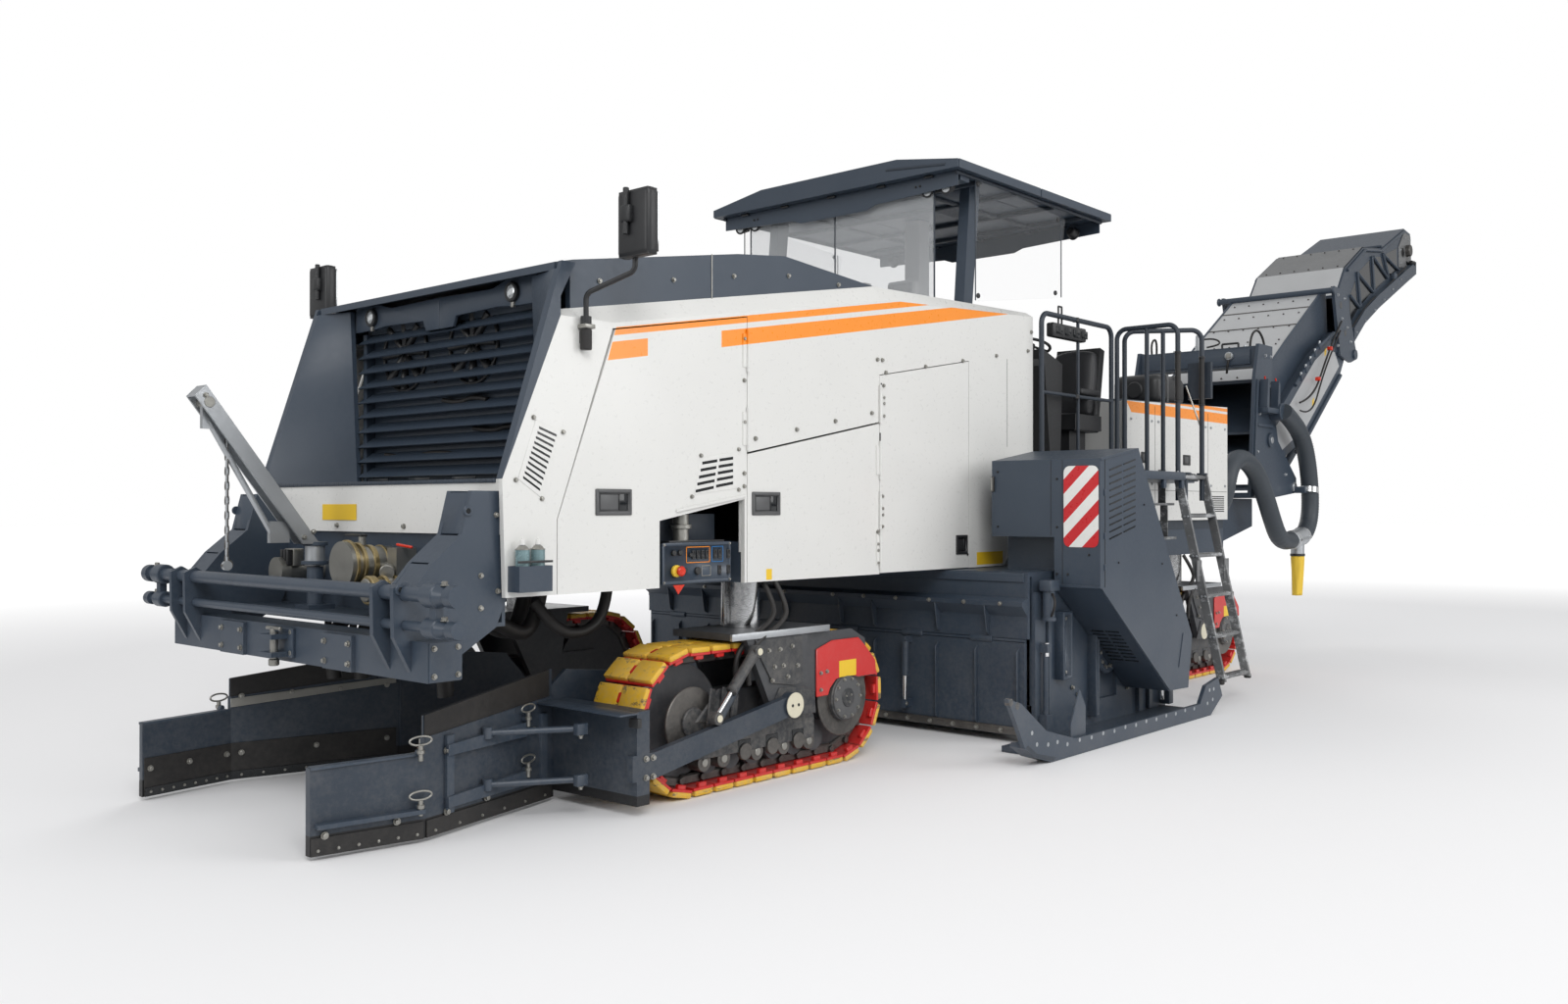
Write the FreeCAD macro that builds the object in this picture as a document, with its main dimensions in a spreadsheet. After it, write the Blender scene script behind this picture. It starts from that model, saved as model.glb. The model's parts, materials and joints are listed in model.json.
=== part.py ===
import FreeCAD, Part
import math
import os
import Sketcher

# A cold recycler on four steered crawler tracks, in millimetres.
# X runs from the front of travel (low) to the discharge conveyor (high), Y to the machine's right,
# Z up from the ground. Stations along X are counted from the front tracks' first ground contact,
# and every sub-part's Placement then shifts them so that the origin is under the middle of the box.

LEFT, RIGHT = -1, 1
SIDES = ((LEFT, "left"), (RIGHT, "right"))

doc = FreeCAD.newDocument("cold_recycler")
sheet = doc.addObject("Spreadsheet::Sheet", "sizes")

DRIVING = (
    # clearances
    ("fit_gap", 0.4, "round a turning pin or column"),
    ("knuckle_radius", 9, "door hinge knuckle"),
    ("hinge_pin", 5, "door hinge pin"),
    ("move_gap", 8, "between pieces that move past each other"),
    ("door_gap", 6, "round a door"),
    # overall stations
    ("front_tip", -1974, "tips of the front blades"),
    ("rear_tip", 16700, "discharge end of the conveyor"),
    ("body_half", 1260, "half width over the body sides"),
    ("body_floor", 1187, "underside of the chassis"),
    ("sheet_wall", 30, "thickness of doors and panels"),
    ("thin_plate", 20, "thickness of small plates"),
    # chassis
    ("chassis_front", -1060, "front end of the chassis"),
    ("chassis_depth", 243, "depth of the chassis frame"),
    ("chassis_half", 1215, "half width of the chassis frame"),
    ("chassis_rear", 7870, "rear end of the wide chassis"),
    # tracks
    ("front_track_x", 774, "centre of the front tracks"),
    ("rear_track_x", 6850, "centre of the rear tracks"),
    ("track_y", 1158, "centre of a track from the centre plane"),
    ("track_width", 400, "width of the shoes"),
    ("track_radius", 425, "outer radius of the loop at its ends"),
    ("track_wheelbase", 1330, "between the loop's end wheels"),
    ("shoe_height", 38, "height of a shoe over the belt of links"),
    ("link_height", 62, "thickness of the belt of links"),
    ("shoe_gap", 22, "gap between two shoes"),
    ("shoe_pitch", 170, "aimed spacing of the shoes"),
    ("bend_drop", 8, "how much lower the shoes sit round the end wheels"),
    ("column_y", 1090, "lifting column from the centre plane"),
    ("column_radius", 120, "chrome lifting column"),
    ("column_seat", 200, "length of the column inside the chassis"),
    ("yoke_gap", 8, "between a track and its yoke plates"),
    ("yoke_plate", 50, "thickness of a yoke plate"),
    ("foot_plate", 40, "thickness of the foot plate"),
    ("pivot_dx", 59, "track pivot behind the track's centre"),
    ("pivot_height", 453, "track pivot over the ground"),
    ("pivot_radius", 75, "cream pivot disc"),
    ("blade_pin", 28, "pin that the blades' lift arms turn on"),
    # hood
    ("crease_x", -789, "front edge of the front doors"),
    ("crease_knee", 1574, "height where the door's edge starts to slant"),
    ("crease_top_x", -398, "top of the slanting door edge"),
    ("crease_top_z", 2634, "height at the top of that edge"),
    ("wing_x", -1129, "front of the hood cheeks at their knee"),
    ("wing_knee", 1780, "height of the cheeks' knee"),
    ("wing_top_x", -755, "front top corner of the hood"),
    ("wing_top_z", 2920, "height of that corner"),
    ("ridge_half", 1210, "half width over the cheek ridges"),
    ("grille_half", 930, "half width of the grille opening"),
    ("grille_x", -650, "front of the grille"),
    ("seam_front", 650, "hinge seam of the front door"),
    ("seam_rear", 1966, "hinge seam of the middle and rear doors"),
    ("rear_door_end", 3060, "rear edge of the rear door"),
    ("hood_rear", 3990, "rear wall of the front hood"),
    ("hood_mid_x", 1978, "first bend of the hood's top edge"),
    ("hood_mid_z", 3049, "height there"),
    ("hood_rear_z", 3160, "height of the top edge at the rear"),
    ("shoulder_rise", 100, "rise of the white shoulder"),
    ("shoulder_run", 65, "run of the white shoulder"),
    ("hood_peak_x", 1070, "highest point of the dark hood"),
    ("hood_peak_z", 3220, "its height"),
    ("hood_skin", 40, "thickness of the dark hood"),
    ("step_seam_z", 1970, "front end of the middle door's top seam"),
    ("step_seam_rise", 250, "rise of that seam to the rear door"),
    ("rear_seam_z", 2540, "front end of the rear door's top seam"),
    ("rear_seam_rise", 190, "rise of that seam to the door's end"),
    ("panel_front", -66, "front of the control opening"),
    ("panel_rear", 628, "rear of the control opening"),
    ("panel_top", 1563, "top of the control opening at its front"),
    ("panel_rise", 125, "rise of its top edge"),
    # milling housing
    ("rotor_x", 3850, "rotor axis"),
    ("rotor_z", 560, "rotor axis over the ground"),
    ("rotor_radius", 530, "cutting radius"),
    ("drum_radius", 400, "bare drum"),
    ("rotor_half", 1900, "half working width"),
    ("housing_front", 2780, "front wall of the drum housing"),
    ("housing_rear", 4950, "rear wall of the drum housing"),
    ("housing_sheet", 30, "its wall thickness"),
    ("flap_hinge_z", 712, "hinge of the front flap"),
    ("flap_floor", 50, "lower edge of the front flap"),
    ("flap_pin", 14, "hinge bars of the flap and the scraper blade"),
    ("shaft_radius", 150, "rotor shaft"),
    ("side_plate_wall", 30, "thickness of the sliding side plates"),
    ("scraper_hinge_z", 1120, "hinge of the scraper blade"),
    ("scraper_floor", 40, "lower edge of the scraper blade"),
    ("side_housing_front", 3080, "front plane of the side housings"),
    ("side_housing_half", 2320, "outer face of the side housings"),
    ("side_housing_gap", 190, "between the body side and a side housing"),
    ("ski_half", 2358, "outer face of the skis"),
    ("ski_front", 2400, "start of the ski's flat sole"),
    ("ski_rear", 4840, "end of the ski's flat sole"),
    ("ski_sole", 40, "thickness of the sole"),
    # platform and canopy
    ("deck_z", 1930, "operator's platform"),
    ("deck_sheet", 60, "thickness of the platform"),
    ("deck_half", 1950, "half width of the platform"),
    ("rear_hood_front", 5610, "front wall of the rear hood"),
    ("rear_hood_z", 2670, "top of the rear hood"),
    ("rear_hood_floor", 1520, "lower edge of the white rear hood"),
    ("walk_width", 240, "walkway beside the rear hood"),
    ("rail_radius", 21, "handrail tube"),
    ("rail_height", 1270, "handrail over the platform"),
    ("rail_half", 1310, "side rails from the centre plane"),
    ("rail_rear", 5230, "rear end of the side rails"),
    ("rail_bend", 90, "bend of the handrails"),
    ("stair_front", 5360, "front stile of the boarding ladder"),
    ("stair_rear", 5880, "rear stile of the boarding ladder"),
    ("stair_head", 1815, "head of the ladder from the centre plane"),
    ("stair_foot", 2200, "foot of the ladder from the centre plane"),
    ("stair_floor", 200, "foot of the ladder over the ground"),
    ("stile_depth", 70, "depth of a ladder stile"),
    ("station_near", 790, "inner side of the operators' seats"),
    ("station_far", 1250, "outer side of the operators' seats"),
    ("canopy_front", 2920, "front edge of the roof"),
    ("canopy_rear", 5330, "rear edge of the roof"),
    ("canopy_z", 4300, "top of the roof"),
    ("canopy_half", 1260, "half width of the roof"),
    ("glass_half", 1150, "half width between the side windows"),
    ("glass_wall", 6, "thickness of a window"),
    # front frame
    ("bumper_x", -1610, "front of the lower cross beam"),
    ("bumper_floor", 820, "underside of the lower cross beam"),
    ("bumper_half", 1350, "half width of the lower cross beam"),
    ("push_bar_x", -1640, "push bars"),
    ("push_bar_half", 1640, "half length of the push bars"),
    ("davit_x", -1250, "davit post"),
    ("davit_y", 350, "davit post from the centre plane"),
    # blades
    ("blade_sheet", 40, "thickness of the front blades"),
    ("blade_floor", 20, "lower edge of the front blades"),
    # conveyor
    ("slew_x", 10000, "slewing axis of the conveyor"),
    ("slew_z", 1750, "top of the rear frame"),
    ("conveyor_half", 720, "half width over the conveyor's side plates"),
    ("belt_half", 600, "half width of the belt covers"),
    ("cheek_plate", 40, "thickness of the slewing frame's cheeks"),
    ("cheek_top", 3580, "top of the slewing frame's cheeks"),
    ("beam_depth", 260, "depth of the cross beam between them"),
    ("conveyor_wall", 30, "thickness of the conveyor's plates"),
    ("luff_pin", 45, "luffing pins"),
    ("fold_pin", 34, "folding pins"),
    ("luff_x", 10350, "luffing pivot"),
    ("luff_z", 2450, "its height"),
    ("fold_x", 13480, "folding pivot"),
    ("fold_z", 3760, "its height"),
    ("ram_foot_x", 11140, "lower eye of the luffing rams"),
    ("ram_foot_z", 1900, "its height"),
    ("ram_head_x", 13130, "upper eye of the luffing rams"),
    ("ram_head_z", 3210, "its height"),
    ("ram_y", 500, "luffing rams from the centre plane"),
    ("ram_pin", 40, "pin of the rams' lower eyes"),
    ("ram_beam", 36, "round beam in the rods' upper eyes"),
    ("eye_play", 24, "round the beam, as the eyes travel a little across it"),
    ("ram_tube", 55, "ram barrel"),
    ("ram_rod", 31, "ram rod"),
    ("post_half", 995, "canopy posts from the centre plane"),
    ("mast_x", 4175, "canopy mast"),
    ("duct_radius", 105, "extraction ducts"),
    ("duct_y", 905, "extraction ducts from the centre plane"),
)


class Size:
    """A length that knows its value and the sheet formula it comes from."""

    def __init__(self, value, formula):
        self.value = value
        self.formula = formula

    def __add__(self, other):
        other = as_size(other)
        return Size(self.value + other.value, f"({self.formula} + {other.formula})")

    def __sub__(self, other):
        other = as_size(other)
        return Size(self.value - other.value, f"({self.formula} - {other.formula})")

    def __mul__(self, other):
        other = as_size(other)
        return Size(self.value * other.value, f"({self.formula} * {other.formula})")

    def __truediv__(self, other):
        other = as_size(other)
        return Size(self.value / other.value, f"({self.formula} / {other.formula})")

    def __neg__(self):
        return Size(-self.value, f"(-1 * {self.formula})")

    def __radd__(self, other):
        return as_size(other) + self

    def __rsub__(self, other):
        return as_size(other) - self

    def __rmul__(self, other):
        return as_size(other) * self


def as_size(number):
    if isinstance(number, Size):
        return number
    return Size(float(number), f"({float(number)!r})")


def fill_sheet():
    """One row for each driving dimension: its name, its value under that alias, and what it is."""
    for row, (alias, value, meaning) in enumerate(DRIVING, start=1):
        sheet.set(f"A{row}", alias)
        sheet.set(f"B{row}", str(value))
        sheet.setAlias(f"B{row}", alias)
        sheet.set(f"C{row}", meaning)
    doc.recompute()


class Sizes:
    """Reads a named size back from the sheet."""

    def __getattr__(self, alias):
        return Size(float(sheet.get(alias)), f"sizes.{alias}")


fill_sheet()
z = Sizes()
middle = (z.front_tip + z.rear_tip) / 2


# ---------------------------------------------------------------- shapes

def new(kind, name):
    return doc.addObject(kind, name)


def bind(thing, path, amount):
    thing.setExpression(path, as_size(amount).formula)


def value(number):
    return as_size(number).value


def span(side, near, far):
    """The Y range from near to far of the centre plane on one side, low end first."""
    if side == LEFT:
        return (-as_size(far), -as_size(near))
    return (as_size(near), as_size(far))


def both(half):
    return (-as_size(half), as_size(half))


def block(xs, ys, zs, name="block"):
    box = new("Part::Box", name)
    for path, (low, high) in (("Length", xs), ("Width", ys), ("Height", zs)):
        bind(box, path, as_size(high) - low)
    for path, low in (("x", xs[0]), ("y", ys[0]), ("z", zs[0])):
        bind(box, f"Placement.Base.{path}", low)
    return box


TURNS = {
    "x": FreeCAD.Rotation(FreeCAD.Vector(0, 1, 0), 90),
    "y": FreeCAD.Rotation(FreeCAD.Vector(1, 0, 0), -90),
    "z": FreeCAD.Rotation(),
}


def rod(axis, centre, radius, reach, name="rod"):
    """A round bar along axis; centre is its other two coordinates, in X, Y, Z order."""
    low, high = reach
    bar = new("Part::Cylinder", name)
    bar.Placement = FreeCAD.Placement(FreeCAD.Vector(), TURNS[axis])
    bind(bar, "Radius", radius)
    bind(bar, "Height", as_size(high) - low)
    others = [letter for letter in "xyz" if letter != axis]
    bind(bar, f"Placement.Base.{axis}", low)
    for letter, place in zip(others, centre):
        bind(bar, f"Placement.Base.{letter}", place)
    return bar


def strut(start, end, y, radius, name="strut"):
    """A round bar between two (x, z) points at one y."""
    run = as_size(end[0]) - start[0]
    rise = as_size(end[1]) - start[1]
    bar = new("Part::Cylinder", name)
    bar.Placement = FreeCAD.Placement(FreeCAD.Vector(), FreeCAD.Rotation(FreeCAD.Vector(0, 1, 0), 1))
    bind(bar, "Radius", radius)
    bar.setExpression("Height", f"sqrt({run.formula} ^ 2 + {rise.formula} ^ 2)")
    bar.setExpression("Placement.Rotation.Angle", f"atan2({run.formula}; {rise.formula})")
    bind(bar, "Placement.Base.x", start[0])
    bind(bar, "Placement.Base.y", y)
    bind(bar, "Placement.Base.z", start[1])
    return bar


PLANES = {
    "x": ("y", "z", FreeCAD.Rotation(FreeCAD.Vector(1, 1, 1), 120), FreeCAD.Vector(1, 0, 0)),
    "y": ("x", "z", FreeCAD.Rotation(FreeCAD.Vector(1, 0, 0), 90), FreeCAD.Vector(0, 1, 0)),
    "z": ("x", "y", FreeCAD.Rotation(), FreeCAD.Vector(0, 0, 1)),
}


def outline(axis, corners, station, name="outline"):
    """A closed sketch square to axis, each corner's two coordinates bound to the sheet."""
    sketch = new("Sketcher::SketchObject", name)
    count = len(corners)
    spots = [FreeCAD.Vector(value(across), value(up), 0) for across, up in corners]
    for index in range(count):
        sketch.addGeometry(Part.LineSegment(spots[index], spots[(index + 1) % count]), False)
    rules = [Sketcher.Constraint("Coincident", index, 2, (index + 1) % count, 1) for index in range(count)]
    for index, spot in enumerate(spots):
        rules.append(Sketcher.Constraint("DistanceX", -1, 1, index, 1, spot.x))
        rules.append(Sketcher.Constraint("DistanceY", -1, 1, index, 1, spot.y))
    sketch.addConstraint(rules)
    for index, (across, up) in enumerate(corners):
        bind(sketch, f"Constraints[{count + 2 * index}]", across)
        bind(sketch, f"Constraints[{count + 2 * index + 1}]", up)
    sketch.Placement = FreeCAD.Placement(FreeCAD.Vector(), PLANES[axis][2])
    bind(sketch, f"Placement.Base.{axis}", station)
    return sketch


def prism(axis, corners, reach, name="prism"):
    """A straight prism along axis over an outline."""
    low, high = reach
    solid = new("Part::Extrusion", name)
    solid.Base = outline(axis, corners, low)
    solid.DirMode = "Custom"
    solid.Dir = PLANES[axis][3]
    solid.Solid = True
    bind(solid, "LengthFwd", as_size(high) - low)
    return solid


def taper(axis, corners, station, far_corners, far_station, name="taper"):
    """A ruled solid between two outlines with the same number of corners."""
    solid = new("Part::Loft", name)
    solid.Sections = [outline(axis, corners, station), outline(axis, far_corners, far_station)]
    solid.Ruled = True
    solid.Solid = True
    return solid


def fuse(pieces, name="joined"):
    joined = new("Part::MultiFuse", name)
    joined.Shapes = pieces
    return joined


def cut(base, tools, name="cut"):
    result = new("Part::Cut", name)
    result.Base = base
    result.Tool = tools[0] if len(tools) == 1 else fuse(tools)
    return result


def made(shape, name="made"):
    """An object whose shape is worked out here from the sheet's values."""
    feature = new("Part::Feature", name)
    feature.Shape = shape
    return feature


def bent_tube(points, radius, bend, name="tube"):
    """A round tube through points, its straight runs joined by tangent arcs of radius bend."""
    spots = [FreeCAD.Vector(*(value(part) for part in point)) for point in points]
    bend = value(bend)
    radius = value(radius)
    edges = []
    start = spots[0]
    for before, corner, after in zip(spots, spots[1:], spots[2:]):
        inward = (before - corner).normalize()
        outward = (after - corner).normalize()
        turn = math.pi - inward.getAngle(outward)
        setback = bend * math.tan(turn / 2)
        arc_start = corner + inward * setback
        arc_end = corner + outward * setback
        bisector = (inward + outward).normalize()
        centre = corner + bisector * (bend / math.cos(turn / 2))
        arc_middle = centre - bisector * bend
        edges.append(Part.LineSegment(start, arc_start).toShape())
        edges.append(Part.Arc(arc_start, arc_middle, arc_end).toShape())
        start = arc_end
    edges.append(Part.LineSegment(start, spots[-1]).toShape())
    path = Part.Wire(edges)
    profile = Part.Wire([Part.makeCircle(radius, spots[0], spots[1] - spots[0])])
    return made(path.makePipeShell([profile], True, True), name)


sub_parts = []


def node(label, pieces, joined=True):
    """The finished sub-part: its pieces in one object with its own Label and Placement."""
    if len(pieces) == 1:
        whole = new("Part::Compound", label)
        whole.Links = pieces
    elif joined:
        whole = fuse(pieces, label)
    else:
        whole = new("Part::Compound", label)
        whole.Links = pieces
    whole.Label = label
    bind(whole, "Placement.Base.x", -middle)
    sub_parts.append(whole)
    return whole


def paired(label, maker):
    """One sub-part that holds the same piece on both sides of the machine."""
    node(label, [piece for side, _ in SIDES for piece in maker(side)])


# ---------------------------------------------------------------- shared lines

chassis_top = z.body_floor + z.chassis_depth
panel_in = z.body_half - z.sheet_wall
side_housing_inner = z.body_half + z.side_housing_gap
edge_slope = (z.hood_mid_z - z.crease_top_z) / (z.hood_mid_x - z.crease_top_x)
wing_slope = (z.wing_top_x - z.wing_x) / (z.wing_top_z - z.wing_knee)
shoulder_in = z.body_half - z.shoulder_run
track_inner = z.track_y - z.track_width / 2
track_outer = z.track_y + z.track_width / 2
seam_slope = z.step_seam_rise / (z.seam_rear - z.seam_front)
rear_seam_slope = z.rear_seam_rise / (z.rear_door_end - z.seam_rear)


def edge_z(x):
    """Height of the hood's side edge at x, forward of its first bend."""
    return z.crease_top_z + edge_slope * (as_size(x) - z.crease_top_x)


def wing_front(height):
    """Station of the cheeks' front edge at a height."""
    return z.wing_x + wing_slope * (as_size(height) - z.wing_knee)


def step_seam(x):
    return z.step_seam_z + seam_slope * (as_size(x) - z.seam_front)


def rear_seam(x):
    return z.rear_seam_z + rear_seam_slope * (as_size(x) - z.seam_rear)


# ---------------------------------------------------------------- chassis and hood

def chassis_frame():
    """The main frame: a wide slab with bores for the four lifting columns, and the conveyor's carrier."""
    slab = block((z.chassis_front, z.chassis_rear), both(z.chassis_half), (z.body_floor, chassis_top))
    bores = []
    for track_x in (z.front_track_x, z.rear_track_x):
        for side, _ in SIDES:
            depth = (z.body_floor - 10, z.body_floor + z.column_seat + z.move_gap)
            bores.append(rod("z", (track_x, side * z.column_y), z.column_radius + z.fit_gap, depth))
    for side, _ in SIDES:
        bores.append(block((z.panel_front - 10, z.panel_rear + 10), span(side, z.chassis_half - 220, 1400),
                           (z.body_floor - 10, chassis_top + 10)))
    carrier_half = 560
    carrier = prism("y", ((z.chassis_rear - 400, z.body_floor), (z.slew_x - 700, z.body_floor + 40),
                          (z.slew_x + 330, z.slew_z - 330), (z.slew_x + 330, z.slew_z),
                          (z.chassis_rear - 400, z.slew_z)), both(carrier_half))
    pin = rod("z", (z.slew_x, 0), 90, (z.slew_z - 10, z.slew_z + 180))
    node("chassis_frame", [cut(slab, bores), carrier, pin])


def engine_block():
    node("engine_block", [block((500, 2500), both(600), (chassis_top, chassis_top + 1050))])


hinge_length = 200
hinge_y = z.body_half + z.knuckle_radius + z.fit_gap


def door_knuckle(side, seam, low, door_way):
    """The door's half of a hinge: a knuckle and its strap. door_way is -1 where the door lies forward of it."""
    tube = rod("z", (seam, side * hinge_y), z.knuckle_radius, (low, low + hinge_length))
    xs = (seam + 5, seam + 40) if door_way > 0 else (seam - 40, seam - 5)
    strap = block(xs, span(side, z.body_half - 2, z.body_half + 6), (low, low + hinge_length))
    bore = rod("z", (seam, side * hinge_y), z.hinge_pin + z.fit_gap, (low - 5, low + hinge_length + 5))
    return cut(fuse([tube, strap]), [bore])


def body_knuckles(side, seam, low):
    """The body's half of a hinge: its pin, an end knuckle above and below, and a fin through the seam."""
    pieces = [rod("z", (seam, side * hinge_y), z.hinge_pin, (low - 30, low + hinge_length + 30))]
    for start, end in ((low - 30, low - 1), (low + hinge_length + 1, low + hinge_length + 30)):
        pieces.append(rod("z", (seam, side * hinge_y), z.knuckle_radius, (start, end)))
        pieces.append(block((seam - 1.5, seam + 1.5), span(side, panel_in - 10, hinge_y), (start, end)))
    return pieces


FRONT_HINGES = (2010, 2480)
MIDDLE_HINGES = (1250, 1860)
REAR_HINGES = (1520, 2240)


def front_door(side, name):
    """The tall front door, with its slanting front edge and the notch over the control panel."""
    end = z.seam_front - z.door_gap / 2
    drop = z.sheet_wall + z.door_gap
    gap = z.door_gap
    corners = (
        (z.crease_x + gap, z.body_floor), (z.panel_front, z.body_floor), (z.panel_front, z.panel_top),
        (z.panel_rear, z.panel_top + z.panel_rise), (z.panel_rear, z.body_floor), (end, z.body_floor),
        (end, edge_z(end) - drop), (z.crease_top_x + gap, edge_z(z.crease_top_x) - drop),
        (z.crease_x + gap, z.crease_knee))
    skin = prism("y", corners, span(side, panel_in, z.body_half))
    knuckles = [door_knuckle(side, z.seam_front, low, -1) for low in FRONT_HINGES]
    node(f"{name}_front_door", [skin] + knuckles)


def middle_door(side, name):
    front = z.seam_front + z.door_gap / 2
    end = z.seam_rear - z.door_gap / 2
    top_gap = z.door_gap * 2
    corners = ((front, z.body_floor), (end, z.body_floor), (end, step_seam(end) - top_gap),
               (front, step_seam(front) - top_gap))
    column_room = rod("z", (z.front_track_x, side * z.column_y), z.column_radius + z.move_gap,
                      (z.body_floor - z.move_gap, z.body_floor + z.column_seat + z.move_gap))
    skin = cut(prism("y", corners, span(side, panel_in, z.body_half)), [column_room])
    knuckles = [door_knuckle(side, z.seam_rear, low, -1) for low in MIDDLE_HINGES]
    node(f"{name}_middle_door", [skin] + knuckles)


def rear_door(side, name):
    front = z.seam_rear + z.door_gap / 2
    end = z.rear_door_end
    foot = z.body_floor + z.move_gap
    corners = ((front, foot), (end, foot), (end, rear_seam(end) - z.door_gap),
               (front, rear_seam(front) - z.door_gap))
    skin = prism("y", corners, span(side, panel_in, z.body_half))
    knuckles = [door_knuckle(side, z.seam_rear, low, 1) for low in REAR_HINGES]
    node(f"{name}_rear_door", [skin] + knuckles)


def body_panels(side):
    """The fixed white panels of one side: front facet, upper panels, rear corner and shoulder."""
    thick = span(side, panel_in, z.body_half)
    wing_white_top = wing_front(z.crease_top_z) + 85
    facet = prism("y", ((z.wing_x + 20, z.body_floor), (z.crease_x, z.body_floor), (z.crease_x, z.crease_knee),
                        (z.crease_top_x, z.crease_top_z), (wing_white_top, z.crease_top_z),
                        (z.wing_x, z.wing_knee)), thick)
    front = z.seam_front + z.door_gap / 2
    split = z.seam_rear
    end = z.hood_rear
    door_end = z.rear_door_end + z.door_gap
    inner_top = z.hood_mid_z - 10
    upper = prism("y", ((front, step_seam(front)), (split, step_seam(split)), (split, rear_seam(split)),
                        (z.rear_door_end, rear_seam(z.rear_door_end)), (door_end, rear_seam(z.rear_door_end)),
                        (door_end, z.body_floor + 6), (3560, z.body_floor + 6), (end, 1700),
                        (end, z.hood_rear_z - 15), (z.hood_mid_x, inner_top), (front, edge_z(front) - 10)), thick)
    drop = z.sheet_wall
    outer = ((wing_white_top, z.crease_top_z - drop), (z.crease_top_x, z.crease_top_z - drop),
             (z.hood_mid_x, z.hood_mid_z - drop), (end, z.hood_rear_z - drop), (end, z.hood_rear_z),
             (z.hood_mid_x, z.hood_mid_z), (z.crease_top_x, z.crease_top_z), (wing_white_top, z.crease_top_z))
    rise = z.shoulder_rise
    wing_inner_z = edge_z(wing_white_top) + rise
    inner = ((wing_white_top, wing_inner_z - drop), (z.crease_top_x, z.crease_top_z + rise - drop),
             (z.hood_mid_x, z.hood_mid_z + rise - drop), (end, z.hood_rear_z + 40 - drop), (end, z.hood_rear_z + 40),
             (z.hood_mid_x, z.hood_mid_z + rise), (z.crease_top_x, z.crease_top_z + rise),
             (wing_white_top, wing_inner_z))
    shoulder = taper("y", outer, side * z.body_half, inner, side * shoulder_in)
    posts = [block((seam - 25, seam + 25), span(side, z.chassis_half, panel_in - 5), (chassis_top - 60, top))
             for seam, top in ((z.seam_front, 2700), (z.seam_rear, 2600))]
    hinges = []
    for seam, heights in ((z.seam_front, FRONT_HINGES), (z.seam_rear, MIDDLE_HINGES), (z.seam_rear, REAR_HINGES)):
        for low in heights:
            hinges += body_knuckles(side, seam, low)
    return [facet, upper, shoulder] + posts + hinges


def hood_top():
    """The dark upper hood: side walls inside the shoulders and a roof that rises to its peak."""
    wall_front = z.wing_top_x + 105
    wall_foot = edge_z(wall_front) + z.shoulder_rise
    lower_rear = z.hood_mid_z + z.shoulder_rise
    roof_line = ((z.wing_top_x, z.wing_top_z), (-630, 2950), (z.hood_peak_x - 430, z.hood_peak_z - 50),
                 (z.hood_peak_x, z.hood_peak_z), (z.hood_mid_x, lower_rear))
    walls = []
    for side, _ in SIDES:
        corners = ((wall_front, z.wing_top_z), (wall_front, wall_foot)) + tuple(reversed(roof_line[1:]))
        walls.append(prism("y", corners, span(side, shoulder_in - z.hood_skin, shoulder_in)))
    under = tuple((x, height - z.hood_skin) for x, height in reversed(roof_line))
    roof = prism("y", roof_line + under, both(shoulder_in))
    node("hood_top", walls + [roof])


def hood_rear_deck():
    """The white deck behind the dark hood and the wall towards the operator's platform."""
    lower_rear = z.hood_mid_z + z.shoulder_rise
    line = ((z.hood_mid_x, lower_rear), (z.hood_rear, z.hood_rear_z + 40))
    under = tuple((x, height - z.sheet_wall) for x, height in reversed(line))
    deck = prism("y", line + under, both(shoulder_in))
    wall = block((z.hood_rear - z.sheet_wall, z.hood_rear), both(shoulder_in), (chassis_top, z.hood_rear_z + 20))
    node("hood_rear_deck", [deck, wall])


def front_cheeks():
    """The splayed cheeks beside the grille, and the header over it."""
    pieces = []
    low = z.wing_knee
    high = z.wing_top_z - z.hood_skin
    for side, _ in SIDES:
        def ring(front, grille_front):
            return ((front, side * panel_in), (front, side * z.ridge_half), (grille_front, side * z.grille_half),
                    (grille_front + 30, side * z.grille_half), (grille_front + 30, side * (z.grille_half + 26)),
                    (front + 60, side * panel_in))
        pieces.append(taper("z", ring(z.wing_x, z.grille_x), low, ring(wing_front(high), z.grille_x - 50), high))
        pieces.append(prism("y", ((z.wing_x, low), (z.wing_top_x, z.wing_top_z), (z.wing_top_x + 90, z.wing_top_z),
                                  (wing_front(z.crease_top_z) + 85, z.crease_top_z + 100),
                                  (wing_front(z.crease_top_z) + 85, z.crease_top_z)),
                            span(side, panel_in, z.body_half)))
    lintel = z.grille_x + 50
    header = prism("y", ((lintel, high), (lintel + 120, high), (lintel + 150, high - 80), (lintel + 150, 2740),
                         (lintel + 30, 2740)), both(z.grille_half))
    lamps = [rod("x", (side * 723, 2826), 48, (z.grille_x - 8, lintel + 5)) for side, _ in SIDES]
    node("front_cheeks", pieces + [header] + lamps)


def radiator_grille():
    """Ten sloping louvres between two posts, with the radiator core behind them."""
    pieces = []
    louvre_count = 10
    low = 1830
    pitch = 94
    for index in range(louvre_count):
        base = low + pitch * index
        pieces.append(prism("y", ((z.grille_x, base), (z.grille_x + 12, base - 4), (z.grille_x + 95, base + 58),
                                  (z.grille_x + 83, base + 62)), both(z.grille_half - 4)))
    for side, _ in SIDES:
        pieces.append(block((z.grille_x + 40, z.grille_x + 100), span(side, z.grille_half - 44, z.grille_half - 4),
                            (z.wing_knee, 2740)))
    core = block((z.grille_x + 98, z.grille_x + 260), both(z.grille_half - 4), (chassis_top, 2740))
    node("radiator_grille", pieces + [core])


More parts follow.
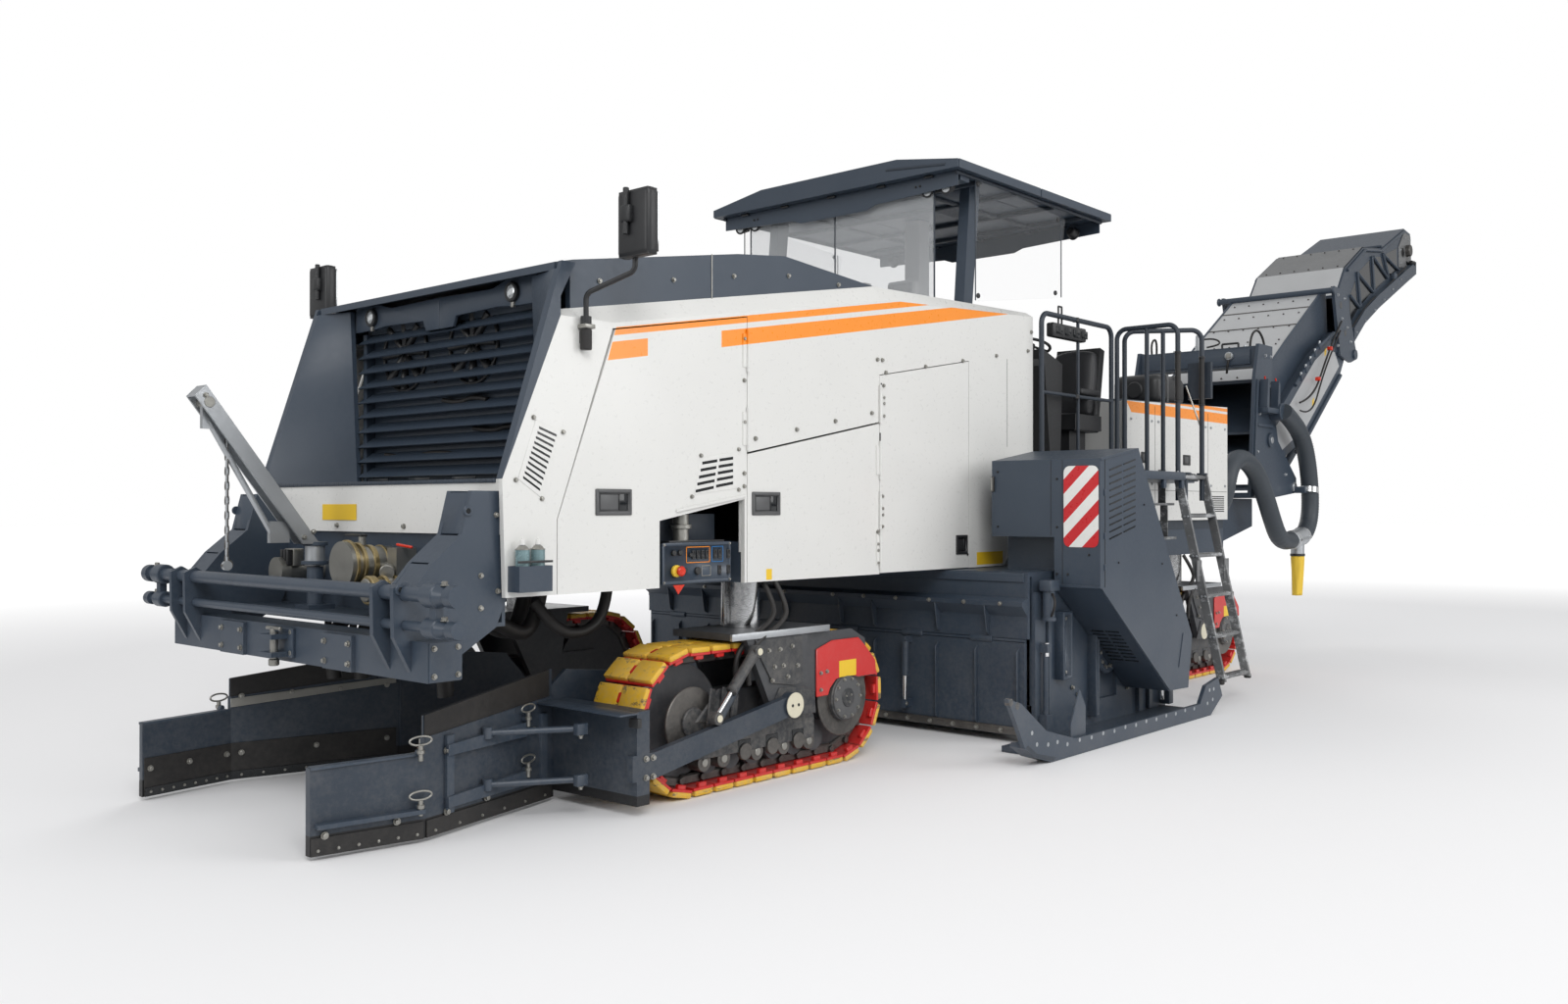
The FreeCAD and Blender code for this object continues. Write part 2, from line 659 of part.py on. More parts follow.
def front_apron():
    """The white cross panel, the chequer-plate walkway at the grille's foot and the nose behind them."""
    panel = block((z.wing_x + 20, z.wing_x + 50), both(panel_in), (1500, z.wing_knee - 30))
    walkway = block((z.wing_x + 20, z.grille_x + 98), both(panel_in), (z.wing_knee - 30, z.wing_knee))
    node("front_apron", [panel, walkway])


# ---------------------------------------------------------------- front frame

def front_frame():
    """Gussets and the lower cross beam in front of the chassis."""
    pieces = []
    bar_holes = []
    for height, radius in ((1235, 36), (1085, 24)):
        bar_holes.append(rod("y", (z.push_bar_x, height), radius + z.fit_gap, both(z.push_bar_half)))
    gusset = ((-1700, 1030), (-1705, 1260), (-1640, 1290), (-1590, 1260), (-1495, 1370), (-1330, 1505),
              (-1274, 1720), (z.wing_x + 20, 1720), (z.wing_x + 20, 1498), (z.chassis_front, 1498), (z.chassis_front, 1195),
              (-1128, 1040), (-1430, z.bumper_floor + 40), (z.bumper_x, z.bumper_floor + 40))
    for side, _ in SIDES:
        for inner in (1000, 1180):
            pieces.append(prism("y", gusset, span(side, inner, inner + 30)))
    beam = block((z.bumper_x, z.bumper_x + 180), both(z.bumper_half), (z.bumper_floor, 1010))
    shelf = block((z.bumper_x + 170, z.chassis_front), both(1190), (1040, 1060))
    back = block((z.chassis_front - 20, z.chassis_front), both(1190), (1040, 1500))
    for side, _ in SIDES:
        pieces.append(block((z.bumper_x - 20, z.bumper_x + 5), span(side, 430, 710), (z.bumper_floor, 1000)))
    frame = cut(fuse(pieces + [beam, shelf, back]), bar_holes)
    node("front_frame", [frame] + tow_hitch() + davit_post())


def push_bars():
    """Two round push bars with yokes at their ends, carried by the gussets."""
    pieces = []
    for height, radius in ((1235, 36), (1085, 24)):
        pieces.append(rod("y", (z.push_bar_x, height), radius, both(z.push_bar_half)))
    for side, _ in SIDES:
        pieces.append(block((z.push_bar_x - 20, z.push_bar_x + 20), span(side, z.push_bar_half - 200,
                                                                         z.push_bar_half - 150), (1085, 1235)))
        for height, radius in ((1235, 52), (1085, 40)):
            pieces.append(rod("y", (z.push_bar_x, height), radius, span(side, z.push_bar_half - 60, z.push_bar_half)))
    node("push_bars", pieces)


def tow_hitch():
    """A clevis with an upright pin and its handle, bolted to the lower cross beam."""
    front = z.bumper_x - 110
    pieces = [block((front, z.bumper_x), both(70), (height, height + 25)) for height in (850, 945)]
    pieces.append(rod("z", (front + 50, 0), 20, (835, 1000)))
    pieces.append(rod("y", (front + 50, 992), 9, both(60)))
    return pieces


def front_couplings():
    """Water and bitumen connections on the nose: a valve with its flange and a hose coupling."""
    pieces = [
        rod("x", (-150, 1330), 95, (-1330, z.chassis_front - 20)),
        rod("x", (-150, 1330), 125, (-1370, -1330)),
        rod("x", (600, 1270), 60, (-1300, z.chassis_front - 20)),
        rod("x", (600, 1270), 80, (-1360, -1300)),
        block((-1200, z.chassis_front - 20), (-420, -330), (1250, 1420)),
    ]
    node("front_couplings", pieces)


def davit_post():
    """The davit's fixed post and the spigot its arm turns on."""
    post = rod("z", (z.davit_x, z.davit_y), 45, (1060, 1300))
    foot = block((z.davit_x - 80, z.davit_x + 80), (z.davit_y - 80, z.davit_y + 80), (1060, 1085))
    spigot = rod("z", (z.davit_x, z.davit_y), 28, (1290, 1420))
    return [post, foot, spigot]


def davit_arm():
    """The swinging arm with its strut, socket and hoist chain."""
    y = z.davit_y
    ys = (y - 50, y + 50)
    socket = cut(rod("z", (z.davit_x, y), 55, (1306, 1440)),
                 [rod("z", (z.davit_x, y), 28 + z.fit_gap, (1300, 1428))])
    foot_x = z.davit_x - 60
    arm = prism("y", ((foot_x - 40, 1430), (foot_x + 60, 1430), (-1900, 2290), (-1975 + 20, 2230)), ys)
    trough = prism("y", ((foot_x - 60, 1425), (foot_x + 20, 1440), (-1925, 2245), (-1990, 2200)),
                   (y - 42, y + 42))
    channel = cut(arm, [trough])
    strut_bar = strut((foot_x - 190, 1480), (-1860, 2100), y, 16)
    lug = block((foot_x - 215, foot_x - 100), (y - 15, y + 15), (1440, 1560))
    cap = block((-1900, -1840), (y - 15, y + 15), (2060, 2200))
    chain = rod("z", (-1760, y), 9, (1330, 2020))
    hook = rod("y", (-1760, 1322), 26, (y - 12, y + 12))
    node("davit_arm", [socket, channel, strut_bar, lug, cap, chain, hook])


def mirror(side):
    """A mirror on a bent arm clamped to the hood's front corner."""
    y_foot = side * (z.body_half + 30)
    y_head = side * 1560
    arm = bent_tube(((-620, y_foot, 2480), (-620, y_foot, 2760), (-520, y_head, 2860), (-500, y_head, 3260)), 14, 45)
    clamp = rod("z", (-620, y_foot), 29, (2470, 2640))
    head = block((-560, -495), span(side, 1480, 1700), (2930, 3270))
    bracket = block((-640, -600), span(side, z.body_half, z.body_half + 30), (2500, 2560))
    return [arm, clamp, head, bracket]


def spray_can_tray():
    """A small tray with two spray cans on the left front corner."""
    ys = span(LEFT, z.body_half, z.body_half + 95)
    tray = cut(block((-1095, -890), ys, (1215, 1345)),
               [block((-1088, -897), span(LEFT, z.body_half + 4, z.body_half + 88), (1222, 1400))])
    cans = [rod("z", (x, LEFT * (z.body_half + 46)), 33, (1222, 1420)) for x in (-1040, -945)]
    necks = [rod("z", (x, LEFT * (z.body_half + 46)), 14, (1419, 1450)) for x in (-1040, -945)]
    node("spray_can_tray", [tray] + cans + necks)


def control_box(side):
    """The ground-level control panel in its opening under the front door."""
    inner = z.chassis_half - 220
    box = block((z.panel_front + 4, z.panel_rear - 90), span(side, inner, panel_in - 20),
                (z.body_floor + 8, z.body_floor + 240))
    return [box]


# ---------------------------------------------------------------- tracks

def loop_shape(grow):
    """A filled stadium round the track's end wheels, for a loop of this outer radius."""
    half_base = value(z.track_wheelbase) / 2
    centre_z = value(z.track_radius)
    low = FreeCAD.Vector(-half_base, 0, centre_z - grow)
    start = FreeCAD.Vector(half_base, 0, centre_z - grow)
    top = FreeCAD.Vector(half_base, 0, centre_z + grow)
    end = FreeCAD.Vector(-half_base, 0, centre_z + grow)
    rear = FreeCAD.Vector(half_base + grow, 0, centre_z)
    front = FreeCAD.Vector(-half_base - grow, 0, centre_z)
    wire = Part.Wire([Part.LineSegment(low, start).toShape(), Part.Arc(start, rear, top).toShape(),
                      Part.LineSegment(top, end).toShape(), Part.Arc(end, front, low).toShape()])
    return Part.Face(wire).extrude(FreeCAD.Vector(0, value(z.track_width), 0))


def shoe_places():
    """Station, height and tilt of each shoe along the outside of the belt of links."""
    base = value(z.track_wheelbase)
    ring = value(z.track_radius) - value(z.shoe_height)
    bend = ring - value(z.bend_drop)
    length = 2 * base + 2 * math.pi * ring
    count = round(length / value(z.shoe_pitch))
    places = []
    for index in range(count):
        travel = length * index / count
        if travel < base:
            places.append((travel - base / 2, -ring, 0.0))
        elif travel < base + math.pi * ring:
            turn = (travel - base) / ring
            places.append((base / 2 + bend * math.sin(turn), -bend * math.cos(turn), turn))
        elif travel < 2 * base + math.pi * ring:
            places.append((base / 2 - (travel - base - math.pi * ring), ring, math.pi))
        else:
            turn = math.pi + (travel - 2 * base - math.pi * ring) / ring
            places.append((-base / 2 + bend * math.sin(turn), -bend * math.cos(turn), turn))
    return places, length / count


def track_loop(track_x, side, name):
    """The crawler loop: a belt of links with its shoes, as one fixed outline."""
    ring = value(z.track_radius) - value(z.shoe_height)
    belt = loop_shape(ring + 2).cut(loop_shape(ring - value(z.link_height)))
    places, pitch = shoe_places()
    width = value(z.track_width)
    long = pitch - value(z.shoe_gap)
    shoes = []
    for x, up, turn in places:
        shoe = Part.makeBox(long, width, value(z.shoe_height), FreeCAD.Vector(-long / 2, 0, -value(z.shoe_height)))
        tilt = FreeCAD.Rotation(FreeCAD.Vector(0, 1, 0), -math.degrees(turn))
        shoe.Placement = FreeCAD.Placement(FreeCAD.Vector(x, 0, value(z.track_radius) + up), tilt)
        shoes.append(shoe)
    loop = made(belt.multiFuse(shoes))
    bind(loop, "Placement.Base.x", track_x)
    bind(loop, "Placement.Base.y", span(side, track_inner, track_outer)[0])
    node(name, [loop])


def undercarriage(track_x, side, name):
    """Column, foot plate, yoke, pivot axle, track frame, rollers and end wheels of one track."""
    foot_low = z.track_radius * 2 + 15
    foot_high = foot_low + z.foot_plate
    outer_in = track_outer + z.yoke_gap
    outer_out = outer_in + z.yoke_plate
    inner_out = track_inner - z.yoke_gap
    inner_in = inner_out - z.yoke_plate
    pivot_x = as_size(track_x) + z.pivot_dx
    wheel_reach = z.track_radius - z.shoe_height - z.link_height
    front_wheel = as_size(track_x) - z.track_wheelbase / 2
    rear_wheel = as_size(track_x) + z.track_wheelbase / 2
    pieces = [rod("z", (track_x, side * z.column_y), z.column_radius, (foot_high - 5,
                                                                      z.body_floor + z.column_seat))]
    pieces.append(block((as_size(track_x) - 394, as_size(track_x) + 456), span(side, inner_in, outer_out),
                        (foot_low, foot_high)))
    yoke = ((as_size(track_x) - 300, foot_low + 10), (pivot_x - 110, z.pivot_height - 60),
            (pivot_x + 110, z.pivot_height - 60), (as_size(track_x) + 260, foot_low + 10))
    for low, high in ((outer_in, outer_out), (inner_in, inner_out)):
        pieces.append(prism("y", yoke, span(side, low, high)))
    pieces.append(rod("y", (pivot_x, z.pivot_height), z.pivot_radius - 10, span(side, inner_in, outer_out)))
    if name.startswith("front"):
        pieces.append(rod("y", (pivot_x, z.pivot_height), z.blade_pin, span(side, outer_out - 5, outer_out + 65)))
    pieces.append(block((front_wheel, rear_wheel), span(side, z.track_y - 90, z.track_y + 90),
                        (z.track_radius - 120, z.track_radius + 130)))
    for wheel_x in (front_wheel, rear_wheel):
        pieces.append(rod("y", (wheel_x, z.track_radius), wheel_reach - z.fit_gap, span(side, z.track_y - 60, z.track_y + 60)))
    pieces.append(rod("y", (rear_wheel, z.track_radius), 170, span(side, z.track_y - 60, track_outer - 15)))
    guard_out = outer_in + z.thin_plate
    pieces.append(prism("y", ((pivot_x + 90, z.pivot_height + 60), (rear_wheel - 190, z.track_radius + 60),
                              (rear_wheel - 60, z.track_radius + 200), (rear_wheel + 230, z.track_radius + 180),
                              (rear_wheel + 200, z.track_radius * 2 - 60), (rear_wheel + 60, foot_low - 5),
                              (as_size(track_x) + 250, foot_low - 5), (as_size(track_x) + 250, foot_low - 120)),
                        span(side, outer_in, guard_out)))
    roller_count = 6
    for index in range(roller_count):
        roller_x = front_wheel + 190 + (rear_wheel - front_wheel - 380) * (index / (roller_count - 1))
        low_z = z.shoe_height + z.link_height + z.fit_gap + 85
        pieces.append(rod("y", (roller_x, low_z), 85, span(side, z.track_y - 120, z.track_y + 120)))
        pieces.append(block((roller_x - 25, roller_x + 25), span(side, z.track_y - 90, z.track_y + 90),
                            (low_z, z.track_radius - 110)))
    node(name, pieces)


# ---------------------------------------------------------------- front blades

def blade_assembly(side, name):
    """Lift arm, carrier box, inner side plate and the two-piece blade of one side."""
    pivot_x = z.front_track_x + z.pivot_dx
    arm_in = track_outer + z.yoke_gap + z.yoke_plate + z.move_gap
    arm_out = arm_in + 45
    carrier_rear = z.front_track_x - z.track_wheelbase / 2 - z.track_radius - 2 * z.move_gap
    carrier_front = carrier_rear - 120
    plate_in = 745
    arm = prism("y", ((pivot_x, z.pivot_height - 60), (pivot_x + 60, z.pivot_height), (pivot_x, z.pivot_height + 60),
                      (carrier_rear + 40, 330), (carrier_front, 330), (carrier_front, 190),
                      (carrier_rear + 40, 190)), span(side, arm_in, arm_out))
    disc = rod("y", (pivot_x, z.pivot_height), z.pivot_radius, span(side, arm_in, arm_out + 12))
    pin_bore = rod("y", (pivot_x, z.pivot_height), z.blade_pin + z.fit_gap, span(side, arm_in - 5, arm_out + 20))
    carrier = prism("z", ((carrier_front, side * plate_in), (carrier_front + 30, side * arm_out),
                          (carrier_rear, side * arm_out), (carrier_rear, side * plate_in)), (60, 560))
    inner_plate = prism("y", ((carrier_front + 5, 60), (carrier_rear + 700, 260), (carrier_rear + 900, 420),
                              (carrier_rear + 700, 640), (carrier_rear, 720), (carrier_front + 5, 630)),
                        span(side, plate_in, plate_in + 25))
    blade = z.blade_sheet
    kink = (-1429, 1025)
    tip = (z.front_tip, 929)
    root = (carrier_front + 10, 775)
    low = z.blade_floor
    rear_blade = taper_blade(side, root, kink, blade, low, 586, 510)
    front_blade = taper_blade(side, kink, tip, blade, low, 430, 430)
    apron = taper_blade(side, root, kink, 12, as_size(500), 733, 617)
    ram = strut((pivot_x - 640, z.pivot_height - 40), (pivot_x - 330, 780), side * (arm_out - 22), 26)
    hung = cut(fuse([arm, disc]), [pin_bore])
    node(f"{name}_front_blade", [hung, carrier, inner_plate, rear_blade, front_blade, apron, ram])


def taper_blade(side, start, end, thick, low, start_top, end_top):
    """A standing plate between two plan points whose top edge may slope."""
    def profile(point, top):
        y = side * as_size(point[1])
        return ((y - thick / 2, low), (y + thick / 2, low), (y + thick / 2, top), (y - thick / 2, top))
    thick = as_size(thick)
    return taper("x", profile(start, start_top), start[0], profile(end, end_top), end[0])


# ---------------------------------------------------------------- milling unit

housing_half = z.rotor_half + 25


def drum_housing():
    """The open-bottomed housing over the rotor, with folded front wall and cheek plates."""
    sheet_t = z.housing_sheet
    top = block((z.housing_front, z.housing_rear), both(housing_half), (z.body_floor - sheet_t, z.body_floor))
    front = block((z.housing_front, z.housing_front + sheet_t), both(housing_half),
                  (z.flap_hinge_z + z.flap_pin + z.fit_gap, z.body_floor))
    fold = prism("y", ((z.housing_front, 1010), (z.housing_front - 75, 985), (z.housing_front - 75, 955),
                       (z.housing_front, 880)), both(housing_half))
    rear = block((z.housing_rear - sheet_t, z.housing_rear), both(housing_half),
                 (z.scraper_hinge_z + z.flap_pin + z.fit_gap, z.body_floor))
    flange = block((z.housing_rear - 1, z.housing_rear + sheet_t), both(z.rotor_half),
                   (z.scraper_hinge_z + z.flap_pin + z.fit_gap, z.body_floor))
    pieces = [top, front, fold, rear, flange]
    for side, _ in SIDES:
        shaft_hole = rod("y", (z.rotor_x, z.rotor_z), z.shaft_radius + z.fit_gap, both(2200))
        cheek = prism("y", ((z.housing_front + 60, 260), (z.rotor_x - 300, 170), (z.rotor_x + 300, 170),
                            (z.housing_rear - 60, 260), (z.housing_rear - 60, z.body_floor),
                            (z.housing_front + 60, z.body_floor)), span(side, z.rotor_half + 5, housing_half))
        pieces.append(cut(cheek, [shaft_hole]))
    node("drum_housing", pieces)


def front_flap():
    """The swinging flap before the rotor, with its two ram rods."""
    middle_x = z.housing_front + z.housing_sheet / 2
    half = z.rotor_half
    skin = block((z.housing_front, z.housing_front + z.housing_sheet), both(half),
                 (z.flap_floor, z.flap_hinge_z - 15))
    hinge = rod("y", (middle_x, z.flap_hinge_z), z.flap_pin, both(half))
    strap = block((middle_x - 6, middle_x + 6), both(half), (z.flap_hinge_z - 20, z.flap_hinge_z))
    pieces = [skin, hinge, strap]
    for side, _ in SIDES:
        pieces.append(strut((z.housing_front - 70, 190), (z.housing_front - 60, 690), side * 930, 17))
        pieces.append(block((z.housing_front - 95, z.housing_front + 5), span(side, 915, 945), (165, 225)))
        pieces.append(block((z.housing_front - 85, z.housing_front + 5), span(side, 915, 945), (640, 690)))
    node("front_flap", pieces)


def milling_rotor():
    """The drum with its shaft stubs and a helix of cutting tools in their holders."""
    drum = rod("y", (z.rotor_x, z.rotor_z), z.drum_radius, both(z.rotor_half - 12))
    shaft = rod("y", (z.rotor_x, z.rotor_z), z.shaft_radius, both(z.rotor_half + 24))
    pieces = [drum, shaft]
    holder_count = 66
    reach = value(z.rotor_radius) - value(z.drum_radius)
    for index in range(holder_count):
        share = (index + 0.5) / holder_count
        turn = 360 * 0.38 * index
        y = (2 * share - 1) * (value(z.rotor_half) - 60)
        holder = Part.makeBox(90, 60, reach + 12, FreeCAD.Vector(-45, -30, value(z.drum_radius) - 14))
        tilt = FreeCAD.Rotation(FreeCAD.Vector(0, 1, 0), turn)
        holder.Placement = FreeCAD.Placement(FreeCAD.Vector(0, y, 0), tilt)
        tool = made(holder, "tool_holder")
        bind(tool, "Placement.Base.x", z.rotor_x)
        bind(tool, "Placement.Base.z", z.rotor_z)
        pieces.append(tool)
    node("milling_rotor", pieces)


def scraper_blade():
    """The blade behind the rotor, hung from its top edge."""
    back = z.housing_rear + z.housing_sheet
    skin = block((z.housing_rear, back), both(z.rotor_half), (z.scraper_floor, z.scraper_hinge_z - 15))
    hinge = rod("y", (z.housing_rear + z.housing_sheet / 2, z.scraper_hinge_z), z.flap_pin, both(z.rotor_half))
    strap = block((z.housing_rear + 9, z.housing_rear + 21), both(z.rotor_half),
                  (z.scraper_hinge_z - 20, z.scraper_hinge_z))
    rib = block((z.housing_rear + 25, z.housing_rear + 80), both(z.rotor_half - 20), (420, 480))
    node("scraper_blade", [skin, hinge, strap, rib])


def side_plate(side, name):
    """The sliding edge plate with its ski."""
    plate_in = housing_half + z.fit_gap
    plate_out = plate_in + z.side_plate_wall
    plate = prism("y", ((z.housing_front + 50, 30), (z.housing_rear - 60, 30), (z.housing_rear - 60, 1050),
                        (z.housing_front + 50, 1050)), span(side, plate_in, plate_out))
    slot = block((z.rotor_x - 190, z.rotor_x + 190), span(side, plate_in - 5, plate_out + 5),
                 (z.rotor_z - 350, 1200))
    sole = block((z.ski_front + 40, z.ski_rear), span(side, plate_in, z.ski_half), (0, z.ski_sole))
    web = prism("y", ((z.ski_front - 50, 0), (z.ski_rear, 0), (z.ski_rear + 230, 130), (z.ski_rear + 150, 280),
                      (z.ski_rear - 90, 240), (z.ski_rear - 200, 110), (z.ski_front + 260, 110),
                      (z.ski_front - 120, 210), (z.ski_front - 430, 420), (z.ski_front - 590, 465),
                      (z.ski_front - 500, 325), (z.ski_front - 385, 133), (z.ski_front - 255, 58)),
                span(side, z.ski_half - 30, z.ski_half))
    toe = prism("y", ((z.ski_front + 50, 0), (z.ski_front + 60, 40), (z.ski_front - 240, 90), (z.ski_front - 370, 160),
                      (z.ski_front - 385, 133), (z.ski_front - 255, 58), (z.ski_front - 50, 0)),
                span(side, z.ski_half - 110, z.ski_half))
    lug = block((2880, 2960), span(side, plate_out - 5, plate_out + 60), (30, 200))
    guide = strut((2920, 170), (2920, 640), side * (plate_out + 30), 18)
    cap = block((2890, 2950), span(side, plate_out - 5, plate_out + 60), (630, 690))
    node(f"{name}_side_plate", [cut(plate, [slot]), sole, web, toe, lug, guide, cap])


def side_housing(side):
    """The angular housing over the rotor's end, with its slotted faces and warning board's seat."""
    front = z.side_housing_front
    outer_in = housing_half + z.side_plate_wall + z.move_gap
    inner_box = prism("y", ((front, 1430), (front, 1980), (front + 580, 2070), (front + 990, 1430)),
                      span(side, side_housing_inner, outer_in))
    outer = prism("y", ((front, 1080), (front, 1980), (front + 580, 2070), (front + 1150, 1190),
                        (front + 1500, 650), (front + 1430, 250), (front + 1080, 260)),
                  span(side, outer_in, z.side_housing_half))
    foot = block((front + 220, front + 900), span(side, side_housing_inner, housing_half - 20),
                 (z.body_floor, 1432))
    return [inner_box, outer, foot]


# ---------------------------------------------------------------- platform

def rear_body():
    """The dark body under the platform and behind the rear hood."""
    under = block((z.hood_rear, z.rear_hood_front), both(panel_in), (chassis_top, z.deck_z - z.deck_sheet))
    rear = block((z.rear_hood_front, z.chassis_rear - 20), both(panel_in - 10), (chassis_top, z.rear_hood_floor))
    carrier = block((z.chassis_rear - 400, z.chassis_rear - 20), both(560), (chassis_top, z.rear_hood_floor))
    node("rear_body", [under, cut(rear, [carrier])])


def rear_hood():
    """The white hood over the rear tanks, its top a little higher at the rear."""
    body = prism("y", ((z.rear_hood_front, z.rear_hood_floor), (z.chassis_rear, z.rear_hood_floor),
                       (z.chassis_rear, z.rear_hood_z), (z.rear_hood_front, z.rear_hood_z - 70)), both(z.body_half))
    carrier = block((z.chassis_rear - 400 - 1, z.chassis_rear + 10), both(561), (z.rear_hood_floor - 5, z.slew_z + 1))
    node("rear_hood", [cut(body, [carrier])])


def platform_deck():
    """The operators' floor, with a walkway beside the rear hood and a landing at each ladder."""
    low = z.deck_z - z.deck_sheet
    landing_front = z.stair_front - 60
    landing_rear = z.stair_rear + 20
    landing_half = z.stair_head - 15
    pieces = [block((z.hood_rear, landing_front), both(z.deck_half), (low, z.deck_z)),
              block((landing_front - 1, z.rear_hood_front), both(landing_half), (low, z.deck_z))]
    for side, _ in SIDES:
        pieces.append(block((z.rear_hood_front - 5, landing_rear), span(side, z.body_half, landing_half),
                            (low, z.deck_z)))
        pieces.append(block((landing_rear - 5, 6510), span(side, z.body_half, z.body_half + z.walk_width),
                            (low, z.deck_z)))
        pieces.append(prism("x", ((side * panel_in, low + 5), (side * (z.deck_half - 60), low + 5),
                                  (side * panel_in, low - 330)), (4700, 4740)))
    node("platform_deck", pieces)


def handrails(side):
    """Tube rails round one side of the platform: the side rail, and a hoop on each side of the ladder."""
    top = z.deck_z + z.rail_height
    middle_z = z.deck_z + z.rail_height / 2
    y = side * z.rail_half
    r = z.rail_radius
    thin = r - 7
    front = z.hood_rear + 50
    pieces = [bent_tube(((front, y, z.deck_z), (front, y, top), (z.rail_rear, y, top), (z.rail_rear, y, z.deck_z)),
                        r, z.rail_bend),
              rod("x", (y, middle_z), thin, (front, z.rail_rear)),
              rod("z", ((front + z.rail_rear) / 2, y), thin, (z.deck_z, top))]
    tip = z.deck_z + 20
    in_y = z.rail_half - 20
    out_y = z.stair_head + z.stile_depth / 2
    bar_y = (in_y + out_y) / 2
    for start, end in ((z.stair_front + 15, z.stair_front + 15), (z.stair_rear - 360, z.stair_rear - 15)):
        pieces.append(bent_tube(((start, side * in_y, z.deck_z), (start, side * in_y, top), (end, side * out_y, top),
                                 (end, side * out_y, z.deck_z)), r, z.rail_bend))
        pieces.append(rod("z", ((start + end) / 2, side * bar_y), r - 2, (z.deck_z, top)))
    mirror_low = tip + 650
    stay = z.stair_rear - 15
    pieces.append(rod("x", (side * out_y, mirror_low + 130), thin, (stay, stay + 60)))
    pieces.append(block((stay + 50, stay + 90), span(side, out_y - 150, out_y + 60), (mirror_low, mirror_low + 320)))
    return pieces


def ladder(side):
    """The boarding ladder, leaning in from the ground to the landing."""
    slope = (z.stair_head - z.stair_foot) / (z.deck_z - z.stair_floor)
    stile = 30
    pieces = []
    for front in (z.stair_front - stile / 2, z.stair_rear - stile / 2):
        pieces.append(prism("x", ((side * z.stair_foot, z.stair_floor), (side * (z.stair_foot + z.stile_depth), z.stair_floor),
                                  (side * (z.stair_head + z.stile_depth), z.deck_z), (side * z.stair_head, z.deck_z)),
                            (front, front + stile)))
    step_count = 6
    for index in range(step_count):
        height = z.stair_floor + 30 + (z.deck_z - z.stair_floor - 60) * (index / (step_count - 1))
        y = z.stair_foot + slope * (height - z.stair_floor)
        pieces.append(block((z.stair_front, z.stair_rear), span(side, y - 10, y + 60), (height - 12, height + 12)))
    landing = block((z.stair_front, z.stair_rear), span(side, z.stair_head - 15, z.stair_head + 15),
                    (z.deck_z - 50, z.deck_z - 10))
    return pieces + [landing]


def operator_stations():
    """Two seats, each with its steering console, and the display bar between the consoles."""
    pieces = [block((4300, 4390), both(1000), (z.deck_z + 760, z.deck_z + 840))]
    near = z.station_near
    far = z.station_far
    for side, _ in SIDES:
        pieces.append(block((4760, 5040), span(side, near + 90, far - 90), (z.deck_z, z.deck_z + 380)))
        pieces.append(block((4700, 5160), span(side, near, far), (z.deck_z + 370, z.deck_z + 500)))
        pieces.append(prism("y", ((5060, z.deck_z + 480), (5160, z.deck_z + 480), (5260, z.deck_z + 1080),
                                  (5180, z.deck_z + 1100)), span(side, near + 20, far - 20)))
        pieces.append(prism("y", ((4330, z.deck_z), (4480, z.deck_z), (4520, z.deck_z + 900), (4200, z.deck_z + 1000),
                                  (4230, z.deck_z + 850)), span(side, near + 40, far - 20)))
    node("operator_stations", pieces)


def canopy():
    """The roof on a mast between the operators and two posts on the hood."""
    low = z.canopy_z - 150
    joint = low + 5
    roof = prism("x", ((-z.canopy_half, low), (z.canopy_half, low), (z.canopy_half, low + 60), (700, z.canopy_z),
                       (-700, z.canopy_z), (-z.canopy_half, low + 60)), (z.canopy_front, z.canopy_rear))
    pieces = [roof, block((z.mast_x - 75, z.mast_x + 75), both(75), (z.deck_z, joint))]
    deck_top = z.hood_rear_z + 34
    for side, _ in SIDES:
        pieces.append(prism("y", ((3330, deck_top), (3450, deck_top), (3560, joint), (3420, joint)),
                            span(side, z.post_half - 45, z.post_half + 45)))
        pieces.append(block((3060, 3180), span(side, z.post_half + 25, z.post_half + 195), (low - 60, joint)))
    node("canopy", pieces)


def windscreen():
    """The front and side windows under the roof."""
    deck_top = z.hood_rear_z + 40
    low = z.canopy_z - 150
    front = block((3062, 3062 + z.glass_wall), both(z.glass_half - 200), (deck_top, low))
    pieces = [front]
    for side, _ in SIDES:
        pieces.append(prism("y", ((3250, deck_top), (4500, deck_top + 180), (4620, low - 95), (3250, low)),
                            span(side, 1196, 1196 + z.glass_wall)))
    node("windows", pieces, joined=False)


# ---------------------------------------------------------------- conveyor

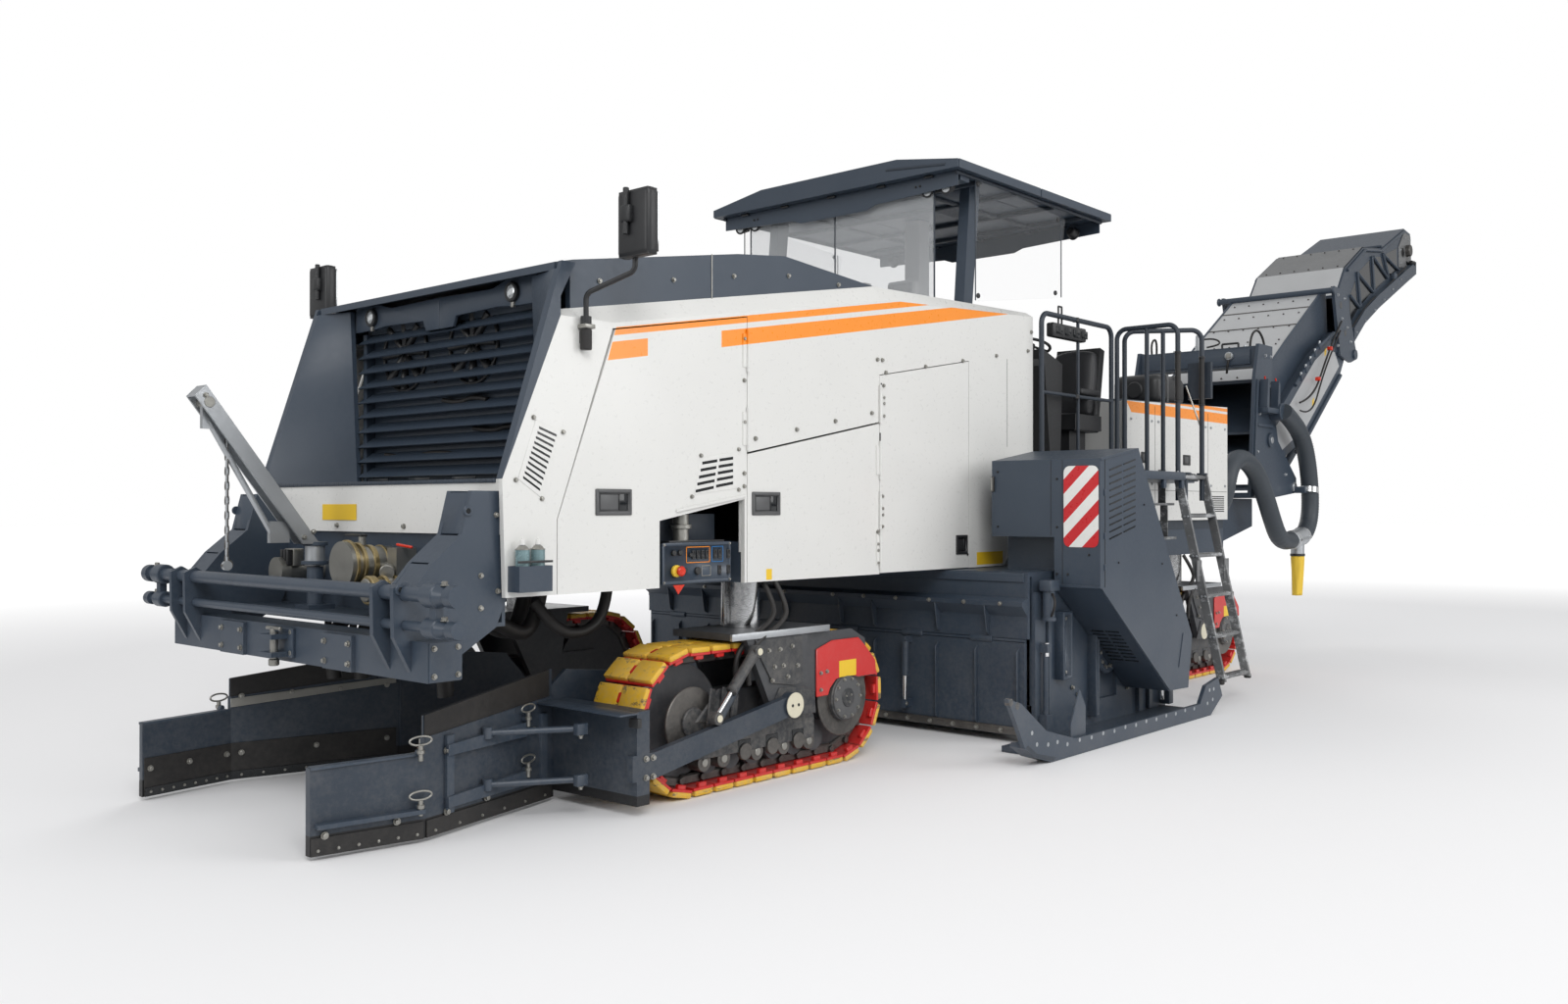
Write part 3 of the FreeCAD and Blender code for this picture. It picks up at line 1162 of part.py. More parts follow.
def slew_frame():
    """The turning frame: bearing disc, two cheeks beside the boom, cross beam and ram feet."""
    low = z.slew_z + z.move_gap
    disc = cut(rod("z", (z.slew_x, 0), 430, (low, low + 60)),
               [rod("z", (z.slew_x, 0), 90 + z.fit_gap, (low - 5, low + 100))])
    hub = cut(rod("z", (z.slew_x, 0), 150, (low + 50, low + 185)),
              [rod("z", (z.slew_x, 0), 90 + z.fit_gap, (low - 5, low + 178))])
    cheek_in = z.conveyor_half + z.move_gap
    cheek_out = cheek_in + z.cheek_plate
    cheek = ((z.slew_x - 250, low), (z.slew_x - 100, z.cheek_top - 400), (z.slew_x + 20, z.cheek_top),
             (z.slew_x + 440, z.cheek_top), (z.slew_x + 430, 3000), (z.slew_x + 620, 2450), (z.ram_foot_x + 90, 2010), (z.ram_foot_x + 90, 1830),
             (z.slew_x + 400, low))
    pieces = [disc, hub]
    for side, _ in SIDES:
        pieces.append(prism("y", cheek, span(side, cheek_in, cheek_out)))
        pieces.append(rod("y", (z.luff_x, z.luff_z), z.luff_pin, span(side, 560, cheek_out + 20)))
    base = block((z.slew_x - 250, z.slew_x + 400), both(cheek_in + 5), (low, low + 60))
    base_hole = rod("z", (z.slew_x, 0), 90 + z.fit_gap, (low - 5, low + 100))
    pieces.append(cut(base, [base_hole]))
    pieces.append(block((z.slew_x + 40, z.slew_x + 300), both(cheek_in + 5),
                        (z.cheek_top - z.beam_depth, z.cheek_top - z.thin_plate)))
    pieces.append(rod("y", (z.ram_foot_x, z.ram_foot_z), z.ram_pin, both(cheek_in + 5)))
    node("slew_frame", pieces)


def strip(line, thickness, reach):
    """A plate under a line of (x, z) points."""
    under = tuple((x, as_size(height) - thickness) for x, height in reversed(line))
    return prism("y", tuple(line) + under, reach)


def conveyor_boom():
    """The lower conveyor section: side plates, belt beds, covers, ram beam and the folding brackets."""
    side_line = ((10180, 2540), (10930, 2930), (12030, 3680), (12730, 3990), (13340, 3850), (13010, 3430),
                 (11750, 2560), (10450, 2080), (10220, 2230))
    half = z.conveyor_half
    pieces = []
    for side, _ in SIDES:
        pieces.append(prism("y", side_line, span(side, half - z.conveyor_wall, half)))
        pieces.append(prism("y", ((12640, 4600), (13130, 4600), (z.fold_x + 70, z.fold_z + 60),
                                  (z.fold_x + 70, z.fold_z - 60), (z.fold_x - 150, z.fold_z - 120), (12900, 3700)),
                            span(side, half + z.move_gap, half + z.move_gap + z.cheek_plate)))
        pieces.append(block((12700, 12950), span(side, half - 5, half + z.move_gap + 5), (3740, 3900)))
        pieces.append(rod("y", (z.fold_x, z.fold_z), z.fold_pin, span(side, half - 80, half + z.move_gap + 5)))
        pieces.append(prism("y", ((10500, 2600), (10480, 3200), (11330, 3740), (12700, 4560), (12830, 4560),
                                  (12900, 3900), (12030, 3600), (10930, 2850)),
                            span(side, z.belt_half - z.conveyor_wall, z.belt_half)))
    top_line = ((10480, 3200), (11330, 3740), (12700, 4560), (12830, 4560))
    bed_line = ((10300, 2560), (10930, 2900), (12030, 3620), (12900, 4020), (13100, 3900))
    cover = strip(top_line, z.conveyor_wall, both(z.belt_half))
    bed = strip(bed_line, z.conveyor_wall, both(half - 20))
    belt = strip(((10400, 2330), (11750, 2800), (13000, 3640)), z.conveyor_wall, both(half - 20))
    tube = rod("y", (12600, 4540), 40, both(half + z.move_gap + z.cheek_plate))
    beam = rod("y", (z.ram_head_x, z.ram_head_z), z.ram_beam, both(z.ram_y + 60))
    carrier = prism("y", ((z.ram_head_x - 150, 3605), (z.ram_head_x + 60, 3700), (z.ram_head_x + 50, 3180),
                          (z.ram_head_x - 50, 3180)), both(z.ram_y - 60))
    eyes = [rod("y", (z.luff_x, z.luff_z), z.luff_pin + z.fit_gap, both(900))]
    frame = cut(fuse(pieces + [cover, bed, belt, tube]), eyes)
    node("conveyor_boom", [frame, carrier, beam])


def conveyor_head():
    """The upper section that folds down: side plates, covers, belt tray and the head drum."""
    half = z.conveyor_half
    top_line = ((13190, 4560), (13560, 4990), (14370, 5400), (15120, 5500), (16290, 5990), (16640, 5960))
    low_line = ((13640, 3960), (14110, 4270), (14740, 4560), (16180, 5140), (16640, 5320))
    side_line = top_line + ((z.rear_tip, 5340),) + tuple(reversed(low_line[:-1]))
    pieces = []
    for side, _ in SIDES:
        pieces.append(prism("y", side_line, span(side, half - 90 - z.conveyor_wall, half - 90)))
        skirt = low_line + tuple((x, height + 190) for x, height in reversed(low_line))
        pieces.append(prism("y", skirt, span(side, half - 95, half)))
        lug = prism("y", ((z.fold_x - 60, z.fold_z), (z.fold_x, z.fold_z - 60), (13700, 3980), (13640, 4120),
                          (z.fold_x, z.fold_z + 60)), span(side, half - 75, half - 15))
        pin_bore = rod("y", (z.fold_x, z.fold_z), z.fold_pin + z.fit_gap, span(side, half - 90, half))
        pieces.append(cut(lug, [pin_bore]))
    cover = strip(top_line, z.conveyor_wall, both(half - 90))
    tray = strip(tuple((x, height + 60) for x, height in low_line), z.conveyor_wall, both(half - 90))
    drum = rod("y", (16420, 5660), 210, both(half - 100))
    node("conveyor_head", pieces + [cover, tray, drum])


def luff_rams():
    """Ram barrels on the slewing frame and their rods, in line from foot to head."""
    run = z.ram_head_x - z.ram_foot_x
    rise = z.ram_head_z - z.ram_foot_z
    foot = (z.ram_foot_x, z.ram_foot_z)
    head = (z.ram_head_x, z.ram_head_z)
    eye_wall = 26
    head_hole = z.ram_beam + z.eye_play

    def along(share):
        return (z.ram_foot_x + run * share, z.ram_foot_z + rise * share)

    barrels = []
    rods = []
    for side, _ in SIDES:
        y = side * z.ram_y
        ys = span(side, z.ram_y - 30, z.ram_y + 30)
        foot_eye = rod("y", foot, z.ram_pin + eye_wall, ys)
        tube = strut(along(0.026), along(0.60), y, z.ram_tube)
        bore = strut(along(0.10), along(0.62), y, z.ram_rod + 1)
        barrels.append(cut(fuse([foot_eye, tube]), [bore, rod("y", foot, z.ram_pin + z.fit_gap, both(700))]))
        stem = strut(along(0.2), along(0.975), y, z.ram_rod)
        head_eye = rod("y", head, head_hole + eye_wall, ys)
        rods.append(cut(fuse([stem, head_eye]), [rod("y", head, head_hole, both(700))]))
    node("luff_ram_barrels", barrels, joined=False)
    node("luff_ram_rods", rods, joined=False)


def extraction():
    """Dust extraction: the duct from the machine, the duct along the conveyor and the outlet bag."""
    y = LEFT * z.duct_y
    machine = bent_tube(((8700, -560, 1560), (8700, y, 1560), (8760, y, 2180), (9620, y, 2070), (10330, y, 1202),
                         (10639, y, 1250)), z.duct_radius, 180)
    node("machine_duct", [machine])
    riser = bent_tube(((10430, y, 2800), (11180, y, 2520), (11310, y, 1900), (11190, y, 1330)), z.duct_radius, 230)
    outlet = strut((10640, 1250), (11215, 1340), y, z.duct_radius + 4)
    drop = rod("z", (10900, y), z.duct_radius - 25, (1080, 1300))
    bag = rod("z", (10900, y), z.duct_radius - 30, (570, 1090))
    cheek_out = z.conveyor_half + z.move_gap + z.cheek_plate
    stay = block((z.ram_foot_x - 30, z.ram_foot_x + 85), span(LEFT, cheek_out, z.duct_y), (1840, 1900))
    node("conveyor_duct", [riser, outlet, drop, bag, stay])


# ---------------------------------------------------------------- the whole machine

def build():
    chassis_frame()
    engine_block()
    hood_top()
    hood_rear_deck()
    paired("body_panels", body_panels)
    front_cheeks()
    radiator_grille()
    front_apron()
    paired("control_boxes", control_box)
    front_frame()
    push_bars()
    front_couplings()
    davit_arm()
    paired("mirrors", mirror)
    spray_can_tray()
    drum_housing()
    front_flap()
    milling_rotor()
    scraper_blade()
    paired("side_housings", side_housing)
    rear_body()
    rear_hood()
    platform_deck()
    paired("handrails", handrails)
    paired("ladders", ladder)
    operator_stations()
    canopy()
    windscreen()
    slew_frame()
    conveyor_boom()
    conveyor_head()
    luff_rams()
    extraction()
    for side, name in SIDES:
        front_door(side, name)
        middle_door(side, name)
        rear_door(side, name)
        blade_assembly(side, name)
        side_plate(side, name)
        for track_x, place in ((z.front_track_x, "front"), (z.rear_track_x, "rear")):
            track_loop(track_x, side, f"{place}_{name}_track")
            undercarriage(track_x, side, f"{place}_{name}_undercarriage")


def check():
    for item in doc.Objects:
        if "Invalid" in item.State or "Error" in item.State:
            raise RuntimeError(f"{item.Label}: {item.State}")
    for part in sub_parts:
        shape = part.Shape
        if shape.isNull() or not shape.isValid() or not shape.Solids:
            raise RuntimeError(f"{part.Label}: no valid solid")


build()
doc.recompute()
check()
os.makedirs("parts", exist_ok=True)
for part in sub_parts:
    part.Shape.exportStep(f"parts/{part.Label}.step")
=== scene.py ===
import json
import math

import bpy
from mathutils import Matrix, Vector

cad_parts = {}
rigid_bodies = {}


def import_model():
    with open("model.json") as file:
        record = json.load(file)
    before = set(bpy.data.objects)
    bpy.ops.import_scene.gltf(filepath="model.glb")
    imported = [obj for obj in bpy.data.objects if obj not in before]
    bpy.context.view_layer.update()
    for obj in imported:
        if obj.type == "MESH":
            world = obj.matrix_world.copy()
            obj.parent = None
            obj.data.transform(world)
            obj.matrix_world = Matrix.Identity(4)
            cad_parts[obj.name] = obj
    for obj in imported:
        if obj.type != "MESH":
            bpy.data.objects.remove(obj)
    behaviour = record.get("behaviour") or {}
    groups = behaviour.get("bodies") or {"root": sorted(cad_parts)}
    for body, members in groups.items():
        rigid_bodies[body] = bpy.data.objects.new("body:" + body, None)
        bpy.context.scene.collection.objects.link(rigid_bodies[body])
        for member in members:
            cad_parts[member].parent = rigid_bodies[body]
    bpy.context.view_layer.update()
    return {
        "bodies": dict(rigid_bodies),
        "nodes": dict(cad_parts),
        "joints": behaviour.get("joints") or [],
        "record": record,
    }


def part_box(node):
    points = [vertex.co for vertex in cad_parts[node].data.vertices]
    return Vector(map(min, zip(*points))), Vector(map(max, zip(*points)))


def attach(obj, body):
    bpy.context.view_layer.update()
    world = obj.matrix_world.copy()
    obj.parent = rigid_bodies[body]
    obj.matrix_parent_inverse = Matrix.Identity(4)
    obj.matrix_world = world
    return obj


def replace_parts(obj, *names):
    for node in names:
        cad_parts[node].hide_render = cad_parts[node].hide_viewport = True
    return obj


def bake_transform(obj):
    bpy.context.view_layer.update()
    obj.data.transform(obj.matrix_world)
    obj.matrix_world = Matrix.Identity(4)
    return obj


bl_info = {
    "name": "Cold recycler",
    "version": (1, 0, 0),
    "blender": (4, 5, 0),
    "location": "View3D > Sidebar > Recycler",
    "description": "Finishes and fittings of a cold recycler on four crawlers",
    "category": "Add Mesh",
}

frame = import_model()
NODES = frame["nodes"]
MIDDLE = 16.700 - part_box("conveyor_head")[1].x
SIDES = (("left", -1), ("right", 1))
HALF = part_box("left_front_door")[0].y * -1 - 0.0184
AHEAD, BACK, LEFT, UP = (-1, 0, 0), (1, 0, 0), (0, -1, 0), (0, 0, 1)


def at(x, y, z):
    """A point of the frame from a station counted from the front crawlers' first contact."""
    return Vector((x - MIDDLE, y, z))


def vec(point):
    """A point given as (station, y, height), or a vector as it is."""
    return point if isinstance(point, Vector) else at(*point)


def rect(x0, z0, x1, z1):
    """The four corners of an upright rectangle, from two of them."""
    return [(x0, z0), (x1, z0), (x1, z1), (x0, z1)]


class Step:
    """What the button of each step does: its work, in order."""

    def execute(self, context):
        for job in self.work:
            job()
        return {"FINISHED"}


# ---------------------------------------------------------------- modelling

def deselect():
    if bpy.context.object and bpy.context.object.mode != "OBJECT":
        bpy.ops.object.mode_set(mode="OBJECT")
    bpy.ops.object.select_all(action="DESELECT")


def pick(*objects):
    deselect()
    for obj in objects:
        obj.select_set(True)
    bpy.context.view_layer.objects.active = objects[0]


def settle():
    """Puts the active piece's place, turn and size into its mesh."""
    bpy.ops.object.transform_apply(location=True, rotation=True, scale=True)
    return bpy.context.object


def soften(obj, width, segments=2, angle=40):
    pick(obj)
    bevel = obj.modifiers.new("edges", "BEVEL")
    bevel.width = width
    bevel.segments = segments
    bevel.angle_limit = math.radians(angle)
    bpy.ops.object.modifier_apply(modifier="edges")
    bpy.ops.object.shade_smooth_by_angle(angle=math.radians(35))
    return obj


def block(low, high, edge=0.004, segments=2):
    """A block between two corners with eased edges."""
    low, high = vec(low), vec(high)
    deselect()
    bpy.ops.mesh.primitive_cube_add(size=1, location=(low + high) / 2)
    bpy.context.object.scale = [abs(c) for c in high - low]
    return soften(settle(), edge, segments)


def rod(start, end, radius, sides=24, edge=0.003, tip=None):
    """A bar of round section between two points; tip narrows its far end."""
    start, end = vec(start), vec(end)
    deselect()
    bpy.ops.mesh.primitive_cone_add(
        vertices=sides, radius1=radius, radius2=radius if tip is None else tip, depth=(end - start).length,
        location=(start + end) / 2)
    obj = bpy.context.object
    obj.rotation_euler = (end - start).to_track_quat("Z", "Y").to_euler()
    return soften(settle(), edge, 1)


def sheet_metal(corners, depth, edge=0.003, segments=1):
    """A flat plate with the given outline, pushed out by the depth vector."""
    deselect()
    bpy.ops.mesh.primitive_circle_add(vertices=len(corners), fill_type="NGON")
    obj = bpy.context.object
    for vertex, corner in zip(obj.data.vertices, corners):
        vertex.co = vec(corner)
    obj.data.update()
    bpy.ops.object.mode_set(mode="EDIT")
    bpy.ops.mesh.select_all(action="SELECT")
    bpy.ops.mesh.extrude_region_move(TRANSFORM_OT_translate={"value": depth})
    bpy.ops.mesh.select_all(action="SELECT")
    bpy.ops.mesh.normals_make_consistent(inside=False)
    bpy.ops.object.mode_set(mode="OBJECT")
    return soften(obj, edge, segments) if edge else obj


def side_plate_at(corners, y, thick, edge=0.003, segments=1):
    """A plate in a plane along the machine; corners are (station, height)."""
    return sheet_metal([(x, y, z) for x, z in corners], (0, thick, 0), edge, segments)


def hose(points, radius, sides=8, order=3, closed=False):
    """A tube along a smooth line through the points' neighbourhood."""
    curve = bpy.data.curves.new("hose", "CURVE")
    curve.dimensions = "3D"
    line = curve.splines.new("NURBS")
    line.points.add(len(points) - 1)
    for spot, point in zip(line.points, points):
        spot.co = (*vec(point), 1)
    line.order_u = min(order, len(points))
    line.use_endpoint_u = not closed
    line.use_cyclic_u = closed
    line.resolution_u = 6
    curve.bevel_depth = radius
    curve.bevel_resolution = max(1, sides // 4)
    curve.use_fill_caps = True
    obj = bpy.data.objects.new("hose", curve)
    bpy.context.scene.collection.objects.link(obj)
    pick(obj)
    bpy.ops.object.convert(target="MESH")
    bpy.ops.object.shade_smooth_by_angle(angle=math.radians(50))
    return bpy.context.object


def copies(source, places):
    """One mesh holding the source at every place; a place is a matrix."""
    made = []
    for place in places:
        twin = source.copy()
        twin.data = source.data.copy()
        twin.data.transform(place)
        bpy.context.scene.collection.objects.link(twin)
        made.append(twin)
    bpy.data.objects.remove(source)
    return together(made)


def together(objects):
    if len(objects) > 1:
        pick(*objects)
        bpy.ops.object.join()
    return objects[0]


def facing(point, direction, spin=0.0):
    """A place at the point with local Z along the direction."""
    turn = Vector(direction).to_track_quat("Z", "Y").to_matrix().to_4x4()
    return Matrix.Translation(point) @ turn @ Matrix.Rotation(spin, 4, "Z")


def bolts(points, direction, size=0.012, finish="zinc"):
    """Hexagon heads on washers at the points, all facing one way."""
    deselect()
    bpy.ops.mesh.primitive_cylinder_add(
        vertices=6, radius=size, depth=size * 1.1, location=(0, 0, size * 0.7))
    head = settle()
    bpy.ops.object.mode_set(mode="EDIT")
    bpy.ops.mesh.select_all(action="DESELECT")
    bpy.ops.object.mode_set(mode="OBJECT")
    for face in head.data.polygons:
        face.select = face.normal.z > 0.9
    bpy.ops.object.mode_set(mode="EDIT")
    bpy.ops.mesh.inset(thickness=size * 0.18, depth=size * 0.12)
    bpy.ops.object.mode_set(mode="OBJECT")
    bpy.ops.mesh.primitive_cylinder_add(
        vertices=10, radius=size * 1.35, depth=size * 0.35, location=(0, 0, size * 0.1))
    whole = together([head, settle()])
    dress(whole, finish)
    return copies(whole, [facing(vec(point), direction, 0.5 * index) for index, point in enumerate(points)])


def line_of(start, end, count):
    start, end = Vector(start), Vector(end)
    return [start + (end - start) * (index / max(1, count - 1)) for index in range(count)]


def dress(obj, finish):
    """Gives the whole object one finish."""
    obj.data.materials.clear()
    obj.data.materials.append(finish_of(finish))
    return obj


def put(made, finish, obj):
    """Adds the object, in its finish, to those made so far."""
    made.append(dress(obj, finish))


def several(made, shape, *rows):
    """Adds one object for each row, which holds its finish and then what the shape takes."""
    for finish, *measures in rows:
        put(made, finish, shape(*measures))


def piece(name, body, objects):
    """Joins the objects into one piece that rides the body, or rides no body where none is given."""
    whole = together(list(objects))
    whole.name = name
    whole.data.name = name
    if body:
        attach(whole, body)
    return whole


def mirrored(obj):
    """The same piece on the other side of the machine."""
    twin = obj.copy()
    twin.data = obj.data.copy()
    bpy.context.scene.collection.objects.link(twin)
    twin.data.transform(Matrix.Scale(-1, 4, (0, 1, 0)))
    twin.data.flip_normals()
    return twin


# ---------------------------------------------------------------- finishes

def socket(tree, name, kind, way="INPUT", value=None):
    made = tree.interface.new_socket(name=name, in_out=way, socket_type=kind)
    if value is not None:
        made.default_value = value
    return made


class Wires:
    """Short names for the shader nodes of one tree."""

    def __init__(self, tree):
        self.tree = tree

    def node(self, kind, **values):
        made = self.tree.nodes.new(kind)
        for key, value in values.items():
            setattr(made, key, value)
        return made

    def link(self, source, target):
        if isinstance(source, (int, float, tuple)):
            target.default_value = source
        else:
            self.tree.links.new(source, target)

    def calc(self, operation, first, second=0.0, clamp=False):
        made = self.node("ShaderNodeMath", operation=operation, use_clamp=clamp)
        self.link(first, made.inputs[0])
        self.link(second, made.inputs[1])
        return made.outputs[0]

    def blend(self, share, first, second, kind="MIX"):
        made = self.node("ShaderNodeMix", data_type="RGBA", blend_type=kind)
        self.link(share, made.inputs["Factor"])
        self.link(first, made.inputs["A"])
        self.link(second, made.inputs["B"])
        return made.outputs["Result"]

    def range(self, value, low, high, start=0.0, end=1.0):
        made = self.node("ShaderNodeMapRange")
        for source, slot in ((value, 0), (low, 1), (high, 2), (start, 3), (end, 4)):
            self.link(source, made.inputs[slot])
        return made.outputs[0]

    def noise(self, where, scale, detail=3.0, rough=0.5):
        made = self.node("ShaderNodeTexNoise")
        self.link(where, made.inputs["Vector"])
        self.link(scale, made.inputs["Scale"])
        made.inputs["Detail"].default_value = detail
        made.inputs["Roughness"].default_value = rough
        return made.outputs["Fac"]

    def between(self, value, low, high):
        above = self.calc("GREATER_THAN", value, low)
        below = self.calc("LESS_THAN", value, high)
        return self.calc("MULTIPLY", above, below)


GROUPS = {}


def new_group(name, inputs, outputs):
    tree = bpy.data.node_groups.new(name, "ShaderNodeTree")
    for label, kind, value in inputs:
        socket(tree, label, kind, "INPUT", value)
    for label, kind in outputs:
        socket(tree, label, kind, "OUTPUT")
    wires = Wires(tree)
    GROUPS[name] = tree
    return wires, wires.node("NodeGroupInput").outputs, wires.node("NodeGroupOutput").inputs


COLOUR, FLOAT = "NodeSocketColor", "NodeSocketFloat"


def surface_group():
    """Paint, dust towards the ground, and a fine skin over any part."""
    wires, given, out = new_group(
        "worn_surface",
        (
            ("Paint", COLOUR, (0.2, 0.2, 0.2, 1)), ("Dust", COLOUR, (0.36, 0.33, 0.29, 1)),
            ("Dust Amount", FLOAT, 0.2), ("Shine", FLOAT, 0.4), ("Grain", FLOAT, 120.0),
            ("Mottle", FLOAT, 0.08)),
        (("Color", COLOUR), ("Roughness", FLOAT), ("Height", FLOAT)))
    where = wires.node("ShaderNodeTexCoord").outputs["Object"]
    height = wires.node("ShaderNodeSeparateXYZ")
    wires.link(where, height.inputs[0])
    patches = wires.noise(where, 2.3, 5.0, 0.62)
    specks = wires.noise(where, 34.0, 4.0, 0.7)
    fine = wires.noise(where, given["Grain"], 2.0)
    low = wires.range(height.outputs["Z"], 1.5, 0.0, 0.12, 1.0)
    cover = wires.calc("MULTIPLY", wires.range(wires.calc("ADD", patches, specks), 0.85, 1.35), low)
    cover = wires.calc("MULTIPLY", cover, given["Dust Amount"], clamp=True)
    shade = wires.calc("MULTIPLY", wires.range(patches, 0.25, 0.75, -1.0, 1.0), given["Mottle"])
    bright = wires.node("ShaderNodeHueSaturation")
    wires.link(wires.calc("ADD", 1.0, shade), bright.inputs["Value"])
    wires.link(given["Paint"], bright.inputs["Color"])
    wires.link(wires.blend(cover, bright.outputs[0], given["Dust"]), out["Color"])
    rough = wires.calc("ADD", given["Shine"], wires.range(specks, 0.3, 0.7, -0.05, 0.06))
    wires.link(wires.calc("ADD", rough, wires.calc("MULTIPLY", cover, 0.5), clamp=True), out["Roughness"])
    wires.link(fine, out["Height"])


def scuff_group():
    """Bare or polished streaks from stretched noise, as a mask."""
    wires, given, out = new_group(
        "scuffs", (("Scale", FLOAT, 6.0), ("Amount", FLOAT, 0.3)), (("Mask", FLOAT),))
    where = wires.node("ShaderNodeTexCoord").outputs["Object"]
    stretch = wires.node("ShaderNodeMapping")
    wires.link(where, stretch.inputs["Vector"])
    stretch.inputs["Scale"].default_value = (0.35, 1.0, 1.6)
    coarse = wires.noise(stretch.outputs[0], given["Scale"], 6.0, 0.72)
    edge = wires.calc("SUBTRACT", 0.78, wires.calc("MULTIPLY", given["Amount"], 0.25))
    wires.link(wires.range(coarse, edge, wires.calc("ADD", edge, 0.06)), out["Mask"])


def stripe_group():
    """Two orange bands that climb along the hood's side and end under its shoulder."""
    wires, given, out = new_group(
        "hood_stripes", (("Paint", COLOUR, (0.8, 0.8, 0.8, 1)), ("Stripe", COLOUR, (0.9, 0.3, 0.02, 1))),
        (("Color", COLOUR),))
    place = wires.node("ShaderNodeSeparateXYZ")
    wires.link(wires.node("ShaderNodeTexCoord").outputs["Object"], place.inputs[0])
    x, y, z = (place.outputs[axis] for axis in "XYZ")
    station = wires.calc("ADD", x, MIDDLE)
    climb = wires.calc("SUBTRACT", z, wires.calc("MULTIPLY", wires.calc("ADD", station, 0.4), 0.1755))
    upper = wires.between(climb, 2.566, 2.609)
    lower = wires.between(climb, 2.435, 2.532)
    gap = wires.between(station, -0.155, 0.43)
    lower = wires.calc("MULTIPLY", lower, wires.calc("SUBTRACT", 1.0, gap))
    front = wires.calc("ADD", wires.calc("MULTIPLY", z, 0.324), -1.232)
    behind = wires.calc("GREATER_THAN", station, front)
    under = wires.calc("LESS_THAN", z, 3.141)
    flank = wires.calc("GREATER_THAN", wires.calc("ABSOLUTE", y), HALF - 0.004)
    ahead = wires.calc("LESS_THAN", station, 5.0)
    mask = wires.calc("MULTIPLY", wires.calc("ADD", upper, lower), wires.calc("MULTIPLY", behind, under))
    mask = wires.calc("MULTIPLY", mask, wires.calc("MULTIPLY", flank, ahead))
    slant = wires.calc("ADD", station, z)
    wide = wires.calc("MULTIPLY", wires.between(z, 2.5, 2.598), wires.calc("GREATER_THAN", slant, 8.212))
    thin = wires.calc("MULTIPLY", wires.between(z, 2.622, 2.655), wires.calc("GREATER_THAN", slant, 8.84))
    rear = wires.calc("MULTIPLY", wires.calc("ADD", wide, thin), flank)
    wires.link(
        wires.blend(wires.calc("ADD", mask, rear, clamp=True), given["Paint"], given["Stripe"]), out["Color"])


def hazard_group():
    """Diagonal red and white bars."""
    wires, given, out = new_group(
        "hazard_bars",
        (
            ("Light", COLOUR, (0.8, 0.8, 0.8, 1)),
            ("Bar", COLOUR, (0.6, 0.02, 0.02, 1)),
            ("Pitch", FLOAT, 0.22)),
        (("Color", COLOUR),))
    place = wires.node("ShaderNodeSeparateXYZ")
    wires.link(wires.node("ShaderNodeTexCoord").outputs["Object"], place.inputs[0])
    slope = wires.calc("SUBTRACT", place.outputs["Z"], wires.calc("ABSOLUTE", place.outputs["Y"]))
    step = wires.calc("FRACT", wires.calc("DIVIDE", slope, given["Pitch"]))
    wires.link(wires.blend(wires.calc("GREATER_THAN", step, 0.5), given["Light"], given["Bar"]), out["Color"])


def chequer_group():
    """Raised bars of a chequer plate, as a height."""
    wires, given, out = new_group("chequer_bars", (("Size", FLOAT, 0.03),), (("Height", FLOAT),))
    where = wires.node("ShaderNodeTexCoord").outputs["Object"]
    turned = wires.node("ShaderNodeMapping")
    wires.link(where, turned.inputs["Vector"])
    turned.inputs["Rotation"].default_value = (0, 0, math.pi / 4)
    split = wires.node("ShaderNodeSeparateXYZ")
    wires.link(turned.outputs[0], split.inputs[0])
    across = wires.calc("DIVIDE", split.outputs["X"], given["Size"])
    along = wires.calc("DIVIDE", split.outputs["Y"], given["Size"])
    cell = wires.calc("ADD", wires.calc("FLOOR", across), wires.calc("FLOOR", along))
    odd = wires.calc("GREATER_THAN", wires.calc("FRACT", wires.calc("MULTIPLY", cell, 0.5)), 0.25)
    u = wires.calc("ABSOLUTE", wires.calc("SUBTRACT", wires.calc("FRACT", across), 0.5))
    v = wires.calc("ABSOLUTE", wires.calc("SUBTRACT", wires.calc("FRACT", along), 0.5))
    lying = wires.calc("MULTIPLY", wires.range(u, 0.42, 0.36), wires.range(v, 0.16, 0.09))
    upright = wires.calc("MULTIPLY", wires.range(v, 0.42, 0.36), wires.range(u, 0.16, 0.09))
    made = wires.node("ShaderNodeMix")
    wires.link(odd, made.inputs[0])
    wires.link(lying, made.inputs[2])
    wires.link(upright, made.inputs[3])
    wires.link(made.outputs[0], out["Height"])


FINISHES = {}


def new_material(name):
    material = bpy.data.materials.new(f"{name}_finish")
    FINISHES[name] = material
    material.use_nodes = True
    wires = Wires(material.node_tree)
    shader = material.node_tree.nodes["Principled BSDF"]
    return material, wires, shader


def placed(wires, group, **values):
    made = wires.node("ShaderNodeGroup")
    made.node_tree = GROUPS[group]
    for label, value in values.items():
        wires.link(value, made.inputs[label.replace("_", " ")])
    return made.outputs


def rgb(colour):
    return (*colour, 1.0)


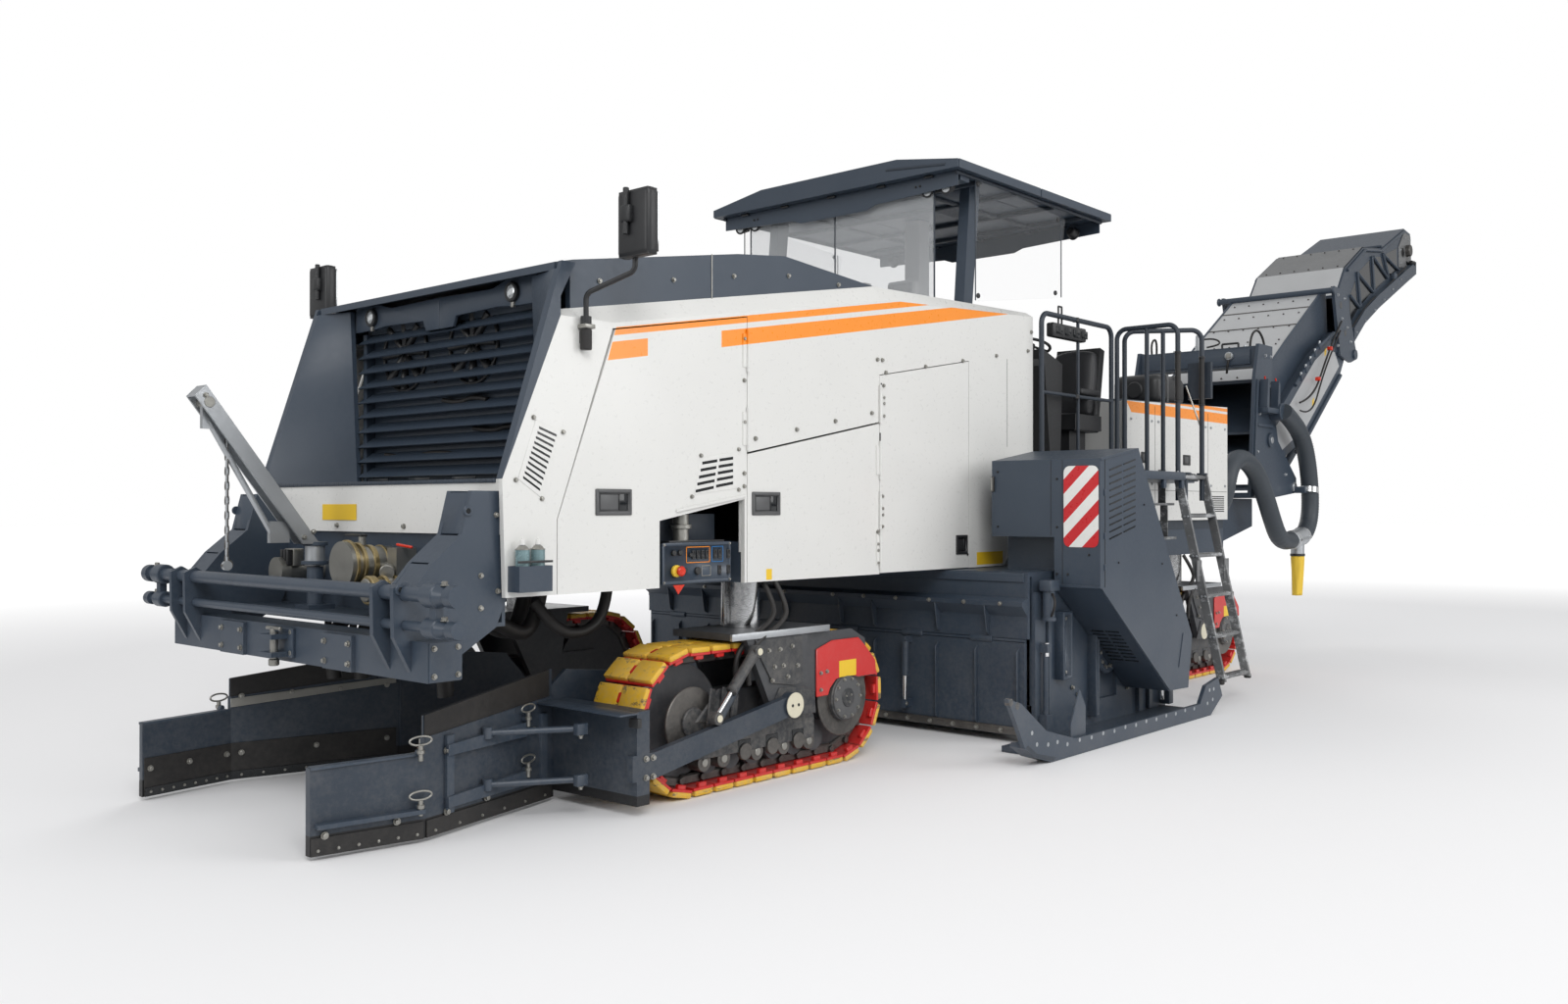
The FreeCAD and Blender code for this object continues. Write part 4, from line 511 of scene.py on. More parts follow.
def painted(
        name, colour, shine=0.38, dust=0.25, grain=140.0, mottle=0.05, metal=0.0, bump=0.0006, coat=0.0,
        pattern=None, chips=None):
    """A painted or plain surface; pattern names a group that lays a second colour over it first."""
    material, wires, shader = new_material(name)
    paint = rgb(colour)
    if pattern:
        group, values = pattern
        paint = placed(wires, group, **values)["Color"]
    if chips:
        amount, under = chips
        mask = placed(wires, "scuffs", Scale=9.0, Amount=amount)["Mask"]
        paint = wires.blend(mask, paint, rgb(under))
    skin = placed(
        wires, "worn_surface", Paint=paint, Dust_Amount=dust, Shine=shine, Grain=grain, Mottle=mottle)
    wires.link(skin["Color"], shader.inputs["Base Color"])
    wires.link(skin["Roughness"], shader.inputs["Roughness"])
    shader.inputs["Metallic"].default_value = metal
    shader.inputs["Coat Weight"].default_value = coat
    shader.inputs["Coat Roughness"].default_value = 0.12
    lift = wires.node("ShaderNodeBump")
    lift.inputs["Strength"].default_value = 0.5
    lift.inputs["Distance"].default_value = bump
    wires.link(skin["Height"], lift.inputs["Height"])
    wires.link(lift.outputs[0], shader.inputs["Normal"])
    return material, wires, shader, skin, lift


SLATE = (0.036, 0.052, 0.076)
WHITE = (0.71, 0.71, 0.69)
ORANGE = (0.92, 0.275, 0.01)
RED = (0.56, 0.012, 0.01)
YELLOW = (0.72, 0.42, 0.018)


def fill_finishes():
    """The finish of each material, made once."""
    surface_group()
    scuff_group()
    stripe_group()
    hazard_group()
    chequer_group()
    colours = bpy.context.scene.recycler_colours
    painted("slate", tuple(colours.slate), shine=0.4, dust=0.14, mottle=0.05, coat=0.06)
    painted("slate_dark", tuple(c * 0.6 for c in colours.slate), shine=0.48, dust=0.25, mottle=0.12)
    painted(
        "white", tuple(colours.white), shine=0.3, dust=0.1, mottle=0.02, coat=0.25,
        pattern=("hood_stripes", {"Paint": rgb(tuple(colours.white)), "Stripe": rgb(tuple(colours.stripe))}))
    painted("red", RED, shine=0.34, dust=0.15, mottle=0.06, coat=0.2)
    painted("cream", (0.66, 0.62, 0.48), shine=0.4, dust=0.2)
    painted("frame_black", (0.028, 0.031, 0.036), shine=0.45, dust=0.45, mottle=0.2)
    painted(
        "pad_yellow", YELLOW, shine=0.55, dust=0.55, mottle=0.18, grain=60.0, bump=0.002,
        chips=(0.9, (0.16, 0.11, 0.04)))
    painted("label_yellow", (0.8, 0.52, 0.02), shine=0.35, dust=0.05)
    painted("mast_grey", (0.3, 0.3, 0.3), shine=0.4, dust=0.05, grain=200.0)
    painted("duct_grey", (0.04, 0.05, 0.062), shine=0.5, dust=0.1, grain=90.0, mottle=0.1)
    painted("zinc", (0.34, 0.335, 0.31), shine=0.38, dust=0.25, metal=0.85, mottle=0.15)
    painted("brass", (0.42, 0.33, 0.17), shine=0.33, dust=0.2, metal=0.9, mottle=0.2)
    painted("galvanised", (0.46, 0.48, 0.5), shine=0.4, dust=0.15, metal=0.8, mottle=0.16, grain=40.0)
    painted("belt_cover", (0.52, 0.53, 0.54), shine=0.42, dust=0.1, metal=0.35, mottle=0.05)
    painted("cover_grey", (0.2, 0.205, 0.21), shine=0.4, dust=0.12, metal=0.45, mottle=0.08)
    painted(
        "speckled", (0.17, 0.175, 0.18), shine=0.5, dust=0.2, mottle=0.5, grain=20.0, metal=0.3,
        chips=(1.0, (0.4, 0.41, 0.42)))
    painted("chrome", (0.72, 0.73, 0.74), shine=0.1, dust=0.05, metal=1.0, mottle=0.02, bump=0.0001)
    painted("steel_dark", (0.11, 0.105, 0.1), shine=0.42, dust=0.35, metal=0.7, mottle=0.25)
    painted("carbide", (0.25, 0.24, 0.23), shine=0.3, dust=0.2, metal=0.9, mottle=0.2)
    painted("rubber", (0.013, 0.012, 0.012), shine=0.55, dust=0.07, mottle=0.2, grain=70.0, bump=0.001)
    painted("belt_rubber", (0.022, 0.022, 0.023), shine=0.62, dust=0.25, mottle=0.3, bump=0.002)
    painted("plastic", (0.016, 0.017, 0.019), shine=0.42, dust=0.12, grain=300.0, mottle=0.08)
    painted("seat_vinyl", (0.02, 0.021, 0.024), shine=0.48, dust=0.12, grain=220.0, bump=0.0012)
    painted("teal_can", (0.2, 0.3, 0.32), shine=0.25, dust=0.08, metal=0.3, mottle=0.04)
    painted("duct_yellow", (0.78, 0.52, 0.04), shine=0.6, dust=0.1, mottle=0.1, bump=0.002)
    painted("stop_red", (0.62, 0.03, 0.01), shine=0.25, dust=0.02)
    painted("handle_grey", (0.085, 0.087, 0.09), shine=0.42, dust=0.08, grain=260.0)
    # Near-black finish for display screens, and also for painted shade: flat dark plates that stand for the
    # shaded insides of vent slots, louvres, holes and gaps.
    painted("screen", (0.01, 0.012, 0.014), shine=0.08, dust=0.02)
    painted("orange_trim", tuple(colours.stripe), shine=0.3, dust=0.05)
    painted("blue_trim", (0.02, 0.16, 0.42), shine=0.3, dust=0.05)
    painted("warning_board", (0.8, 0.8, 0.8), shine=0.3, dust=0.08, pattern=(
        "hazard_bars", {"Light": rgb((0.78, 0.78, 0.76)), "Bar": rgb((0.55, 0.012, 0.018)), "Pitch": 0.205}))
    _, wires, shader, _, lift = painted(
        "chequer", tuple(c * 0.8 for c in colours.slate), shine=0.42, dust=0.3)
    bars = placed(wires, "chequer_bars", Size=0.034)["Height"]
    wires.link(bars, lift.inputs["Height"])
    lift.inputs["Distance"].default_value = 0.004
    lift.inputs["Strength"].default_value = 1.0
    # The glass is a grey diffuse layer at partial alpha, a painted reflection: a pale haze on the front panes
    # and almost none on the side panes.
    _, wires, shader = new_material("glass")
    shader.inputs["Base Color"].default_value = (0.62, 0.64, 0.66, 1)
    shader.inputs["Roughness"].default_value = 0.04
    shader.inputs["IOR"].default_value = 1.1
    place = wires.node("ShaderNodeSeparateXYZ")
    wires.link(wires.node("ShaderNodeTexCoord").outputs["Object"], place.inputs[0])
    sideways = wires.calc("GREATER_THAN", wires.calc("ABSOLUTE", place.outputs["Y"]), 1.15)
    wires.link(wires.range(sideways, 0.0, 1.0, 0.3, 0.05), shader.inputs["Alpha"])
    _, wires, shader = new_material("lens")
    shader.inputs["Base Color"].default_value = (0.75, 0.78, 0.8, 1)
    shader.inputs["Roughness"].default_value = 0.12
    shader.inputs["Metallic"].default_value = 0.55
    shader.inputs["Coat Weight"].default_value = 1.0
    _, wires, shader = new_material("mirror_glass")
    shader.inputs["Base Color"].default_value = (0.75, 0.77, 0.78, 1)
    shader.inputs["Roughness"].default_value = 0.03
    shader.inputs["Metallic"].default_value = 1.0
    by_height("undercarriage_finish")
    by_height("blade_finish")


def by_height(name):
    """Two parts whose upper or lower end has another finish."""
    _, wires, shader, skin, _ = painted(name, (0.046, 0.049, 0.055), shine=0.45, dust=0.14, mottle=0.06)
    place = wires.node("ShaderNodeSeparateXYZ")
    wires.link(wires.node("ShaderNodeTexCoord").outputs["Object"], place.inputs[0])
    z = place.outputs["Z"]
    if name == "undercarriage_finish":
        column = wires.calc("GREATER_THAN", z, 0.907)
        wires.link(wires.blend(column, skin["Color"], rgb((0.66, 0.67, 0.68))), shader.inputs["Base Color"])
        wires.link(column, shader.inputs["Metallic"])
        rough = wires.calc("SUBTRACT", skin["Roughness"], wires.calc("MULTIPLY", column, 0.3), clamp=True)
        wires.link(rough, shader.inputs["Roughness"])
    else:
        strip = wires.calc("LESS_THAN", z, 0.115)
        colour = wires.blend(strip, skin["Color"], rgb((0.01, 0.01, 0.011)))
        wires.link(colour, shader.inputs["Base Color"])
        for link in list(wires.tree.links):
            if link.to_socket.name == "Paint":
                wires.tree.links.remove(link)
        for node in wires.tree.nodes:
            if node.type == "GROUP":
                node.inputs["Paint"].default_value = rgb(tuple(
                    c * 0.72 for c in bpy.context.scene.recycler_colours.slate))


def finish_of(name):
    return FINISHES[name]


NODE_FINISH = {
    "chassis_frame": "slate", "engine_block": "steel_dark", "hood_top": "slate", "hood_rear_deck": "white",
    "body_panels": "white", "front_cheeks": "slate", "radiator_grille": "slate", "front_apron": "white",
    "control_boxes": "slate_dark", "front_frame": "slate", "push_bars": "slate", "front_couplings": "zinc",
    "davit_arm": "galvanised", "mirrors": "plastic", "spray_can_tray": "slate", "drum_housing": "slate",
    "front_flap": "slate", "milling_rotor": "steel_dark", "scraper_blade": "slate", "side_housings": "slate",
    "rear_body": "slate_dark", "rear_hood": "white", "platform_deck": "slate", "handrails": "slate_dark",
    "ladders": "speckled", "operator_stations": "plastic", "canopy": "slate", "windows": "glass",
    "slew_frame": "slate", "conveyor_boom": "slate", "conveyor_head": "slate",
    "luff_ram_barrels": "slate_dark", "luff_ram_rods": "chrome", "machine_duct": "duct_grey",
    "conveyor_duct": "duct_grey"}
for side_name, _ in SIDES:
    for door in ("front", "middle", "rear"):
        NODE_FINISH[f"{side_name}_{door}_door"] = "white"
    NODE_FINISH[f"{side_name}_front_blade"] = "blade_finish"
    NODE_FINISH[f"{side_name}_side_plate"] = "slate"
    for end in ("front", "rear"):
        NODE_FINISH[f"{end}_{side_name}_track"] = "pad_yellow"
        NODE_FINISH[f"{end}_{side_name}_undercarriage"] = "undercarriage_finish"


def track_places(centre_x, count):
    """Where each shoe sits round its loop: a place whose local Z points outwards."""
    base, centre_z, ring = 1.33, 0.425, 0.385
    length = 2 * base + 2 * math.pi * ring
    places = []
    for index in range(count):
        travel = length * (index + 0.5) / count
        if travel < base:
            x, z, turn = travel - base / 2, -ring, 0.0
        elif travel < base + math.pi * ring:
            turn = (travel - base) / ring
            x, z = base / 2 + ring * math.sin(turn), -ring * math.cos(turn)
        elif travel < 2 * base + math.pi * ring:
            x, z, turn = base / 2 - (travel - base - math.pi * ring), ring, math.pi
        else:
            turn = math.pi + (travel - 2 * base - math.pi * ring) / ring
            x, z = -base / 2 + ring * math.sin(turn), -ring * math.cos(turn)
        spin = Matrix.Rotation(math.pi - turn, 4, "Y")
        places.append(Matrix.Translation((centre_x - MIDDLE + x, 0, centre_z + z)) @ spin)
    return places


def crawler_tracks():
    """Chain links, red shoe plates and yellow pads of every crawler."""
    half = 0.198
    for end in ("front", "rear"):
        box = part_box(f"{end}_left_track")
        centre_x = (box[0].x + box[1].x) / 2 + MIDDLE
        for name, side in SIDES:
            y = side * 1.158
            places = [Matrix.Translation((0, y, 0)) @ place for place in track_places(centre_x, 30)]
            pads = []
            for low, high in ((-half, -0.006), (0.006, half)):
                put(pads, "pad_yellow", block(
                    Vector((-0.074, low, 0.002)), Vector((0.074, high, 0.0363)), 0.011, 2))
            plate = dress(
                block(
                    Vector((-0.079, -half + 0.004, -0.012)), Vector((0.079, half - 0.004, 0.006)), 0.003, 1),
                "red")
            lug = dress(block(Vector((-0.03, -0.02, 0.0)), Vector((0.03, 0.02, 0.034)), 0.004, 1), "red")
            shoe = copies(together(pads + [plate, lug]), places)
            chain = []
            for inner in (-0.085, 0.05):
                chain.append(block(
                    Vector((-0.088, inner, -0.07)), Vector((0.07, inner + 0.035, -0.01)), 0.01, 1))
            chain.append(rod(
                Vector((0.082, -0.105, -0.042)), Vector((0.082, 0.105, -0.042)), 0.021, 10, 0.002))
            for link in chain:
                dress(link, "steel_dark")
            links = copies(together(chain), places)
            teeth = []
            for edge in (-half + 0.012, half - 0.04):
                put(teeth, "red", block(
                    Vector((-0.03, edge, -0.036)), Vector((0.03, edge + 0.028, -0.008)), 0.004, 1))
            lugs = copies(together(teeth), places)
            body = f"{end}_{name}_crawler"
            whole = piece(f"{end}_{name}_shoes", body, [shoe, links, lugs])
            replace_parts(whole, f"{end}_{name}_track")


class RECYCLER_OT_crawler_tracks(Step, bpy.types.Operator):
    """Chain links, red plates and yellow pads round each crawler"""

    bl_idname = "recycler.crawler_tracks"
    bl_label = "Crawler tracks"
    work = (crawler_tracks,)


# ---------------------------------------------------------------- hood

def pair(name, body, objects):
    """Joins the left side's objects, mirrors them, and lets each side ride its own body."""
    whole = together(list(objects))
    twin = mirrored(whole)
    if "{}" in body:
        piece(f"left_{name}", body.format("left"), [whole])
        piece(f"right_{name}", body.format("right"), [twin])
    else:
        piece(name, body, [whole, twin])


def dish(obj, direction, rim, depth):
    """Sinks the faces that look along the direction, leaving a rim round them."""
    direction = Vector(direction)
    pick(obj)
    bpy.ops.object.mode_set(mode="EDIT")
    bpy.ops.mesh.select_all(action="DESELECT")
    bpy.ops.object.mode_set(mode="OBJECT")
    for face in obj.data.polygons:
        face.select = face.normal.dot(direction) > 0.95
    bpy.ops.object.mode_set(mode="EDIT")
    bpy.ops.mesh.inset(thickness=rim, use_boundary=True)
    bpy.ops.mesh.extrude_region_move(TRANSFORM_OT_translate={"value": direction * -depth})
    bpy.ops.object.mode_set(mode="OBJECT")
    return obj


def flank(x, z, out=0.0):
    """A point on the left side of the hood, or proud of it."""
    return at(x, -HALF - out, z)


def flank_plate(corners, proud, edge=0.0015):
    """A thin plate on the left side of the hood."""
    return sheet_metal([flank(x, z) for x, z in corners], (0, -proud, 0), edge)


def latch(x, z, width, height, finish):
    """A recessed pull: bezel, sunk tray and the flap the fingers lift."""
    bezel = dish(block(flank(x, z, -0.002), flank(x + width, z + height, 0.01), 0.007, 3), LEFT, 0.016, 0.009)
    flap = block(flank(x + 0.03, z + 0.03, 0.0), flank(x + width * 0.62, z + height - 0.03, 0.007), 0.005, 2)
    # The lip is a dark plate of painted shade inside the pull's recess.
    lip = block(
        flank(x + width * 0.66, z + 0.026, 0.0), flank(x + width - 0.026, z + height - 0.026, 0.004), 0.003)
    hinge = rod(
        flank(x + width * 0.64, z + 0.028, 0.006), flank(x + width * 0.64, z + height - 0.028, 0.006), 0.004,
        8)
    return [dress(bezel, finish), dress(flap, finish), dress(lip, "screen"), dress(hinge, "plastic")]


def slots(rows, start, end, height):
    """Dark slots on the flank, flat plates of painted shade; start and end each give a slot's two ends in the
    first and the last row.
    """
    made = []
    for row in range(rows):
        share = row / (rows - 1)
        low = Vector(start[0]).lerp(Vector(start[1]), share)
        high = Vector(end[0]).lerp(Vector(end[1]), share)
        up = height / 2
        made.append(flank_plate(
            [(low.x, low.y - up), (high.x, high.y - up), (high.x, high.y + up), (low.x, low.y + up)], 0.0045,
            0.001))
    return [dress(slot, "screen") for slot in made]


def hood_flanks():
    """Pulls, vents, hinge leaves, bolts and blank labels on the doors and panels."""
    pull, bolt = 0.142, 0.0105
    vent = flank_plate([(0.205, 1.712), (0.25, 1.925), (0.566, 1.974), (0.566, 1.752)], 0.003)
    vent_slots = slots(5, ((0.267, 1.894), (0.213, 1.731)), ((0.391, 1.912), (0.362, 1.756)), 0.017)
    vent_slots += slots(5, ((0.41, 1.916), (0.381, 1.762)), ((0.525, 1.931), (0.525, 1.784)), 0.017)
    vent_bolts = bolts(
        [flank(x, z) for x, z in ((0.258, 1.938), (0.575, 1.985), (0.185, 1.7), (0.575, 1.744))], LEFT, 0.01)
    hood = [flank_plate([(0.06, 1.61), (0.628, 1.7), (0.628, 1.716), (0.06, 1.626)], 0.012)]
    edge_bolts = bolts([flank(0.623, z) for z in (1.843, 1.765, 2.15, 2.4, 2.65)], LEFT, bolt)
    door = [
        dress(vent, "white"), vent_bolts, edge_bolts] + vent_slots + [dress(item, "white") for item in hood]
    pair(
        "front_door_trim", "{}_front_door_leaf", door + latch(-0.532, 1.595, 0.255, pull, "handle_grey"))
    middle = latch(0.691, 1.591, 0.255, pull, "handle_grey")
    put(middle, "label_yellow", flank_plate(rect(0.821, 1.196, 0.873, 1.262), 0.0015))
    middle.append(bolts([flank(1.943, z) for z in (1.474, 1.392, 1.349, 1.265)], LEFT, bolt))
    pair("middle_door_trim", "{}_middle_door_leaf", middle)
    rear = latch(2.89, 1.295, 0.15, pull, "plastic")
    rear.append(bolts([flank(1.994, z) for z in (1.714, 1.632, 1.589, 1.51)], LEFT, bolt))
    rear.append(bolts([flank(2.009, z) for z in (2.469, 2.387, 2.347, 2.262)], LEFT, bolt))
    pair("rear_door_trim", "{}_rear_door_leaf", rear)
    fixed = [bolts(
        [flank(x, 2.055 + 0.19 * (x - 0.722)) for x in (0.722, 1.104, 1.488, 1.877)], LEFT, 0.0115)]
    fixed.append(bolts(
        [flank(x, 2.64 + 0.172 * (x - 2.503)) for x in (2.034, 2.503, 2.979, 3.442, 3.909)], LEFT, 0.0115))
    fixed.append(bolts(
        [flank(x, z) for x, z in ((1.94, 2.64), (1.995, 2.642), (3.962, 3.036))], LEFT, 0.0115))
    for x, low, high in ((1.972, 1.905, 2.146), (1.985, 2.222, 2.485)):
        put(fixed, "plastic", block(flank(x - 0.006, low, -0.001), flank(x + 0.006, high, 0.003), 0.0015))
    several(
        fixed, flank_plate,
        ("label_yellow", rect(3.17, 1.21, 3.535, 1.305), 0.0015),
        ("white", [(-1.035, 1.78), (-0.925, 2.085), (-0.762, 2.032), (-0.895, 1.69)], 0.003))
    fixed += slots(11, ((-0.905, 2.045), (-1.004, 1.79)), ((-0.793, 2.008), (-0.898, 1.727)), 0.013)
    fixed.append(bolts(
        [flank(x, z) for x, z in ((-0.938, 2.095), (-0.748, 2.028), (-1.048, 1.775), (-0.885, 1.682))], LEFT,
        0.01))
    put(fixed, "plastic", side_plate_at(rect(3.6, 2.11, 3.604, 2.79), -HALF, -0.001, 0))
    pair("hood_trim", "machine", fixed)


def hood_roof():
    """Front edge folds, seam lines, lifting eyes and the exhaust cover on the dark hood."""
    made = []
    inner = -(HALF - 0.063)
    put(made, "zinc", sheet_metal(
        [(0.408, inner, 2.86), (0.416, inner, 2.86), (0.416, inner, 3.135), (0.408, inner, 3.135)],
        (0, -0.002, 0), 0))
    made.append(bolts(
        [(x, inner, z) for x, z in ((-0.45, 2.86), (0.1, 2.94), (0.6, 3.03), (1.1, 3.1), (1.6, 3.11))], LEFT,
        0.011))
    pair("hood_wall_trim", "machine", made)
    roof = []
    put(roof, "slate", block((0.62, -0.42, 3.165), (1.02, 0.42, 3.205), 0.012, 3))
    for y in (-0.9, 0.9):
        put(roof, "zinc", hose(
            [(1.35, y, 3.19), (1.33, y, 3.26), (1.42, y, 3.3), (1.51, y, 3.26), (1.49, y, 3.19)], 0.012, 8))
    grate = [
        dress(
            block((1.3 + 0.07 * step, -0.5, 3.185), (1.33 + 0.07 * step, 0.5, 3.212), 0.003, 1), "slate_dark")
        for step in range(8)]
    piece("hood_roof_trim", "machine", roof + grate)


class RECYCLER_OT_hood_flanks(Step, bpy.types.Operator):
    """Pulls, vents, hinges, bolts and blank labels along the hood"""

    bl_idname = "recycler.hood_flanks"
    bl_label = "Hood flanks"
    work = (hood_flanks, hood_roof)


def hood_front():
    """The scalloped header, its lamps, the fans behind the louvres and the foot of the grille, whose slots
    are dark plates of painted shade.
    """
    front = -0.64
    upper = [(0.93, 2.905), (0.7, 2.915), (0.52, 2.868), (0.0, 2.876)]
    lower = [(0.0, 2.69), (0.14, 2.692), (0.17, 2.752), (0.58, 2.762), (0.7, 2.752), (0.93, 2.748)]
    half = upper + lower
    left = sheet_metal([(front, -y, z) for y, z in half], (-0.022, 0, 0), 0.004, 2)
    right = mirrored(left)
    header = [dress(left, "slate"), dress(right, "slate")]
    for side in (-1, 1):
        y = side * 0.723
        place = at(-0.668, y, 2.826)
        bowl = rod(place + Vector((0.03, 0, 0)), place + Vector((-0.022, 0, 0)), 0.056, 28, 0.006)
        dish(bowl, AHEAD, 0.01, 0.008)
        lens = rod(place + Vector((-0.004, 0, 0)), place + Vector((-0.019, 0, 0)), 0.045, 28, 0.004, 0.038)
        fins = block(
            place + Vector((0.01, side * 0.055 - 0.02, -0.045)),
            place + Vector((0.05, side * 0.055 + 0.02, -0.005)), 0.003)
        stay = block(place + Vector((-0.008, -0.012, -0.085)), place + Vector((0.012, 0.012, -0.05)), 0.003)
        header += [dress(bowl, "plastic"), dress(lens, "lens"), dress(fins, "plastic"), dress(stay, "zinc")]
    for y in (-0.2, 0.52):
        hub = rod((-0.54, y, 2.6), (-0.575, y, 2.6), 0.055, 20)
        ring = hose([
            (-0.56, y + 0.24 * math.cos(t * math.pi / 8), 2.6 + 0.24 * math.sin(t * math.pi / 8))
            for t in range(16)], 0.012, 8, closed=True)
        blades = [
            rod(
                (-0.56, y, 2.6), (-0.56, y + 0.23 * math.cos(t), 2.6 + 0.23 * math.sin(t)), 0.018, 8, 0.004,
                0.032)
            for t in [index * math.pi / 4 for index in range(8)]]
        for item in [hub, ring] + blades:
            put(header, "plastic", item)
    # The slots in the foot of the grille are flat dark plates of painted shade.
    for index in range(4):
        low = -0.72 + 0.46 * index
        put(header, "screen", block((-0.652, low - 0.09, 1.795), (-0.645, low + 0.14, 1.818), 0.002))
    for y, z, reach in ((-0.5, 2.08, 0.26), (0.3, 1.95, 0.4), (-0.15, 2.26, 0.22), (0.45, 2.4, 0.3)):
        line = [
            at(-0.585, y - reach, z), at(-0.58, y - reach / 3, z + 0.03), at(-0.578, y + reach / 3, z - 0.01),
            at(-0.585, y + reach, z + 0.02)]
        put(header, "rubber", hose(line, 0.014, 8))
    piece("hood_front_trim", "machine", header)
    cheeks = []
    inset = 0.028
    put(cheeks, "slate", rod((-1.105 + inset, -1.215, 1.8), (-0.8 + inset, -1.215, 2.83), 0.007, 8, 0.001))
    pair("cheek_ridges", "machine", cheeks)


def apron_trim():
    """Blank labels on the white cross panel, the chequer strip over it and its bolts."""
    face = -1.111
    made = []
    for low, high, finish in ((0.141, 0.517, "label_yellow"), (0.985, 1.085, "label_yellow")):
        put(made, finish, block((face, low, 1.565), (face - 0.003, high, 1.657), 0.001, 1))
    strip = dress(block((-1.118, -1.18, 1.762), (-0.72, 1.18, 1.784), 0.003), "chequer")
    made.append(strip)
    made.append(bolts([(face, side * y, 1.535) for side in (-1, 1) for y in (0.35, 0.8, 1.12)], AHEAD, 0.011))
    piece("apron_trim", "machine", made)


class RECYCLER_OT_hood_front(Step, bpy.types.Operator):
    """Header, lamps, fans, hoses and labels at the front of the hood"""

    bl_idname = "recycler.hood_front"
    bl_label = "Hood front"
    work = (hood_front, apron_trim)


# ---------------------------------------------------------------- small fittings of the sides

def control_panels():
    """The ground-level control panels: bezel, rockers in their coloured frames, knobs and the stop button."""
    stop_z = 1.276
    face = -(HALF - 0.045)
    low, high = (-0.013, 1.2), (0.545, 1.437)

    def on(x, z, out=0.0):
        return at(x, face - out, z)

    made = []
    put(made, "slate", dish(
        block(on(low[0], low[1], 0.0), on(high[0], high[1], 0.012), 0.004), LEFT, 0.014, 0.004))
    rockers = [(x, 1.364) for x in (0.232, 0.268, 0.304, 0.34, 0.408, 0.446, 0.522)]
    rockers += [(0.446, 1.272), (0.522, 1.272)]
    for x, z in rockers:
        put(made, "plastic", dish(
            block(on(x - 0.013, z - 0.026, 0.008), on(x + 0.013, z + 0.026, 0.018), 0.003), LEFT, 0.003,
            0.003))
    for x0, x1, z0, z1, finish in (
            (0.175, 0.368, 1.318, 1.411, "orange_trim"), (0.384, 0.48, 1.318, 1.411, "blue_trim"),
            (0.3, 0.375, 1.238, 1.3, "zinc")):
        for a, b in (
                ((x0, z0), (x1, z0 + 0.004)), ((x0, z1 - 0.004), (x1, z1)), ((x0, z0), (x0 + 0.004, z1)),
                ((x1 - 0.004, z0), (x1, z1))):
            put(made, finish, block(on(a[0], a[1], 0.009), on(b[0], b[1], 0.011), 0.0005, 1))
    for x, z, size in (
            (0.072, 1.378, 0.016), (0.122, 1.378, 0.016), (0.16, stop_z, 0.015), (0.262, 1.272, 0.022),
            (0.205, 1.364, 0.012)):
        put(made, "plastic", rod(on(x, z, 0.008), on(x, z, 0.026), size, 20, 0.003))
    several(
        made, rod,
        ("duct_yellow", on(0.085, stop_z, 0.008), on(0.085, stop_z, 0.038), 0.034, 28, 0.008),
        ("stop_red", on(0.095, stop_z, 0.036), on(0.095, stop_z, 0.066), 0.026, 28, 0.008, 0.03))
    put(made, "slate_dark", block(on(low[0] - 0.02, 1.44, -0.14), on(0.55, 1.6, -0.13), 0.003))
    several(
        made, rod,
        ("zinc", on(0.2, 1.445, -0.06), on(0.2, 1.6, -0.06), 0.045, 24),
        ("zinc", on(0.2, 1.515, -0.06), on(0.2, 1.54, -0.06), 0.062, 24))
    put(made, "plastic", block(on(0.05, 1.435, -0.04), on(0.5, 1.448, 0.0), 0.002))
    put(made, "stop_red", sheet_metal(
        [on(0.073, 1.195, 0.006), on(0.164, 1.195, 0.006), on(0.113, 1.14, 0.006)], (0, -0.006, 0), 0.002))
    made.append(bolts(
        [on(x, z, 0.012) for x in (low[0] + 0.012, high[0] - 0.012) for z in (1.212, 1.425)], LEFT, 0.006))
    pair("control_panel", "machine", made)


def spray_cans():
    """Bodies, caps, collars and white tops of the two spray cans, and the tray's clip."""
    made = []
    y = -(HALF + 0.046)
    for x in (-1.04, -0.945):
        several(
            made, rod,
            ("teal_can", (x, y, 1.225), (x, y, 1.43), 0.036, 32, 0.004),
            ("zinc", (x, y, 1.428), (x, y, 1.448), 0.034, 32, 0.003, 0.018),
            ("zinc", (x, y, 1.424), (x, y, 1.431), 0.0375, 32, 0.002),
            ("white", (x, y, 1.446), (x, y, 1.478), 0.013, 20, 0.003, 0.011),
            ("white", (x, y, 1.476), (x, y, 1.486), 0.006, 12))
    put(made, "plastic", block((-1.1, y - 0.046, 1.36), (-0.885, y - 0.042, 1.372), 0.001))
    piece("spray_cans", "machine", made)


def mirror_heads():
    """Rounded mirror shells, their glass, pivots and rubber boots."""
    made = []
    several(
        made, block,
        ("plastic", (-0.568, -1.712, 2.925), (-0.487, -1.468, 3.275), 0.028, 4),
        ("mirror_glass", (-0.49, -1.7, 2.945), (-0.482, -1.48, 3.255), 0.003),
        ("plastic", (-0.6, -1.6, 3.1), (-0.56, -1.53, 3.19), 0.012, 3))
    put(made, "plastic", rod((-0.582, -1.56, 3.04), (-0.582, -1.56, 3.28), 0.016, 16))
    put(made, "zinc", block((-0.655, -HALF - 0.066, 2.575), (-0.585, -HALF - 0.002, 2.598), 0.004))
    put(made, "rubber", rod((-0.62, -HALF - 0.03, 2.465), (-0.62, -HALF - 0.03, 2.57), 0.031, 20))
    made.append(bolts([(-0.6, -HALF - 0.003, z) for z in (2.508, 2.552)], LEFT, 0.008))
    pair("mirror_heads", "machine", made)


class RECYCLER_OT_side_fittings(Step, bpy.types.Operator):
    """Control panels, spray cans and mirrors"""

    bl_idname = "recycler.side_fittings"
    bl_label = "Side fittings"
    work = (control_panels, spray_cans, mirror_heads)


# ---------------------------------------------------------------- front frame and its fittings

